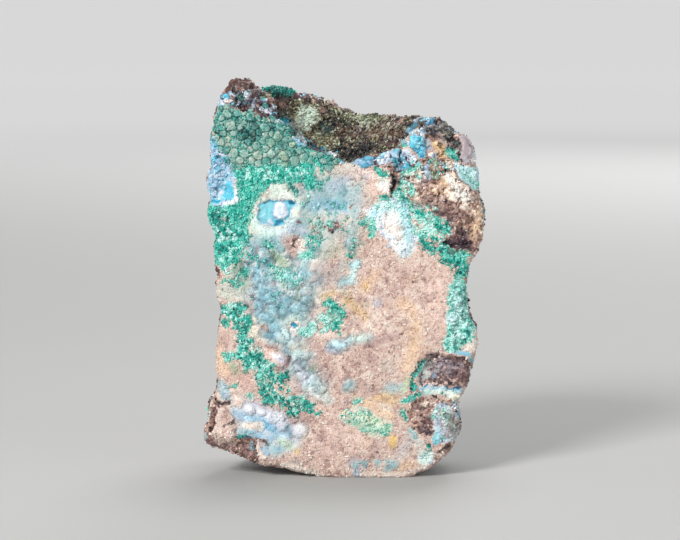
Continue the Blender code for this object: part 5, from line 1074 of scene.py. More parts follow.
BLUE_BLOCKS = [
    (0.00, 0.28, "chrysocolla", 0.14), (0.28, 0.44, "chrysocolla", 0.36), (0.44, 0.52, "chrysocolla", 0.64),
    (0.52, 0.60, "chrysocolla", 0.04),
]
PALE_CRUST = [
    (0.00, 0.30, "chrysocolla", 0.08), (0.30, 0.46, "chrysocolla", 0.32), (0.46, 0.54, "chrysocolla", 0.50),
]
MINT_CRUST = [
    (0.00, 0.20, "malachite", 0.14), (0.20, 0.40, "chrysocolla", 0.10), (0.40, 0.50, "malachite", 0.55),
    (0.50, 0.60, "matrix", 0.52), (0.60, 0.70, "chalcedony", 0.30),
]
BLUE_FACETS = [
    (0.00, 0.30, "chrysocolla", 0.36), (0.30, 0.46, "chrysocolla", 0.66), (0.46, 0.66, "chrysocolla", 0.16),
]
PURPLE_ROCK = [
    (0.00, 0.14, "matrix", 0.76), (0.14, 0.40, "druse", 0.78), (0.40, 0.46, "druse", 0.10),
    (0.46, 0.56, "matrix", 0.36),
]
VUG_GRAINS = [
    (0.00, 0.16, "lining", 0.92), (0.16, 0.32, "lining", 0.72), (0.32, 0.48, "lining", 0.34),
    (0.48, 0.56, "lining", 0.14), (0.56, 0.64, "matrix", 0.58),
]
CREAM_ROCK = [(0.00, 0.40, "druse", 0.02), (0.40, 0.54, "matrix", 0.24), (0.54, 0.64, "matrix", 0.62)]
RED_ROCK = [
    (0.00, 0.12, "matrix", 0.74), (0.12, 0.26, "matrix", 0.50), (0.26, 0.44, "druse", 0.84),
    (0.44, 0.52, "druse", 0.10),
]
# Mosaics of broken fragments: fragment size, how dark the crevices are, what the fragments are, and where.
MOSAICS = [
    (1.1, 0.8, BRECCIA, [
        (-25.6, 78.8), (-25.0, 80.6), (-22.6, 81.0), (-19.0, 81.2), (-17.2, 79.8), (-13.8, 77.4),
        (-11.6, 75.4), (-13.7, 75.0), (-17.0, 76.2), (-20.2, 77.6), (-23.4, 77.8),
    ]),
    (1.3, 0.8, CRUSHED_ROCK, [(13.6, 73.4, 0.6), (17.0, 73.8, 1.4), (21.0, 73.4, 1.6), (22.8, 70.8, 1.2)]),
    (1.4, 0.8, TAN_ROCK, [
        (17.0, 65.0, 0.9), (20.0, 67.0, 1.6), (20.6, 64.4, 1.4), (16.2, 62.8, 1.4), (12.8, 62.0, 1.2),
    ]),
    (2.0, 0.8, BLUE_BLOCKS, [
        (2.8, 65.9, 0.7), (4.8, 66.2, 1.0), (7.8, 66.9, 1.1), (10.6, 66.8, 1.2), (13.2, 66.0, 1.4),
    ]),
    (1.4, 0.8, BLUE_BLOCKS, [(13.4, 72.2, 0.6), (15.4, 72.4, 0.6), (17.2, 69.8, 0.7)]),
    (0.9, 0.25, PALE_CRUST, [
        (-27.6, 70.4, 1.0), (-26.4, 66.0, 1.6), (-25.8, 62.4, 1.6), (-26.4, 60.0, 1.0),
    ]),
    (1.0, 0.5, PURPLE_ROCK,
     [(18.4, 24.4, 1.6), (22.0, 22.8, 2.2), (25.8, 21.8, 1.8)], [(16.0, 14.6, 1.2), (17.2, 11.6, 1.2)]),
    (0.9, 0.35, MINT_CRUST, [(21.0, 14.0, 1.2), (22.2, 11.2, 1.4), (21.0, 8.8, 1.0)]),
    (1.2, 0.35, BLUE_FACETS, CYAN_CHUNK),
    (1.1, 0.8, VUG_GRAINS, [(-3.4, 75.4, 1.6), (1.0, 73.0, 2.6), (6.0, 73.0, 3.0), (11.0, 73.6, 2.0)]),
    (1.0, 0.6, CREAM_ROCK, [(21.6, 63.0, 0.9), (23.8, 60.8, 1.2), (26.2, 58.4, 1.3)]),
    (1.1, 0.7, RED_ROCK, [
        (16.4, 60.4, 1.2), (19.0, 58.6, 1.8), (21.6, 56.4, 1.6), (24.4, 53.0, 1.8), (27.0, 51.0, 1.2),
    ]),
]

# ---- Raised and sunk places of the front ----------------------------------------------------------
# Each: height, edge softness, and shapes as in the patches.
STEPS = [
    (-0.50, 0.30, WINDOW),
    (0.45, 0.40, [(-13.0, 56.4, 1.1), (-12.8, 55.4, 1.3)]),
    (-0.35, 0.20, BLUE_SPOT),
    (0.55, 0.25, FLAP),
    (-0.35, 0.15, [(-25.0, 11.0, 0.2), (-24.2, 11.3, 0.3), (-23.2, 11.5, 0.3)]),
    (-1.20, 0.30, [(-28.4, 9.4, 0.2), (-27.5, 10.2, 0.3), (-27.2, 11.4, 0.4), (-27.0, 12.2, 0.3)]),
    (-0.60, 0.25, [(-18.4, 7.6, 0.3), (-18.5, 5.8, 0.3), (-17.9, 4.4, 0.3)]),
    (0.60, 0.25, CYAN_CHUNK),
    (0.60, 0.20, CRYSTAL_FACE),
    (0.40, 0.20, BLUE_LEDGE),
    (0.35, 0.25, BLUE_STEP),
    (-0.80, 0.25, [(11.8, 68.2, 0.2), (11.7, 66.6, 0.3), (11.4, 65.2, 0.2)]),
    (-0.90, 0.30, [(10.4, 64.2, 0.3), (10.7, 62.0, 0.4), (10.4, 60.4, 0.3), (10.3, 59.2, 0.2)]),
    (-0.90, 0.50, [(17.6, 71.4, 0.4), (18.8, 71.3, 0.5), (20.0, 71.2, 0.4)]),
    (-1.20, 0.70, [(21.4, 71.0, 0.4), (22.4, 70.2, 0.8), (23.0, 69.2, 0.7)]),
    (-1.00, 0.35, [(21.2, 49.4, 0.4), (23.0, 48.8, 0.6), (25.0, 48.9, 0.6), (27.0, 49.0, 0.4)]),
    (0.45, 0.25, TURQUOISE_BAND),
    (0.50, 0.15, [(-9.8, 72.3, 0.25), (-9.0, 71.4, 0.5), (-8.1, 70.5, 0.35)]),
    (-0.80, 0.25, [(-10.5, 73.4, 0.3), (-10.4, 72.2, 0.3), (-10.1, 71.5, 0.25)]),
    (-0.70, 0.20,
     [(-22.4, 79.3, 0.3), (-21.3, 78.4, 0.4), (-20.6, 77.2, 0.35)],
     [(-13.5, 76.5, 0.3), (-12.8, 76.2, 0.45)], [(-22.9, 81.1, 0.3), (-22.6, 80.6, 0.35)]),
    (0.90, 0.40, [(-15.8, 81.4, 0.4), (-14.2, 81.5, 0.8), (-12.4, 81.3, 0.8), (-11.2, 81.0, 0.5)]),
    (0.70, 0.80, [(15.6, 75.6, 0.8), (18.0, 75.4, 1.2), (21.0, 74.6, 1.2), (23.2, 73.4, 0.9)]),
    (-0.60, 0.20, [(-16.0, 48.4, 0.25), (-15.2, 47.5, 0.25)], [(-14.6, 46.5, 0.25), (-13.9, 44.9, 0.25)]),
    (-0.50, 0.20,
     [(-19.9, 47.1, 0.2), (-19.3, 46.0, 0.25)], [(-19.3, 40.5, 0.25), (-18.0, 39.7, 0.25)],
     [(-13.6, 41.2, 0.2), (-12.8, 41.0, 0.25)], [(-11.3, 25.6, 0.25), (-11.2, 24.4, 0.25)]),
    (-0.60, 0.20, [(-15.4, 27.3, 0.2), (-13.6, 27.0, 0.2), (-12.0, 26.3, 0.2)]),
    (-0.50, 0.20, [(3.9, 62.4, 0.25)], [(5.2, 61.5, 0.2)], [(4.9, 52.7, 0.3)], [(0.3, 49.4, 0.2)]),
]

# Round lumps of the crust: across, up, radius, height.
LUMPS = [
    (-16.3, 46.8, 1.5, 0.7), (-19.8, 46.3, 1.2, 0.5), (-19.5, 43.5, 1.3, 0.6), (-17.0, 42.3, 1.2, 0.5),
    (-13.5, 37.5, 1.2, 0.5), (-8.0, 38.0, 1.4, 0.5), (-12.2, 35.0, 1.0, 0.5), (-9.0, 35.0, 1.7, 0.7),
    (-17.0, 34.5, 1.3, 0.5), (-14.8, 34.4, 1.5, 0.6), (-12.0, 46.4, 1.1, 0.4), (-10.6, 44.4, 1.2, 0.4),
    (-10.5, 39.5, 1.5, 0.5), (-13.5, 25.0, 2.2, 1.1), (-9.6, 25.8, 1.2, 0.5), (-7.8, 26.0, 1.1, 0.5),
    (-9.5, 23.5, 1.4, 0.5), (-6.8, 23.3, 0.6, 0.4), (-4.6, 19.4, 1.5, 0.5), (-7.0, 19.5, 1.6, 0.5),
    (-8.6, 21.8, 1.2, 0.4), (1.5, 19.5, 1.4, 0.5), (-1.8, 27.7, 1.5, 0.6), (0.6, 28.0, 1.0, 0.4),
    (3.2, 29.2, 1.3, 0.2), (5.6, 29.6, 0.8, 0.2), (2.5, 44.8, 1.2, 0.3), (1.0, 49.0, 1.3, 0.3),
    (4.0, 47.7, 0.9, 0.3), (1.8, 51.8, 1.1, 0.3), (1.0, 41.2, 1.2, 0.2), (7.5, 36.7, 0.8, 0.3),
    (-12.4, 29.4, 1.5, 0.5), (-10.4, 28.4, 1.4, 0.4), (-21.8, 16.0, 1.3, 0.5), (-19.5, 14.2, 1.1, 0.5),
    (-17.0, 13.8, 0.9, 0.4), (-19.4, 11.2, 1.9, 0.5), (-15.3, 12.3, 1.2, 0.5),
    (-13.3, 13.0, 1.3, 0.5), (-15.0, 10.8, 1.0, 0.4), (-12.8, 11.0, 1.2, 0.4), (-9.0, 10.0, 1.6, 0.7),
    (-12.0, 8.0, 1.4, 0.4), (10.6, 3.0, 1.2, 0.4), (-7.5, 1.6, 0.9, 0.4), (7.6, 64.0, 0.9, 0.3),
    (-22.6, 82.6, 1.4, 0.5), (-20.0, 82.4, 1.3, 0.5), (-18.0, 81.4, 1.0, 0.4),
]

# Grey-green knobs: across, up, radius.
KNOBS = [
    (-24.2, 76.1, 1.1), (-21.9, 75.9, 0.9), (-19.2, 75.4, 1.0), (-16.3, 74.6, 0.9),
    (-14.8, 75.0, 0.7), (-23.0, 73.3, 1.2), (-25.0, 73.0, 0.6), (-24.8, 71.9, 0.7), (-22.8, 72.0, 0.7),
    (-21.5, 74.4, 0.7), (-18.5, 73.5, 0.8), (-16.2, 73.0, 1.1), (-16.0, 71.6, 0.8), (-14.8, 73.5, 0.6),
    (-12.9, 73.3, 1.1), (-11.3, 73.1, 0.9), (-13.5, 71.3, 1.1), (-11.0, 71.6, 0.6), (-25.2, 70.2, 1.0),
    (-24.0, 70.6, 0.8), (-22.3, 69.8, 0.9), (-20.5, 69.3, 0.7), (-18.0, 69.2, 0.9), (-14.9, 70.0, 0.8),
    (-8.9, 68.6, 0.9), (-10.5, 69.7, 0.7), (-22.8, 67.7, 1.1), (-20.5, 67.7, 0.9), (-17.6, 67.4, 1.1),
    (-14.9, 67.7, 0.9), (-12.3, 67.2, 1.2), (-10.1, 66.3, 1.0), (-8.0, 67.0, 0.9), (-6.0, 67.6, 0.8),
    (-18.9, 66.3, 0.7), (-16.1, 66.2, 0.8), (-21.4, 66.3, 0.7), (-14.0, 66.2, 0.6), (-19.1, 68.6, 0.6),
    (-16.1, 68.7, 0.7), (-13.6, 68.4, 0.6), (-11.2, 67.9, 0.5), (-12.0, 65.4, 0.6), (-23.8, 66.4, 0.6),
    (-4.6, 67.4, 0.8), (-4.0, 66.2, 0.8), (-26.0, 75.2, 0.7), (-25.9, 76.6, 0.6), (-12.6, 69.2, 0.9),
    (-16.6, 70.4, 0.7), (-24.0, 68.4, 0.8), (-2.4, 66.8, 0.6), (-20.4, 76.0, 0.5), (-17.6, 71.0, 0.6),
]

# ---- Sizes of what is sculpted and scattered ------------------------------------------------------
SKIN_CELL = 0.76                   # remesh size; the front is then halved once more
SKIN_SMOOTHING = 5
FRONT_SUBDIVIDED_Y = -6.0
FOOT_FADE = (0.2, 2.0)             # heights between which the relief sets in above the floor
LOOSE_EDGE = 0.50                  # how far noise pushes the minerals' borders about
LOOSE_EDGE_SIZE = 1.5
RAGGED_EDGE = 0.22
RAGGED_EDGE_SIZE = 0.45
WANDER_FULL = 6.0                  # a shape this wide has fully wandering borders
NET_TOP = 39.0                     # below this the malachite is a net of round clumps
# Shortens the way along the streaks of the right side's rock, which run down to the right.
STREAKS = np.array([(0.52, 0.0, 0.26), (0.0, 1.0, 0.0), (0.26, 0.0, 0.86)])
LUMP_SIZE = 2.3                    # rounded lumps of chalcedony
LUMP_SEED = 83
GREEN_CLUMP = 1.1                  # round clumps of malachite
GREEN_SEED = 77
MINT_MIDDLE = 12.5                 # across; the malachite within the half width of here is no net
MINT_HALF_WIDTH = 7.5
WASH_PATCHES = 0.45                # how patchy a wash is, and the size of its patches
WASH_PATCH_SIZE = 1.6
WASH_STRONGEST = 0.97
# Seeds of each table's first entry; the other entries count on from there.
SPECKLE_SEED = 200
FINE_SPECKLE_SEED = 300
WASH_SEED = 400
MOSAIC_SEED = 500
TOP_WASH_SEED = 600
# Boxes of the front whose mesh is halved again: left, bottom, right, top.
DETAIL_BOXES = [
    (1.5, 59.5, 29.0, 77.0), (-27.0, 74.0, -10.0, 84.0), (-18.6, 51.6, -9.0, 59.4), (-11.8, 30.6, -8.6, 33.4),
    (-30.0, 56.5, -21.8, 72.0), (13.0, 7.0, 28.5, 27.0), (-30.0, 4.0, -15.5, 16.0),
]
FLOOR_COLOUR = (176, 176, 175)
FLOOR_GLOW = 0.50                  # light of the floor's far part, where the lamps do not reach
FLOOR_GLOW_START = 0.2             # metres
FLOOR_GLOW_FULL = 1.5
FLOOR_FLAT = 2.2                   # radius of the flat part, metres
FLOOR_BEND = 0.9                   # radius of the curve up, metres
FLOOR_RIM = (3.12, 1.5)            # across and up, metres
FLOOR_SIDES = 64
# Square soft lights: name, place, size, power and colour.
LIGHTS = [
    ("key", (-0.46, -0.72, 0.56), 0.26, 10.0, (1.0, 0.985, 0.96)),
    ("fill", (0.80, -0.70, 0.25), 0.60, 1.6, (0.95, 0.98, 1.0)),
    ("top", (0.10, 0.25, 0.80), 0.40, 3.2, (1, 1, 1)),
    ("behind", (0.3, 0.9, 0.5), 0.50, 3.0, (1, 1, 1)),
]
LIGHTS_AIM = (0, 0, 0.04)
SKY_COLOUR = (0.92, 0.94, 0.97, 1)
SKY_STRENGTH = 0.16
CREVICE_SHADE_DEPTH = 0.16                   # how deep a crevice is when its painted shade is full

MINERALS = ["druse", "malachite", "knob", "chrysocolla", "chalcedony", "matrix", "lining"]
INDEX = {name: place for place, name in enumerate(MINERALS)}
TONE = "_tone"                     # ending of the attribute that holds a mineral's tone

# ---- Colours of the minerals, along each one's tone, as sRGB --------------------------------------
RAMPS = {
    "druse": [
        (0.00, (240, 234, 226)), (0.20, (226, 208, 196)), (0.42, (206, 178, 166)),
        (0.65, (176, 144, 138)), (0.85, (128, 98, 98)), (1.00, (78, 56, 62)),
    ],
    "malachite": [
        (0.00, (214, 244, 240)), (0.25, (136, 226, 210)), (0.50, (38, 186, 168)),
        (0.72, (5, 138, 126)), (0.88, (3, 84, 84)), (1.00, (2, 40, 46)),
    ],
    "knob": [
        (0.00, (182, 192, 182)), (0.28, (138, 168, 158)), (0.55, (80, 146, 138)),
        (0.80, (16, 104, 100)), (1.00, (3, 40, 44)),
    ],
    "chrysocolla": [
        (0.00, (234, 240, 242)), (0.18, (184, 200, 220)), (0.35, (132, 186, 208)),
        (0.50, (104, 192, 208)), (0.66, (32, 156, 186)), (0.82, (10, 108, 140)),
        (0.92, (8, 62, 92)), (1.00, (6, 24, 40)),
    ],
    "chalcedony": [
        (0.00, (214, 212, 206)), (0.30, (162, 190, 194)), (0.50, (122, 170, 178)),
        (0.66, (94, 152, 172)), (0.85, (186, 212, 202)), (1.00, (74, 98, 112)),
    ],
    "matrix": [
        (0.00, (246, 236, 224)), (0.15, (228, 202, 178)), (0.34, (180, 144, 128)),
        (0.52, (126, 94, 88)), (0.74, (76, 55, 62)), (0.90, (34, 25, 36)), (1.00, (10, 7, 12)),
    ],
    "lining": [
        (0.00, (194, 210, 194)), (0.25, (150, 144, 108)), (0.50, (92, 86, 70)),
        (0.72, (50, 50, 46)), (1.00, (12, 11, 12)),
    ],
}
# Painted shade in crevices and at the feet of grains: its colour and how strongly it darkens, for each
# mineral.
CREVICE_SHADE_COLOURS = {
    "druse": (128, 96, 94), "malachite": (6, 84, 78), "knob": (8, 84, 80), "chrysocolla": (58, 90, 120),
    "chalcedony": (78, 96, 108), "matrix": (26, 17, 23), "lining": (14, 12, 12),
}
CREVICE_SHADE_STRENGTH = {
    "druse": 0.50, "malachite": 0.80, "knob": 0.90, "chrysocolla": 0.60, "chalcedony": 0.65,
    "matrix": 0.75, "lining": 0.75,
}
SKIN_ROUGHNESS = 0.42
ROUGHNESS = {
    "druse": 0.38, "malachite": 0.42, "knob": 0.55, "chrysocolla": 0.32, "chalcedony": 0.34,
    "matrix": 0.62, "lining": 0.50,
}


# ---- Noise --------------------------------------------------------------------------------------
CORNERS = np.array([(x, y, z) for x in (0, 1) for y in (0, 1) for z in (0, 1)])
NEIGHBOURS = np.array([(x, y, z) for x in (-1, 0, 1) for y in (-1, 0, 1) for z in (-1, 0, 1)])
WORD = 0xFFFFFFFF


def lattice(cell, seed):
    """A repeatable random number, 0 to 1, for each whole-number cell."""
    mixed = (cell[:, 0] * 374761393 + cell[:, 1] * 668265263 + cell[:, 2] * 1274126177 + seed * 97531) & WORD
    mixed = ((mixed ^ (mixed >> 13)) * 1103515245) & WORD
    mixed = ((mixed ^ (mixed >> 15)) * 668265263) & WORD
    return ((mixed ^ (mixed >> 16)) & 0xFFFFFF) / 0xFFFFFF


def noise(points, size, seed):
    """Smooth noise, 0 to 1, with features of about the given size."""
    scaled = points / size
    cell = np.floor(scaled)
    ease = scaled - cell
    ease = ease * ease * (3 - 2 * ease)
    cell = cell.astype(np.int64)
    total = np.zeros(len(points))
    for corner in CORNERS:
        weight = np.prod(np.where(corner == 1, ease, 1 - ease), axis=1)
        total += weight * lattice(cell + corner, seed)
    return total


def cloud(points, size, seed, octaves=3):
    """Layered noise, -1 to 1."""
    total = sum(noise(points, size / 2**k, seed + k) / 2**k for k in range(octaves))
    return 2 * total / sum(0.5**k for k in range(octaves)) - 1


def crystals(points, size, seed):
    """Random cells: distance to the nearest seed, and to the next, in cell sizes, the cell's own
    random number, and the way from its seed."""
    scaled = points / size
    home = np.floor(scaled).astype(np.int64)
    nearest = np.full(len(points), 9.0)
    second = np.full(len(points), 9.0)
    own = np.zeros(len(points))
    way = np.zeros((len(points), 3))
    for step in NEIGHBOURS:
        cell = home + step
        spot = cell + np.stack([lattice(cell, seed + axis) for axis in range(3)], axis=1)
        gap = np.linalg.norm(scaled - spot, axis=1)
        closer = gap < nearest
        second = np.where(closer, nearest, np.minimum(second, gap))
        own = np.where(closer, lattice(cell, seed + 3), own)
        way = np.where(closer[:, None], scaled - spot, way)
        nearest = np.minimum(nearest, gap)
    return nearest, second, own, way


def smooth(low, high, value):
    """0 below low, 1 above high, and an even turn between them."""
    share = np.clip((value - low) / (high - low), 0, 1)
    return share * share * (3 - 2 * share)


# ---- Places on the front --------------------------------------------------------------------------
def seen(points):
    """Across and up in the front view, in mm."""
    up = points[:, 2] * math.cos(VIEW_RISE) + (points[:, 1] - FOOT_EDGE_Y) * math.sin(VIEW_RISE)
    return points[:, 0], up


def view_directions():
    """The way that the front view looks, and its up."""
    look = Vector((0, math.cos(VIEW_RISE), -math.sin(VIEW_RISE)))
    rise = Vector((0, math.sin(VIEW_RISE), math.cos(VIEW_RISE)))
    return look, rise


def chain_reach(across, up, chain):
    """How far inside a chain of discs each place is, in mm."""
    reach = np.full(len(across), -99.0)
    for (x0, v0, r0), (x1, v1, r1) in zip(chain, chain[1:] or chain):
        dx, dv = x1 - x0, v1 - v0
        along = ((across - x0) * dx + (up - v0) * dv) / max(dx * dx + dv * dv, 1e-9)
        along = np.clip(along, 0, 1)
        gap = np.hypot(across - x0 - along * dx, up - v0 - along * dv)
        reach = np.maximum(reach, r0 + along * (r1 - r0) - gap)
    return reach


def outline_reach(across, up, outline):
    """How far inside an outline each place is, in mm."""
    gap = np.full(len(across), 99.0)
    inside = np.zeros(len(across), bool)
    for (x0, v0), (x1, v1) in zip(outline, outline[1:] + outline[:1]):
        dx, dv = x1 - x0, v1 - v0
        along = np.clip(((across - x0) * dx + (up - v0) * dv) / (dx * dx + dv * dv), 0, 1)
        gap = np.minimum(gap, np.hypot(across - x0 - along * dx, up - v0 - along * dv))
        if dv:
            crosses = (up < v0) != (up < v1)
            inside ^= crosses & (across < x0 + (up - v0) / dv * dx)
    return np.where(inside, gap, -gap)


def shape_weight(across, up, shape, softness):
    """Which places a shape covers, and how strongly. Only places near it are worked out."""
    corners = np.array(shape)
    margin = softness + (corners[:, 2].max() if corners.shape[1] == 3 else 0)
    near = (across > corners[:, 0].min() - margin) & (across < corners[:, 0].max() + margin)
    near &= (up > corners[:, 1].min() - margin) & (up < corners[:, 1].max() + margin)
    near = np.flatnonzero(near)
    if not len(near):
        return near, np.zeros(0)
    reach_of = chain_reach if corners.shape[1] == 3 else outline_reach
    return near, smooth(-softness, softness, reach_of(across[near], up[near], shape))


def crust_edge(points):
    """Where the crust ends round the sides, as y."""
    return CRUST_BACK_Y + 2.4 * cloud(points, 5.5, 17, 2) + 1.2 * cloud(points, 1.7, 19, 2)


def front_share(points, up):
    """How much each place belongs to the crust or the hollow, rather than to the bare rock."""
    edge = np.interp(points[:, 0], *zip(*PLATE_EDGE))
    above = smooth(-0.3, 0.3, up - edge)
    crust = smooth(-0.7, 0.7, crust_edge(points) - points[:, 1])
    hollow = smooth(-1.5, 1.5, HOLLOW_BACK_Y - points[:, 1])
    return crust + (hollow - crust) * above, above


# ---- Painting -------------------------------------------------------------------------------------
def border_wander(points, seed):
    """How far noise pushes the minerals' borders about, in mm."""
    loose = LOOSE_EDGE * cloud(points, LOOSE_EDGE_SIZE, seed, 2)
    return loose + RAGGED_EDGE * cloud(points, RAGGED_EDGE_SIZE, seed + 5, 1)


def one_by_one(table, values):
    """A table's entries with one shape each. Shapes that share their first values stand in one entry."""
    return [(*entry[:values], shape) for entry in table for shape in entry[values:]]


class Paint:
    """The minerals' shares at some places, their tone and the washes over them."""

    def __init__(self, points):
        self.points = points
        self.share = np.zeros((len(points), len(MINERALS)))
        self.share[:, INDEX["matrix"]] = 1
        self.tones = np.full((len(points), len(MINERALS)), 0.5)
        self.wash = np.zeros((len(points), 4))
        self.bare = np.zeros(len(points))
        self.everywhere = np.arange(len(points))
        self.true_across, self.true_up = seen(points)
        self.above_front, self.above = front_share(points, self.true_up)
        self.wander = [border_wander(points, seed) for seed in (11, 21)]
        nearest, second, self.lump, _ = crystals(points, LUMP_SIZE, LUMP_SEED)
        self.between_lumps = smooth(0.20, 0.04, second - nearest)
        self.broken = np.zeros(len(points))
        self.paint_rock()
        self.paint_front()

    def cover(self, shape, softness):
        """Which places a shape covers, and how strongly. The borders of small shapes wander less."""
        wander = min(1.0, 0.25 + np.ptp(np.array(shape)[:, :2], axis=0).max() / WANDER_FULL)
        across = self.true_across + wander * self.wander[0]
        up = self.true_up + wander * self.wander[1]
        return shape_weight(across, up, shape, softness)

    def lay(self, mineral, tone, weight, places=None):
        """Covers places with a mineral."""
        places = self.everywhere if places is None else places
        kind = INDEX[mineral]
        self.share[places] *= (1 - weight)[:, None]
        share = self.share[places, kind] + weight
        pull = np.divide(weight, share, out=np.zeros_like(share), where=share > 0)
        self.tones[places, kind] += pull * (tone - self.tones[places, kind])
        self.share[places, kind] = share
        self.wash[places, 3] *= 1 - weight

    def shift(self, mineral, by, places=None):
        """Moves a mineral's tone."""
        places = self.everywhere if places is None else places
        self.tones[places, INDEX[mineral]] += by

    def tinge(self, tint, strength, places):
        """Lays a tint over the washes that are there."""
        under = self.wash[places, 3] * (1 - strength)
        total = under + strength
        share = np.divide(strength, total, out=np.zeros_like(total), where=total > 0)[:, None]
        self.wash[places, :3] += share * (np.array(linear(TINTS[tint])[:3]) - self.wash[places, :3])
        self.wash[places, 3] = total

    def paint_washes(self, washes, seed):
        """Lays the washes one after another, each with patches of its own."""
        for number, (tint, strength, softness, shape) in enumerate(one_by_one(washes, 3)):
            near, weight = self.cover(shape, softness)
            patchy = 1 + WASH_PATCHES * cloud(self.points[near], WASH_PATCH_SIZE, seed + number, 2)
            weight = np.clip(strength * weight * patchy, 0, WASH_STRONGEST) * self.above_front[near]
            self.tinge(tint, weight, near)

    def paint_rock(self):
        """The broken sides and back: brown rock with veins, green coats and the crust's edge."""
        points = self.points
        self.shift("matrix", 0.06 + 0.34 * cloud(points, 8.0, 31, 4))
        self.tinge("sand", 0.5 * smooth(0.15, 0.6, cloud(points, 7.0, 37, 3)), self.everywhere)
        self.lay("matrix", 0.14, smooth(0.34, 0.5, cloud(points, 5.0, 41, 3)))
        fine = cloud(points, 0.9, 45, 2)
        vein = np.abs(cloud(points, 9.0, 47, 3)) + 0.04 * fine
        faint = smooth(-0.25, 0.35, cloud(points, 6.0, 49, 2))
        self.lay("chrysocolla", 0.42 + 0.30 * fine, (0.25 + 0.65 * faint) * smooth(0.06, 0.01, vein))
        green = cloud(points, 6.5, 53, 3) + 0.22 * fine
        self.lay("malachite", 0.5 + 0.25 * fine, smooth(0.32, 0.48, green))
        grey = cloud(points, 7.5, 59, 3) + 0.1 * fine
        self.lay("chalcedony", 0.3 + 0.2 * fine, 0.8 * smooth(0.36, 0.55, grey))
        behind = points[:, 1] - crust_edge(points) + 0.5 * cloud(points, 1.5, 61, 2)
        thin = smooth(-0.35, 0.15, cloud(points, 4.5, 63, 2))
        self.lay("chrysocolla", 0.50 + 0.3 * fine, thin * smooth(1.9, 1.5, behind) * (1 - self.above))
        self.lay("chalcedony", 0.2 + 0.2 * fine, smooth(1.4, 1.0, behind) * (1 - self.above))

    def paint_front(self):
        """The crust's face and the hollow, patch by patch."""
        crust = self.above_front * (1 - self.above)
        field, inside = self.cover(BLUE_FIELD, 3.0)
        mottling = 0.10 * cloud(self.points, 4.0, 67, 3) + 0.18 * cloud(self.points, 1.1, 69, 2)
        clusters = smooth(0.16, 0.5, cloud(self.points, 0.9, 93, 2))
        clusters *= smooth(-0.2, 0.3, cloud(self.points, 5.0, 97, 2))
        self.lay("druse", 0.36 + mottling + 0.30 * clusters, crust)
        self.lay("chalcedony", 0.10 + 0.40 * self.lump[field], 0.85 * inside * crust[field], field)
        self.paint_patches(GROUND)
        self.paint_washes(WASHES, WASH_SEED)
        self.paint_patches(PATCHES)
        self.paint_speckles()
        self.shift("chalcedony", 0.30 * (self.lump - 0.5))
        self.shift("malachite", 0.25 * self.of("malachite") * (1 - self.of("malachite")))
        net = self.of("malachite") * (self.true_up < NET_TOP)
        net = np.flatnonzero(net * (np.abs(self.true_across - MINT_MIDDLE) > MINT_HALF_WIDTH) > 0.05)
        # Painted light on the net's raised clumps: lighter on their tops, darker between them.
        self.shift("malachite", 0.18 - 0.50 * domes(self.points[net], GREEN_CLUMP, GREEN_SEED), net)
        # Painted shade in the crevices between the chalcedony's rounded lumps, in steel.
        crevice = self.between_lumps * smooth(-0.3, 0.3, cloud(self.points, 3.0, 99, 2))
        crevice *= 0.2 + 0.8 * smooth(50, 46, self.true_up) * smooth(14, 24, self.true_up)
        self.tinge("steel", 0.45 * crevice * self.of("chalcedony"), self.everywhere)
        for number, (size, dark, choices, shape) in enumerate(one_by_one(MOSAICS, 3)):
            self.paint_mosaic(size, choices, shape, dark, MOSAIC_SEED + 10 * number)
        right = smooth(11, 13, self.true_across) * smooth(46, 49, self.true_up)
        right = np.flatnonzero(right * self.of("matrix") > 0.05)
        self.shift("matrix", 0.42 * cloud(self.points[right] @ STREAKS, 0.9, 113, 2) - 0.05, right)
        self.paint_washes(TOP_WASHES, TOP_WASH_SEED)
        # More painted shade in slate, along the middle of those crevices.
        crack_shade = crevice * smooth(0.5, 0.95, self.between_lumps)
        self.tinge("slate", 0.55 * crack_shade * self.of("chalcedony"), self.everywhere)
        for shape in BARE:
            near, weight = self.cover(shape, 0.3)
            self.bare[near] = np.maximum(self.bare[near], weight * self.above_front[near])

    def paint_patches(self, patches):
        """Lays the patches one over another."""
        for mineral, tone, softness, shape in one_by_one(patches, 3):
            near, weight = self.cover(shape, softness)
            self.lay(mineral, tone, weight * self.above_front[near], near)

    def paint_speckles(self):
        """Scatters spots of a mineral over each speckled area, with a share of it covered."""
        for number, (mineral, tone, covered, size, shape) in enumerate(one_by_one(SPECKLES, 4)):
            near, weight = self.cover(shape, 0.8)
            spots = noise(self.points[near], size, SPECKLE_SEED + number)
            spots = spots + 0.35 * noise(self.points[near], size / 2, FINE_SPECKLE_SEED + number)
            weight = weight * smooth(-0.05, 0.05, spots - 1.02 + covered * 0.7)
            self.lay(mineral, tone, weight * self.above_front[near], near)

    def paint_mosaic(self, size, choices, shape, dark, seed):
        """Broken fragments with dark crevices. Fragments that no choice takes keep their colour."""
        near, weight = self.cover(shape, 0.6)
        weight = weight * self.above_front[near]
        points = self.points[near]
        crooked = 0.35 * size * np.stack([cloud(points, 0.6 * size, seed + k, 2) for k in (4, 5, 6)], axis=1)
        nearest, second, own, way = crystals(points + crooked, size, seed)
        for low, high, mineral, tone in choices:
            self.lay(mineral, tone, 0.85 * weight * ((own >= low) & (own < high)), near)
        crevice = smooth(0.10, 0.02, second - nearest) * smooth(-0.5, 0.1, cloud(points, 2.0, seed + 7, 2))
        self.lay("matrix", 0.90, dark * weight * crevice, near)
        turn = own * 40
        leaning = way[:, 0] * np.cos(turn) + way[:, 2] * np.sin(turn)
        stands = size * (0.45 * leaning + 0.35 * (own - 0.5) - 0.25 * crevice)
        self.broken[near] += weight * (stands - self.broken[near])

    def of(self, mineral):
        """A mineral's share at each place."""
        return self.share[:, INDEX[mineral]]

    def tone_of(self, mineral):
        """A mineral's tone at each place."""
        return self.tones[:, INDEX[mineral]]


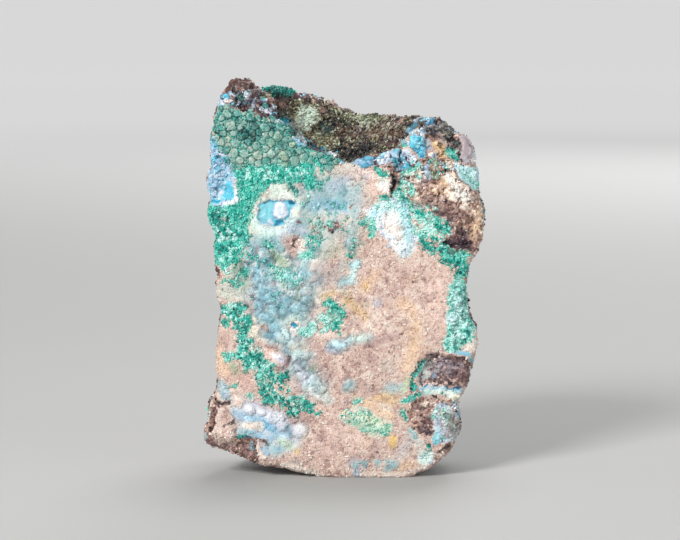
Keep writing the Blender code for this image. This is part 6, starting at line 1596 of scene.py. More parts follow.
# ---- Relief ---------------------------------------------------------------------------------------
def domes(points, size, seed):
    """Packed round tops, 0 to 1."""
    nearest, second, own, _ = crystals(points, size, seed)
    return np.sqrt(np.clip(second - nearest, 0, 0.5) * 2) * (0.6 + 0.4 * own)


def chips(points, size, seed):
    """Broken flat facets, each tilted its own way, about -1 to 1."""
    _, _, own, way = crystals(points, size, seed)
    turn = own * 2 * math.pi * 7
    slope = way[:, 0] * np.cos(turn) + way[:, 2] * np.sin(turn) + way[:, 1] * np.cos(3 * turn)
    return slope * 1.2 + own - 0.5


def relief(paint, points):
    """How far each place stands out from the smoothed solid, in mm."""
    front = paint.above_front
    rolling = 0.3 * cloud(points, 6.0, 71, 2)
    height = rolling * front
    height += paint.of("druse") * (0.22 * cloud(points, 2.0, 73, 3) + 0.08 * cloud(points, 0.6, 75, 1))
    net = smooth(NET_TOP + 1, NET_TOP - 2, paint.true_up)
    green = 0.14 * domes(points, GREEN_CLUMP, GREEN_SEED) + (0.10 + 0.30 * net) * domes(points, 2.2, 78)
    height += paint.of("malachite") * (green - 0.3)
    height += paint.of("knob") * -0.35
    height += paint.of("chrysocolla") * (0.14 * chips(points, 1.3, 79) + 0.08 * cloud(points, 0.7, 81, 2))
    lumpy = 0.25 + 0.40 * smooth(52, 46, paint.true_up) * smooth(14, 24, paint.true_up)
    height += paint.of("chalcedony") * lumpy * (domes(points, LUMP_SIZE, LUMP_SEED) - 0.5)
    height += paint.of("matrix") * (0.42 * chips(points, 3.0, 85) + 0.22 * chips(points, 1.1, 87))
    height += paint.of("lining") * (0.30 * cloud(points, 1.3, 89, 2))
    for rise, softness, shape in one_by_one(STEPS, 2):
        near, weight = paint.cover(shape, softness)
        height[near] += rise * weight * front[near]
    height += paint.broken
    lumps = np.zeros(len(points))
    across = paint.true_across + 0.5 * paint.wander[0]
    up = paint.true_up + 0.5 * paint.wander[1]
    for x, v, radius, rise in LUMPS:
        reach = np.clip(1 - ((across - x) ** 2 + (up - v) ** 2) / radius**2, 0, 1)
        lumps = np.maximum(lumps, rise * np.sqrt(reach))
    return height + lumps * front


# ---- Meshes ---------------------------------------------------------------------------------------
def mesh_object(name, points, faces, smooth_faces):
    """A mesh object from points in mm."""
    mesh = bpy.data.meshes.new(name)
    mesh.from_pydata((np.asarray(points) * MM).tolist(), [], np.asarray(faces).tolist())
    mesh.polygons.foreach_set("use_smooth", [smooth_faces] * len(mesh.polygons))
    mesh.update()
    piece = bpy.data.objects.new(name, mesh)
    bpy.context.scene.collection.objects.link(piece)
    return piece


def set_values(mesh, name, values):
    """Stores one number for each point, for the material to read."""
    mesh.attributes.new(name, "FLOAT", "POINT").data.foreach_set("value", np.asarray(values, np.float32))


def set_wash(mesh, wash):
    """Keeps the washes' colour, and their strength as its alpha."""
    kept = mesh.attributes.new("wash", "FLOAT_COLOR", "POINT")
    kept.data.foreach_set("color", wash.astype(np.float32).ravel())


def read_values(mesh, name):
    """The numbers that set_values stored."""
    values = np.empty(len(mesh.vertices), np.float32)
    mesh.attributes[name].data.foreach_get("value", values)
    return values


def mesh_points(mesh):
    """The mesh's points, in mm."""
    points = np.empty(len(mesh.vertices) * 3)
    mesh.vertices.foreach_get("co", points)
    return points.reshape(-1, 3) / MM


def mesh_normals(mesh):
    """The direction that each point faces."""
    normals = np.empty(len(mesh.vertices) * 3)
    mesh.vertex_normals.foreach_get("vector", normals)
    return normals.reshape(-1, 3)


def mesh_edges(mesh):
    """The two points of each edge."""
    edges = np.empty(len(mesh.edges) * 2, np.int32)
    mesh.edges.foreach_get("vertices", edges)
    return edges.reshape(-1, 2)


def spread(values, edges, rounds):
    """Averages each value with its neighbours' values."""
    count = np.bincount(edges.ravel(), minlength=len(values))
    for _ in range(rounds):
        total = np.bincount(edges[:, 0], values[edges[:, 1]], len(values))
        total += np.bincount(edges[:, 1], values[edges[:, 0]], len(values))
        values = 0.5 * values + 0.5 * total / np.maximum(count, 1)
    return values


def fine_mesh(node):
    """A fine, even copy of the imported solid, finest at the front."""
    shape = bmesh.new()
    shape.from_mesh(node.data)
    bmesh.ops.remove_doubles(shape, verts=shape.verts, dist=1e-6)
    mesh = bpy.data.meshes.new("skin")
    shape.to_mesh(mesh)
    shape.free()
    piece = bpy.data.objects.new("rock_and_crust", mesh)
    bpy.context.scene.collection.objects.link(piece)
    remesh = piece.modifiers.new("even", "REMESH")
    remesh.mode = "VOXEL"
    remesh.voxel_size = SKIN_CELL * MM
    soften = piece.modifiers.new("soften", "SMOOTH")
    soften.factor = 0.5
    soften.iterations = SKIN_SMOOTHING
    apply_modifiers(piece)
    shape = bmesh.new()
    shape.from_mesh(piece.data)
    halve(shape, lambda spot: True)
    halve(shape, in_detail_box)
    shape.to_mesh(piece.data)
    shape.free()
    return piece


def halve(shape, wanted):
    """Halves the edges of the front's faces where they are wanted."""
    limit = FRONT_SUBDIVIDED_Y * MM
    chosen = set()
    for face in shape.faces:
        spot = face.calc_center_median()
        if spot.y < limit and face.normal.y < -0.2 and wanted(spot):
            chosen.update(face.edges)
    bmesh.ops.subdivide_edges(shape, edges=list(chosen), cuts=1, use_grid_fill=True)
    bmesh.ops.triangulate(shape, faces=[face for face in shape.faces if len(face.verts) > 4])


def in_detail_box(spot):
    """Whether a place lies in one of the areas with the finest mesh."""
    across = spot.x / MM
    up = (spot.z / MM) * math.cos(VIEW_RISE) + (spot.y / MM - FOOT_EDGE_Y) * math.sin(VIEW_RISE)
    return any(x0 < across < x1 and v0 < up < v1 for x0, v0, x1, v1 in DETAIL_BOXES)


def apply_modifiers(piece):
    """Turns what the modifiers make into the piece's own mesh."""
    graph = bpy.context.evaluated_depsgraph_get()
    mesh = bpy.data.meshes.new_from_object(piece.evaluated_get(graph))
    piece.modifiers.clear()
    piece.data = mesh


def make_skin(node):
    """The whole rock with its crust, sculpted and painted."""
    piece = fine_mesh(node)
    mesh = piece.data
    points = mesh_points(mesh)
    edges = mesh_edges(mesh)
    points = np.stack([spread(points[:, axis], edges, 2) for axis in range(3)], axis=1)
    mesh.vertices.foreach_set("co", (points * MM).ravel())
    mesh.update()
    normals = mesh_normals(mesh)
    paint = Paint(points)
    height = relief(paint, points)
    off_floor = smooth(*FOOT_FADE, points[:, 2])
    moved = points + normals * (height * off_floor)[:, None]
    moved[:, 2] = np.maximum(moved[:, 2], 0)
    mesh.vertices.foreach_set("co", (moved * MM).ravel())
    mesh.polygons.foreach_set("use_smooth", [True] * len(mesh.polygons))
    mesh.update()
    # Painted shade: darkens each place by how far it lies below its neighbours, in crevices and hollows.
    gap = np.clip((spread(height, edges, 4) - height) / CREVICE_SHADE_DEPTH, 0, 1)
    for mineral in MINERALS:
        set_values(mesh, mineral, paint.of(mineral))
        set_values(mesh, mineral + TONE, paint.tone_of(mineral))
    set_wash(mesh, paint.wash)
    set_values(mesh, "gap", gap)
    set_values(mesh, "bare", paint.bare)
    return piece


# ---- Grains ---------------------------------------------------------------------------------------
def ring_template(rings, sides, top):
    """A closed round form: rings of (radius, height) from the bottom up, and a point on top."""
    turn = np.arange(sides) * 2 * math.pi / sides
    points = [(r * math.cos(a), r * math.sin(a), h) for r, h in rings for a in turn]
    points.append((0, 0, top))
    faces = [(0, k + 1, k) for k in range(1, sides - 1)]
    for level in range(len(rings) - 1):
        for k in range(sides):
            a = level * sides + k
            b = level * sides + (k + 1) % sides
            faces += [(a, b, b + sides), (a, b + sides, a + sides)]
    last = (len(rings) - 1) * sides
    faces += [(last + k, last + (k + 1) % sides, len(points) - 1) for k in range(sides)]
    return np.array(points), np.array(faces)


CRYSTAL = ring_template([(1.0, -0.25)], 6, 1.0)
BUD = ring_template([(0.75, -0.5), (1.0, 0.25), (0.66, 0.8)], 6, 1.0)
CHIP = ring_template([(0.9, -0.5), (0.85, 0.5)], 5, 0.85)
SHARD = ring_template([(0.95, -0.5), (0.8, 0.5)], 4, 0.85)
STRETCH = 0.30                     # how much longer than wide a grain may be
SAMPLE_TRIES = 3.0                 # random places tried for each one wanted
FLOOR_CLEARANCE = 0.01             # no grain reaches lower than this
RAY_START = 60.0                   # how far in front of the specimen a ray starts
KNOB_SIDES = 22
KNOB_RINGS = [(0.8, -0.8), (0.96, -0.2), (1.0, 0.2), (0.93, 0.5), (0.78, 0.72), (0.54, 0.86), (0.28, 0.94)]
KNOB_TOP = 0.96
KNOB_HEIGHT = 0.55
KNOB_GAP = 0.06
KNOB_SPREAD = 1.45                 # how far past its radius a knob may fill a free space
KNOB_NEIGHBOURS = 3.6              # how far off a knob's neighbours may be


def search_tree(points):
    """A tree that finds the points near a place."""
    tree = KDTree(len(points))
    for index, point in enumerate(points):
        tree.insert(point, index)
    tree.balance()
    return tree


def surface_samples(piece, weight_of, spacing, seed):
    """Random places on a piece where a mineral lies, at least a spacing apart, with their normals."""
    mesh = piece.data
    mesh.calc_loop_triangles()
    corners = np.empty(len(mesh.loop_triangles) * 3, np.int32)
    mesh.loop_triangles.foreach_get("vertices", corners)
    corners = corners.reshape(-1, 3)
    points = mesh_points(mesh)
    normals = mesh_normals(mesh)
    a, b, c = (points[corners[:, k]] for k in range(3))
    area = 0.5 * np.linalg.norm(np.cross(b - a, c - a), axis=1)
    weight = weight_of(mesh)[corners].mean(axis=1)
    chance = np.cumsum(area * weight)
    random = np.random.default_rng(seed)
    wanted = int(chance[-1] / spacing**2 * SAMPLE_TRIES)
    pick = np.searchsorted(chance, random.random(wanted) * chance[-1])
    pick = np.minimum(pick, len(corners) - 1)
    along = random.random((wanted, 2))
    folded = along.sum(axis=1) > 1
    along[folded] = 1 - along[folded]
    p, q = along[:, :1], along[:, 1:]
    chosen = corners[pick]
    place = points[chosen[:, 0]] * (1 - p - q) + points[chosen[:, 1]] * p + points[chosen[:, 2]] * q
    facing = normals[chosen].mean(axis=1)
    facing /= np.linalg.norm(facing, axis=1, keepdims=True)
    kept = thin_out(place, spacing)
    return place[kept], facing[kept]


def thin_out(points, spacing):
    """Drops places that crowd an earlier one."""
    tree = search_tree(points)
    kept = []
    gone = np.zeros(len(points), bool)
    for place, point in enumerate(points):
        if gone[place]:
            continue
        kept.append(place)
        for _, other, _ in tree.find_range(point, spacing):
            gone[other] = True
    return np.array(kept, int)


def grains(name, template, places, normals, width, height, seed, tilt=0.35, sink=0.0, jitter=0.12,
           shaded=True, foot=1.0):
    """One mesh of many grains: each stands on its place, leaning its own way."""
    random = np.random.default_rng(seed)
    count = len(places)
    lean = normals + tilt * random.normal(size=(count, 3)) * 0.6
    lean /= np.linalg.norm(lean, axis=1, keepdims=True)
    side = np.cross(lean, random.normal(size=(count, 3)))
    side /= np.linalg.norm(side, axis=1, keepdims=True)
    other = np.cross(lean, side)
    form, faces = template
    wide = (np.asarray(width) * np.ones(count))[:, None, None]
    tall = (np.asarray(height) * np.ones(count))[:, None, None]
    loose = form[None] + jitter * random.normal(size=(count, len(form), 3)) * 0.6
    longer = np.exp(STRETCH * np.clip(random.normal(size=count), -1.5, 1.5))
    loose[..., 0] *= longer[:, None]
    loose[..., 1] /= longer[:, None]
    points = places[:, None] - (sink * lean)[:, None]
    points = points + wide * (loose[..., :1] * side[:, None] + loose[..., 1:2] * other[:, None])
    points = points + tall * loose[..., 2:] * lean[:, None]
    points = points.reshape(-1, 3)
    points[:, 2] = np.maximum(points[:, 2], FLOOR_CLEARANCE)
    all_faces = (faces[None] + (np.arange(count) * len(form))[:, None, None]).reshape(-1, 3)
    piece = mesh_object(name, points, all_faces, shaded)
    rise = np.tile(np.clip(form[:, 2], 0, 1), count)
    # Painted shade at each grain's foot, where it meets the surface; foot sets how strong it is.
    set_values(piece.data, "gap", foot * smooth(0.5, 0.0, rise))
    return piece


def tint(piece, places, template, seed, scatter, minerals, shift=0.0, tone_from=None):
    """Gives each grain the tone of the crust at its place, lighter or darker by chance."""
    random = np.random.default_rng(seed)
    paint = Paint(places)
    shift = shift + scatter * random.normal(size=len(places))
    odd_tints = ODD_TINTS[minerals[0]]
    pick = random.integers(0, len(odd_tints), len(places))
    strength = ODD_STRENGTH * random.random(len(places)) ** 2 * np.clip(paint.of(minerals[0]), 0, 1) ** 2
    strength *= 1 - 0.7 * paint.wash[:, 3]
    for number, odd in enumerate(odd_tints):
        chosen = np.flatnonzero(pick == number)
        paint.tinge(odd, strength[chosen], chosen)
    repeat = len(template[0])
    mesh = piece.data
    set_wash(mesh, np.repeat(paint.wash, repeat, axis=0))
    for mineral in minerals:
        tone = paint.tone_of(tone_from or mineral) + shift
        set_values(mesh, mineral + TONE, np.repeat(np.clip(tone, 0, 1), repeat))
        set_values(mesh, mineral, np.repeat(paint.of(mineral) + 1e-4, repeat))


def weight_of(mineral, low=0.35, high=0.75, tones=(-1.0, 2.0), back=1.0):
    """Says how thickly grains of a mineral grow at each point of the skin."""
    def weight(mesh):
        share = smooth(low, high, read_values(mesh, mineral)) * (1 - read_values(mesh, "bare"))
        tone = read_values(mesh, mineral + TONE)
        share = share * ((tone > tones[0]) & (tone < tones[1]))
        return share * np.where(mesh_points(mesh)[:, 1] < FRONT_SUBDIVIDED_Y, 1.0, back)
    return weight


def sizes(count, typical, spread_share, seed):
    """Grain sizes round a typical one, without odd giants."""
    random = np.random.default_rng(seed)
    return typical * np.exp(spread_share * np.clip(random.normal(size=count), -2, 1.6))


def grow(name, form, surface, thickness, minerals, seed, spacing, width, varies, tall, scatter,
         shift=0.0, tone_from=None, **stance):
    """Scatters grains over a surface where they grow, and gives each the tone of its place.

    Spacing and width are in mm, varies is the spread of the widths, and tall is height over width."""
    places, normals = surface_samples(surface, thickness, spacing, seed)
    width = sizes(len(places), width, varies, seed + 1)
    piece = grains(name, form, places, normals, width, width * tall, seed + 2, **stance)
    tint(piece, places, form, seed + 3, scatter, minerals, shift, tone_from)
    return piece, places


def make_druse(skin):
    """Sugary quartz: small pointed crystals over the pink ground."""
    return grow("quartz_druse", CRYSTAL, skin, weight_of("druse", 0.38, 0.7),
                ["druse", "chalcedony"], seed=101,
                spacing=0.30, width=0.22, varies=0.45, tall=0.7, scatter=0.12,
                tilt=0.7, sink=0.02, shaded=False, foot=0.35)[0]


def make_frost(skin):
    """The thinner frosting of quartz on the rounded blue-grey lumps."""
    return grow("frosted_chalcedony", CRYSTAL, skin, weight_of("chalcedony", 0.3, 0.8),
                ["chalcedony", "druse"], seed=171,
                spacing=0.38, width=0.24, varies=0.30, tall=0.6, scatter=0.10,
                tilt=0.5, sink=0.04, shaded=False, foot=0.3)[0]


def make_malachite(skin):
    """Sharp green grains over the malachite."""
    return grow("malachite_grains", SHARD, skin, weight_of("malachite", 0.3, 0.7), ["malachite"], seed=111,
                spacing=0.29, width=0.20, varies=0.35, tall=1.6, scatter=0.14,
                tilt=0.8, jitter=0.25, shaded=False, foot=0.8)[0]


def make_knobs(skin):
    """Grey-green round knobs, packed so that only thin gaps stay open between them; painted shade darkens the
    gaps.
    """
    tree = BVHTree.FromObject(skin, bpy.context.evaluated_depsgraph_get())
    found = [(*front_hit(tree, across, up), radius) for across, up, radius in KNOBS]
    found = [knob for knob in found if knob[0] is not None]
    near = search_tree([knob[0] for knob in found])
    random = np.random.default_rng(122)
    for place, normal in zip(*surface_samples(skin, weight_of("knob", 0.4, 0.7), 1.0, 121)):
        _, index, gap = near.find(place)
        if gap > found[index][2] * 0.8 + 0.4:
            found.append((place, normal, 0.45 + 0.35 * random.random()))
    piece, template, places = cushions("grey_green_knobs", found, 123)
    tint(piece, places, template, 124, 0.09, ["knob"])
    middle = np.hypot(template[0][:, 0], template[0][:, 1])
    # Painted shade darkens each knob's lower flank; a lighter ring runs round its shoulder.
    flank_shade = 0.50 * smooth(0.72, 1.0, middle) * smooth(0.9, 0.2, template[0][:, 2])
    rim = 0.20 * smooth(0.6, 0.8, middle) * smooth(0.4, 0.6, template[0][:, 2])
    tone = read_values(piece.data, "knob" + TONE) + 0.08 + np.tile(flank_shade - rim, len(places))
    points = mesh_points(piece.data)
    tone += 0.34 * cloud(points, 1.3, 125, 2) + 0.30 * cloud(points, 0.6, 127, 2)
    piece.data.attributes["knob" + TONE].data.foreach_set("value", np.clip(tone, 0, 1).astype(np.float32))
    return piece


def make_knob_frosting(_skin):
    """Fine crystals over the knobs, each with the tone of its place on the knob."""
    knobs = bpy.data.objects["grey_green_knobs"]
    piece, places = grow("knob_frosting", CRYSTAL, knobs, knob_tops, ["knob"], seed=181,
                         spacing=0.36, width=0.22, varies=0.3, tall=0.7, scatter=0.0,
                         tilt=0.5, sink=0.04, shaded=False, foot=0.12)
    near = search_tree(mesh_points(knobs.data))
    closest = [near.find(place)[1] for place in places]
    random = np.random.default_rng(185)
    tone = read_values(knobs.data, "knob" + TONE)[closest] + 0.10 * random.normal(size=len(places))
    tone = np.repeat(np.clip(tone, 0, 1), len(CRYSTAL[0]))
    piece.data.attributes["knob" + TONE].data.foreach_set("value", tone.astype(np.float32))
    return piece


def knob_tops(mesh):
    """Says how thickly crystals grow at each point of the knobs: thickly on top, not in the gaps."""
    return 1 - read_values(mesh, "gap")


def cushions(name, knobs, seed):
    """Flat-topped knobs whose outlines stop halfway to their neighbours."""
    places = np.array([knob[0] for knob in knobs])
    normals = np.array([knob[1] for knob in knobs])
    radii = np.array([knob[2] for knob in knobs])
    random = np.random.default_rng(seed)
    tree = search_tree(places)
    turn = np.arange(KNOB_SIDES) * 2 * math.pi / KNOB_SIDES
    template = ring_template(KNOB_RINGS, KNOB_SIDES, KNOB_TOP)
    form, faces = template
    blocks = []
    for index, (place, normal, radius) in enumerate(zip(places, normals, radii)):
        side = np.cross(normal, (0.0, 0.0, 1.0) if abs(normal[2]) < 0.9 else (1.0, 0.0, 0.0))
        side /= np.linalg.norm(side)
        other = np.cross(normal, side)
        reach = np.full(KNOB_SIDES, radius * KNOB_SPREAD)
        for _, neighbour, _ in tree.find_range(place, KNOB_NEIGHBOURS):
            if neighbour == index:
                continue
            way = places[neighbour] - place
            across, along = way @ side, way @ other
            distance = math.hypot(across, along)
            limit = distance * radius / (radius + radii[neighbour]) - KNOB_GAP
            facing = np.cos(turn - math.atan2(along, across))
            reach = np.where(facing > 0.15, np.minimum(reach, limit / np.maximum(facing, 0.15)), reach)
        free = 1 - 0.16 * (1 + np.sin(2 * turn + 7 * random.random()))
        free = free - 0.07 * np.sin(5 * turn + 7 * random.random())
        reach = np.minimum(reach, radius * KNOB_SPREAD * free)
        reach = np.maximum(reach, 0.3 * radius)
        reach = 0.5 * reach + 0.25 * (np.roll(reach, 1) + np.roll(reach, -1))
        rings = len(KNOB_RINGS)
        wide = np.append(np.tile(reach, rings), 0.0)
        tall = KNOB_HEIGHT * radius * (0.8 + 0.4 * random.random())
        points = place + (form[:, :1] * side + form[:, 1:2] * other) * wide[:, None]
        blocks.append(points + form[:, 2:] * tall * normal)
    points = np.concatenate(blocks)
    outward = points - np.repeat(places, len(form), axis=0)
    outward /= np.linalg.norm(outward, axis=1, keepdims=True)
    uneven = 0.16 * cloud(points, 0.42, seed, 2) + 0.22 * cloud(points, 1.0, seed + 5, 2)
    points = points + outward * uneven[:, None]
    all_faces = (faces[None] + (np.arange(len(places)) * len(form))[:, None, None]).reshape(-1, 3)
    piece = mesh_object(name, points, all_faces, True)
    # Painted shade: darker towards each knob's foot, where the gaps between knobs are.
    set_values(piece.data, "gap", np.tile(smooth(0.62, 0.1, form[:, 2]), len(places)))
    return piece, template, places


def make_small_green(skin):
    """Fine green grains that fill the gaps between the knobs."""
    return grow("green_gap_grains", BUD, skin, weight_of("knob", 0.4, 0.8), ["malachite"], seed=131,
                spacing=0.45, width=0.22, varies=0.2, tall=1.3, scatter=0.16, shift=0.30, tone_from="knob",
                tilt=0.5)[0]


def make_lining(skin):
    """Olive and brown chips that line the hollow."""
    return grow("hollow_lining", CHIP, skin, weight_of("lining", 0.3, 0.7), ["lining"], seed=141,
                spacing=0.44, width=0.30, varies=0.3, tall=1.3, scatter=0.24,
                tilt=0.8, jitter=0.3, shaded=False)[0]


def make_chips(skin):
    """Chips of the broken rock, thinly scattered behind the front."""
    return grow("rock_chips", CHIP, skin, weight_of("matrix", 0.4, 0.8, back=0.25), ["matrix"], seed=151,
                spacing=0.6, width=0.28, varies=0.35, tall=0.8, scatter=0.2,
                tilt=0.9, sink=0.1, jitter=0.3, shaded=False)[0]


def make_blue_grains(skin):
    """Crusty blue-white grains, left off the smooth blue faces."""
    return grow("chrysocolla_grains", CHIP, skin, weight_of("chrysocolla", 0.5, 0.8, (-1, 0.40)),
                ["chrysocolla"], seed=161,
                spacing=0.46, width=0.28, varies=0.3, tall=1.0, scatter=0.10,
                tilt=0.7, sink=0.06, jitter=0.25, shaded=False)[0]


def front_hit(tree, across, up):
    """The first place of the rock behind a place of the front view, in mm, with its normal."""
    look, rise = view_directions()
    start = (Vector((across, FOOT_EDGE_Y, 0)) + rise * up - look * RAY_START) * MM
    hit, normal, _, _ = tree.ray_cast(start, look)
    if hit is None:
        return None, None
    return np.array(hit) / MM, np.array(normal)


# ---- Materials ------------------------------------------------------------------------------------
def linear(colour):
    """sRGB, 0 to 255, as Blender's linear colour."""
    parts = [part / 255 for part in colour]
    parts = [part / 12.92 if part <= 0.04045 else ((part + 0.055) / 1.055) ** 2.4 for part in parts]
    return (*parts, 1.0)


class Tree:
    """Short ways to add nodes and join them."""

    def __init__(self, tree):
        self.tree = tree

    def join(self, output, socket):
        """Links an output to an input."""
        self.tree.links.new(output, socket)

    def node(self, kind, settings=None, **inputs):
        """A new node. Inputs are named, or numbered as i0, i1 and so on, and take values or outputs."""
        made = self.tree.nodes.new(kind)
        for name, value in (settings or {}).items():
            setattr(made, name, value)
        for name, value in inputs.items():
            place = int(name[1:]) if name[0] == "i" and name[1:].isdigit() else name
            socket = made.inputs[place]
            if isinstance(value, bpy.types.NodeSocket):
                self.join(value, socket)
            else:
                socket.default_value = value
        return made

    def maths(self, operation, first, second=0.0, third=0.0):
        """A sum on values or outputs."""
        settings = {"operation": operation}
        return self.node("ShaderNodeMath", settings, i0=first, i1=second, i2=third).outputs[0]

    def mix(self, share, first, second, blend="MIX"):
        """The second colour over the first, by its share."""
        made = self.node("ShaderNodeMixRGB", {"blend_type": blend}, i0=share, i1=first, i2=second)
        return made.outputs[0]

    def value(self, name):
        """A number that the mesh keeps for each point."""
        return self.node("ShaderNodeAttribute", {"attribute_name": name}).outputs["Fac"]

    def ramp(self, factor, stops):
        """A colour along a ramp of (place, colour) stops."""
        made = self.node("ShaderNodeValToRGB", i0=factor)
        points = made.color_ramp.elements
        while len(points) < len(stops):
            points.new(0.5)
        for point, (place, colour) in zip(points, stops):
            point.position = place
            point.color = linear(colour)
        return made.outputs["Color"]


def new_material(name):
    """A node material, its shader and the short ways to add to it."""
    material = bpy.data.materials.new(name)
    material.use_nodes = True
    return material, material.node_tree.nodes["Principled BSDF"], Tree(material.node_tree)


def textures(tree):
    """The patterns that the minerals share: fine and coarse mottling and separate small grains."""
    place = tree.node("ShaderNodeTexCoord").outputs["Object"]
    fine = tree.node("ShaderNodeTexNoise", Vector=place, Scale=1 / (0.45 * MM), Detail=2.0).outputs["Fac"]
    coarse = tree.node("ShaderNodeTexNoise", Vector=place, Scale=1 / (2.0 * MM), Detail=3.0).outputs["Fac"]
    cells = tree.node("ShaderNodeTexVoronoi", Vector=place, Scale=1 / (0.5 * MM))
    speck = tree.node("ShaderNodeSeparateColor", i0=cells.outputs["Color"]).outputs[0]
    return fine, coarse, speck


# How far fine mottling, coarse mottling and single grains move each mineral's tone.
MOTTLE = {
    "druse": (0.30, 0.30, 0.10), "malachite": (0.34, 0.30, 0.20), "knob": (0.45, 0.30, 0.10),
    "chrysocolla": (0.22, 0.24, 0.06), "chalcedony": (0.30, 0.30, 0.06), "matrix": (0.65, 0.45, 0.25),
    "lining": (0.60, 0.40, 0.40),
}


def wash_colour(tree, tone, patterns):
    """The washes' colour with the stone's own mottling, and their strength."""
    node = tree.node("ShaderNodeAttribute", {"attribute_name": "wash"})
    light = tree.maths("MULTIPLY_ADD", tone, -0.45, 1.16)
    light = tree.maths("MULTIPLY_ADD", patterns[0], 0.50, tree.maths("ADD", light, -0.25))
    light = tree.maths("MULTIPLY_ADD", patterns[1], 0.40, tree.maths("ADD", light, -0.20))
    return tree.mix(1.0, node.outputs["Color"], light, "MULTIPLY"), node.outputs["Alpha"]


def mineral_colour(tree, mineral, gap, patterns):
    """A mineral's colour along its tone, with its mottling, washes and painted shade in crevices."""
    tone = tree.value(mineral + TONE)
    wash = wash_colour(tree, tone, patterns)
    for pattern, strength in zip(patterns, MOTTLE[mineral]):
        part = tree.maths("MULTIPLY_ADD", pattern, strength, -0.5 * strength)
        tone = tree.maths("ADD", tone, part)
    colour = tree.ramp(tone, RAMPS[mineral])
    colour = tree.mix(wash[1], colour, wash[0])
    # Painted shade: the gap attribute darkens crevices and the feet of grains.
    shade = tree.maths("MULTIPLY", gap, CREVICE_SHADE_STRENGTH[mineral])
    return tree.mix(shade, colour, linear(CREVICE_SHADE_COLOURS[mineral]))


def stone_material(name, minerals, roughness):
    """One stone: the colours of its minerals, each by its share."""
    material, shader, tree = new_material(name)
    patterns = textures(tree)
    gap = tree.value("gap")
    colour = mineral_colour(tree, minerals[0], gap, patterns)
    if len(minerals) > 1:
        total = tree.value(minerals[0])
        for mineral in minerals[1:]:
            share = tree.value(mineral)
            total = tree.maths("ADD", total, share)
            part = tree.maths("DIVIDE", share, total)
            colour = tree.mix(part, colour, mineral_colour(tree, mineral, gap, patterns))
    bump = tree.node("ShaderNodeBump", Strength=0.5, Distance=0.12 * MM, Height=patterns[0])
    tree.join(colour, shader.inputs["Base Color"])
    tree.join(bump.outputs["Normal"], shader.inputs["Normal"])
    shader.inputs["Roughness"].default_value = roughness
    return material


def finish_piece(piece, material):
    """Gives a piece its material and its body."""
    piece.data.materials.clear()
    piece.data.materials.append(material)
    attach(piece, BODY)


# ---- Floor, light and camera ----------------------------------------------------------------------
def floor_material():
    """Plain pale floor: it glows more with distance, where the lamps no longer reach."""
    material, shader, tree = new_material("pale_floor")
    place = tree.node("ShaderNodeTexCoord").outputs["Object"]
    distance = tree.node("ShaderNodeVectorMath", {"operation": "LENGTH"}, i0=place).outputs["Value"]
    far = tree.node("ShaderNodeMapRange", {"interpolation_type": "SMOOTHSTEP"}, Value=distance)
    far.inputs["From Min"].default_value = FLOOR_GLOW_START
    far.inputs["From Max"].default_value = FLOOR_GLOW_FULL
    far.inputs["To Max"].default_value = FLOOR_GLOW
    tree.join(far.outputs["Result"], shader.inputs["Emission Strength"])
    shader.inputs["Emission Color"].default_value = (1, 1, 1, 1)
    shader.inputs["Base Color"].default_value = linear(FLOOR_COLOUR)
    shader.inputs["Roughness"].default_value = 0.85
    return material


def make_floor():
    """A wide pale floor that curves up and glows softly far away, so that no horizon shows."""
    profile = [(FLOOR_FLAT, 0.0)]
    for turn in np.linspace(0.15, 1.5, 10):
        across = FLOOR_FLAT + FLOOR_BEND * math.sin(turn)
        profile.append((across, FLOOR_BEND - FLOOR_BEND * math.cos(turn)))
    profile.append(FLOOR_RIM)
    turns = np.arange(FLOOR_SIDES) * 2 * math.pi / FLOOR_SIDES
    points = [(0.0, 0.0, 0.0)]
    for across, up in profile:
        points += [(across * math.cos(turn), across * math.sin(turn), up) for turn in turns]
    faces = []
    for side in range(FLOOR_SIDES):
        after = (side + 1) % FLOOR_SIDES
        faces.append((0, 1 + side, 1 + after))
        for ring in range(len(profile) - 1):
            inner = 1 + ring * FLOOR_SIDES
            outer = inner + FLOOR_SIDES
            faces.append((inner + side, outer + side, outer + after, inner + after))
    mesh = bpy.data.meshes.new("floor")
    mesh.from_pydata(points, [], faces)
    mesh.polygons.foreach_set("use_smooth", [True] * len(mesh.polygons))
    floor = bpy.data.objects.new("floor", mesh)
    floor.data.materials.append(floor_material())
    bpy.context.scene.collection.objects.link(floor)


def add_light(name, place, size, power, colour):
    """A square soft light aimed at the specimen's middle."""
    lamp = bpy.data.lights.new(name, "AREA")
    lamp.size = size
    lamp.energy = power
    lamp.color = colour
    lit = bpy.data.objects.new(name, lamp)
    lit.location = place
    aim = Vector(LIGHTS_AIM) - Vector(place)
    lit.rotation_euler = aim.to_track_quat("-Z", "Y").to_euler()
    bpy.context.scene.collection.objects.link(lit)


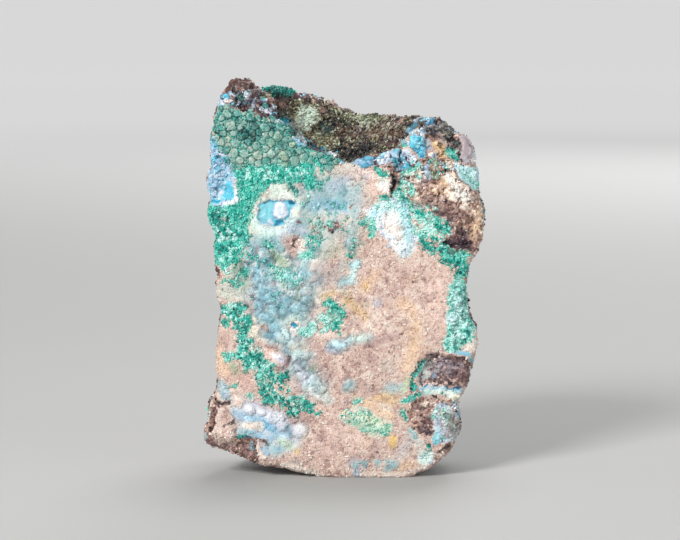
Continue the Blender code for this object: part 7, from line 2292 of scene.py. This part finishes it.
def light_scene():
    """Soft studio light: a warm key, a cool fill, and weaker light from above and behind."""
    for light in LIGHTS:
        add_light(*light)
    world = bpy.data.worlds.new("studio")
    world.use_nodes = True
    sky = world.node_tree.nodes["Background"]
    sky.inputs["Color"].default_value = SKY_COLOUR
    sky.inputs["Strength"].default_value = SKY_STRENGTH
    bpy.context.scene.world = world
    bpy.context.scene.view_settings.view_transform = "Standard"


def place_camera():
    """Looks down at the front by the view's angle, with the photographed framing."""
    camera = bpy.data.objects.new("camera", bpy.data.cameras.new("camera"))
    camera.data.lens = LENS
    camera.data.sensor_width = SENSOR
    camera.data.clip_end = 50
    look, rise = view_directions()
    middle = Vector((IMAGE_MIDDLE[0], FOOT_EDGE_Y, 0)) + rise * IMAGE_MIDDLE[1]
    away = IMAGE[0] * MM_PER_PIXEL * LENS / SENSOR
    camera.location = (middle - look * away) * MM
    camera.rotation_euler = look.to_track_quat("-Z", "Y").to_euler()
    bpy.context.scene.collection.objects.link(camera)
    bpy.context.scene.camera = camera


# ---- The scene ------------------------------------------------------------------------------------
def build():
    """The skin first, and then what grows on it."""
    skin = make_skin(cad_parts[NODE])
    finish_piece(skin, stone_material(skin.name, MINERALS, SKIN_ROUGHNESS))
    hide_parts(NODE)
    makers = [
        (make_druse, ["druse", "chalcedony"]), (make_frost, ["chalcedony", "druse"]),
        (make_malachite, ["malachite"]), (make_knobs, ["knob"]), (make_knob_frosting, ["knob"]),
        (make_small_green, ["malachite"]), (make_lining, ["lining"]), (make_chips, ["matrix"]),
        (make_blue_grains, ["chrysocolla"]),
    ]
    for make, minerals in makers:
        piece = make(skin)
        finish_piece(piece, stone_material(piece.name, minerals, ROUGHNESS[minerals[0]]))


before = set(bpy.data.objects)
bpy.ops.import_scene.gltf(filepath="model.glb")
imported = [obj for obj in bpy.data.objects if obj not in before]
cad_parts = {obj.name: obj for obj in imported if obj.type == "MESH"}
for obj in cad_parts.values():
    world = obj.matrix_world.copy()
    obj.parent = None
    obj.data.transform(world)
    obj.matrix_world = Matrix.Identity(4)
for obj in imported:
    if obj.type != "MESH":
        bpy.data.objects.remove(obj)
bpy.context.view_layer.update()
build()
make_floor()
light_scene()
place_camera()
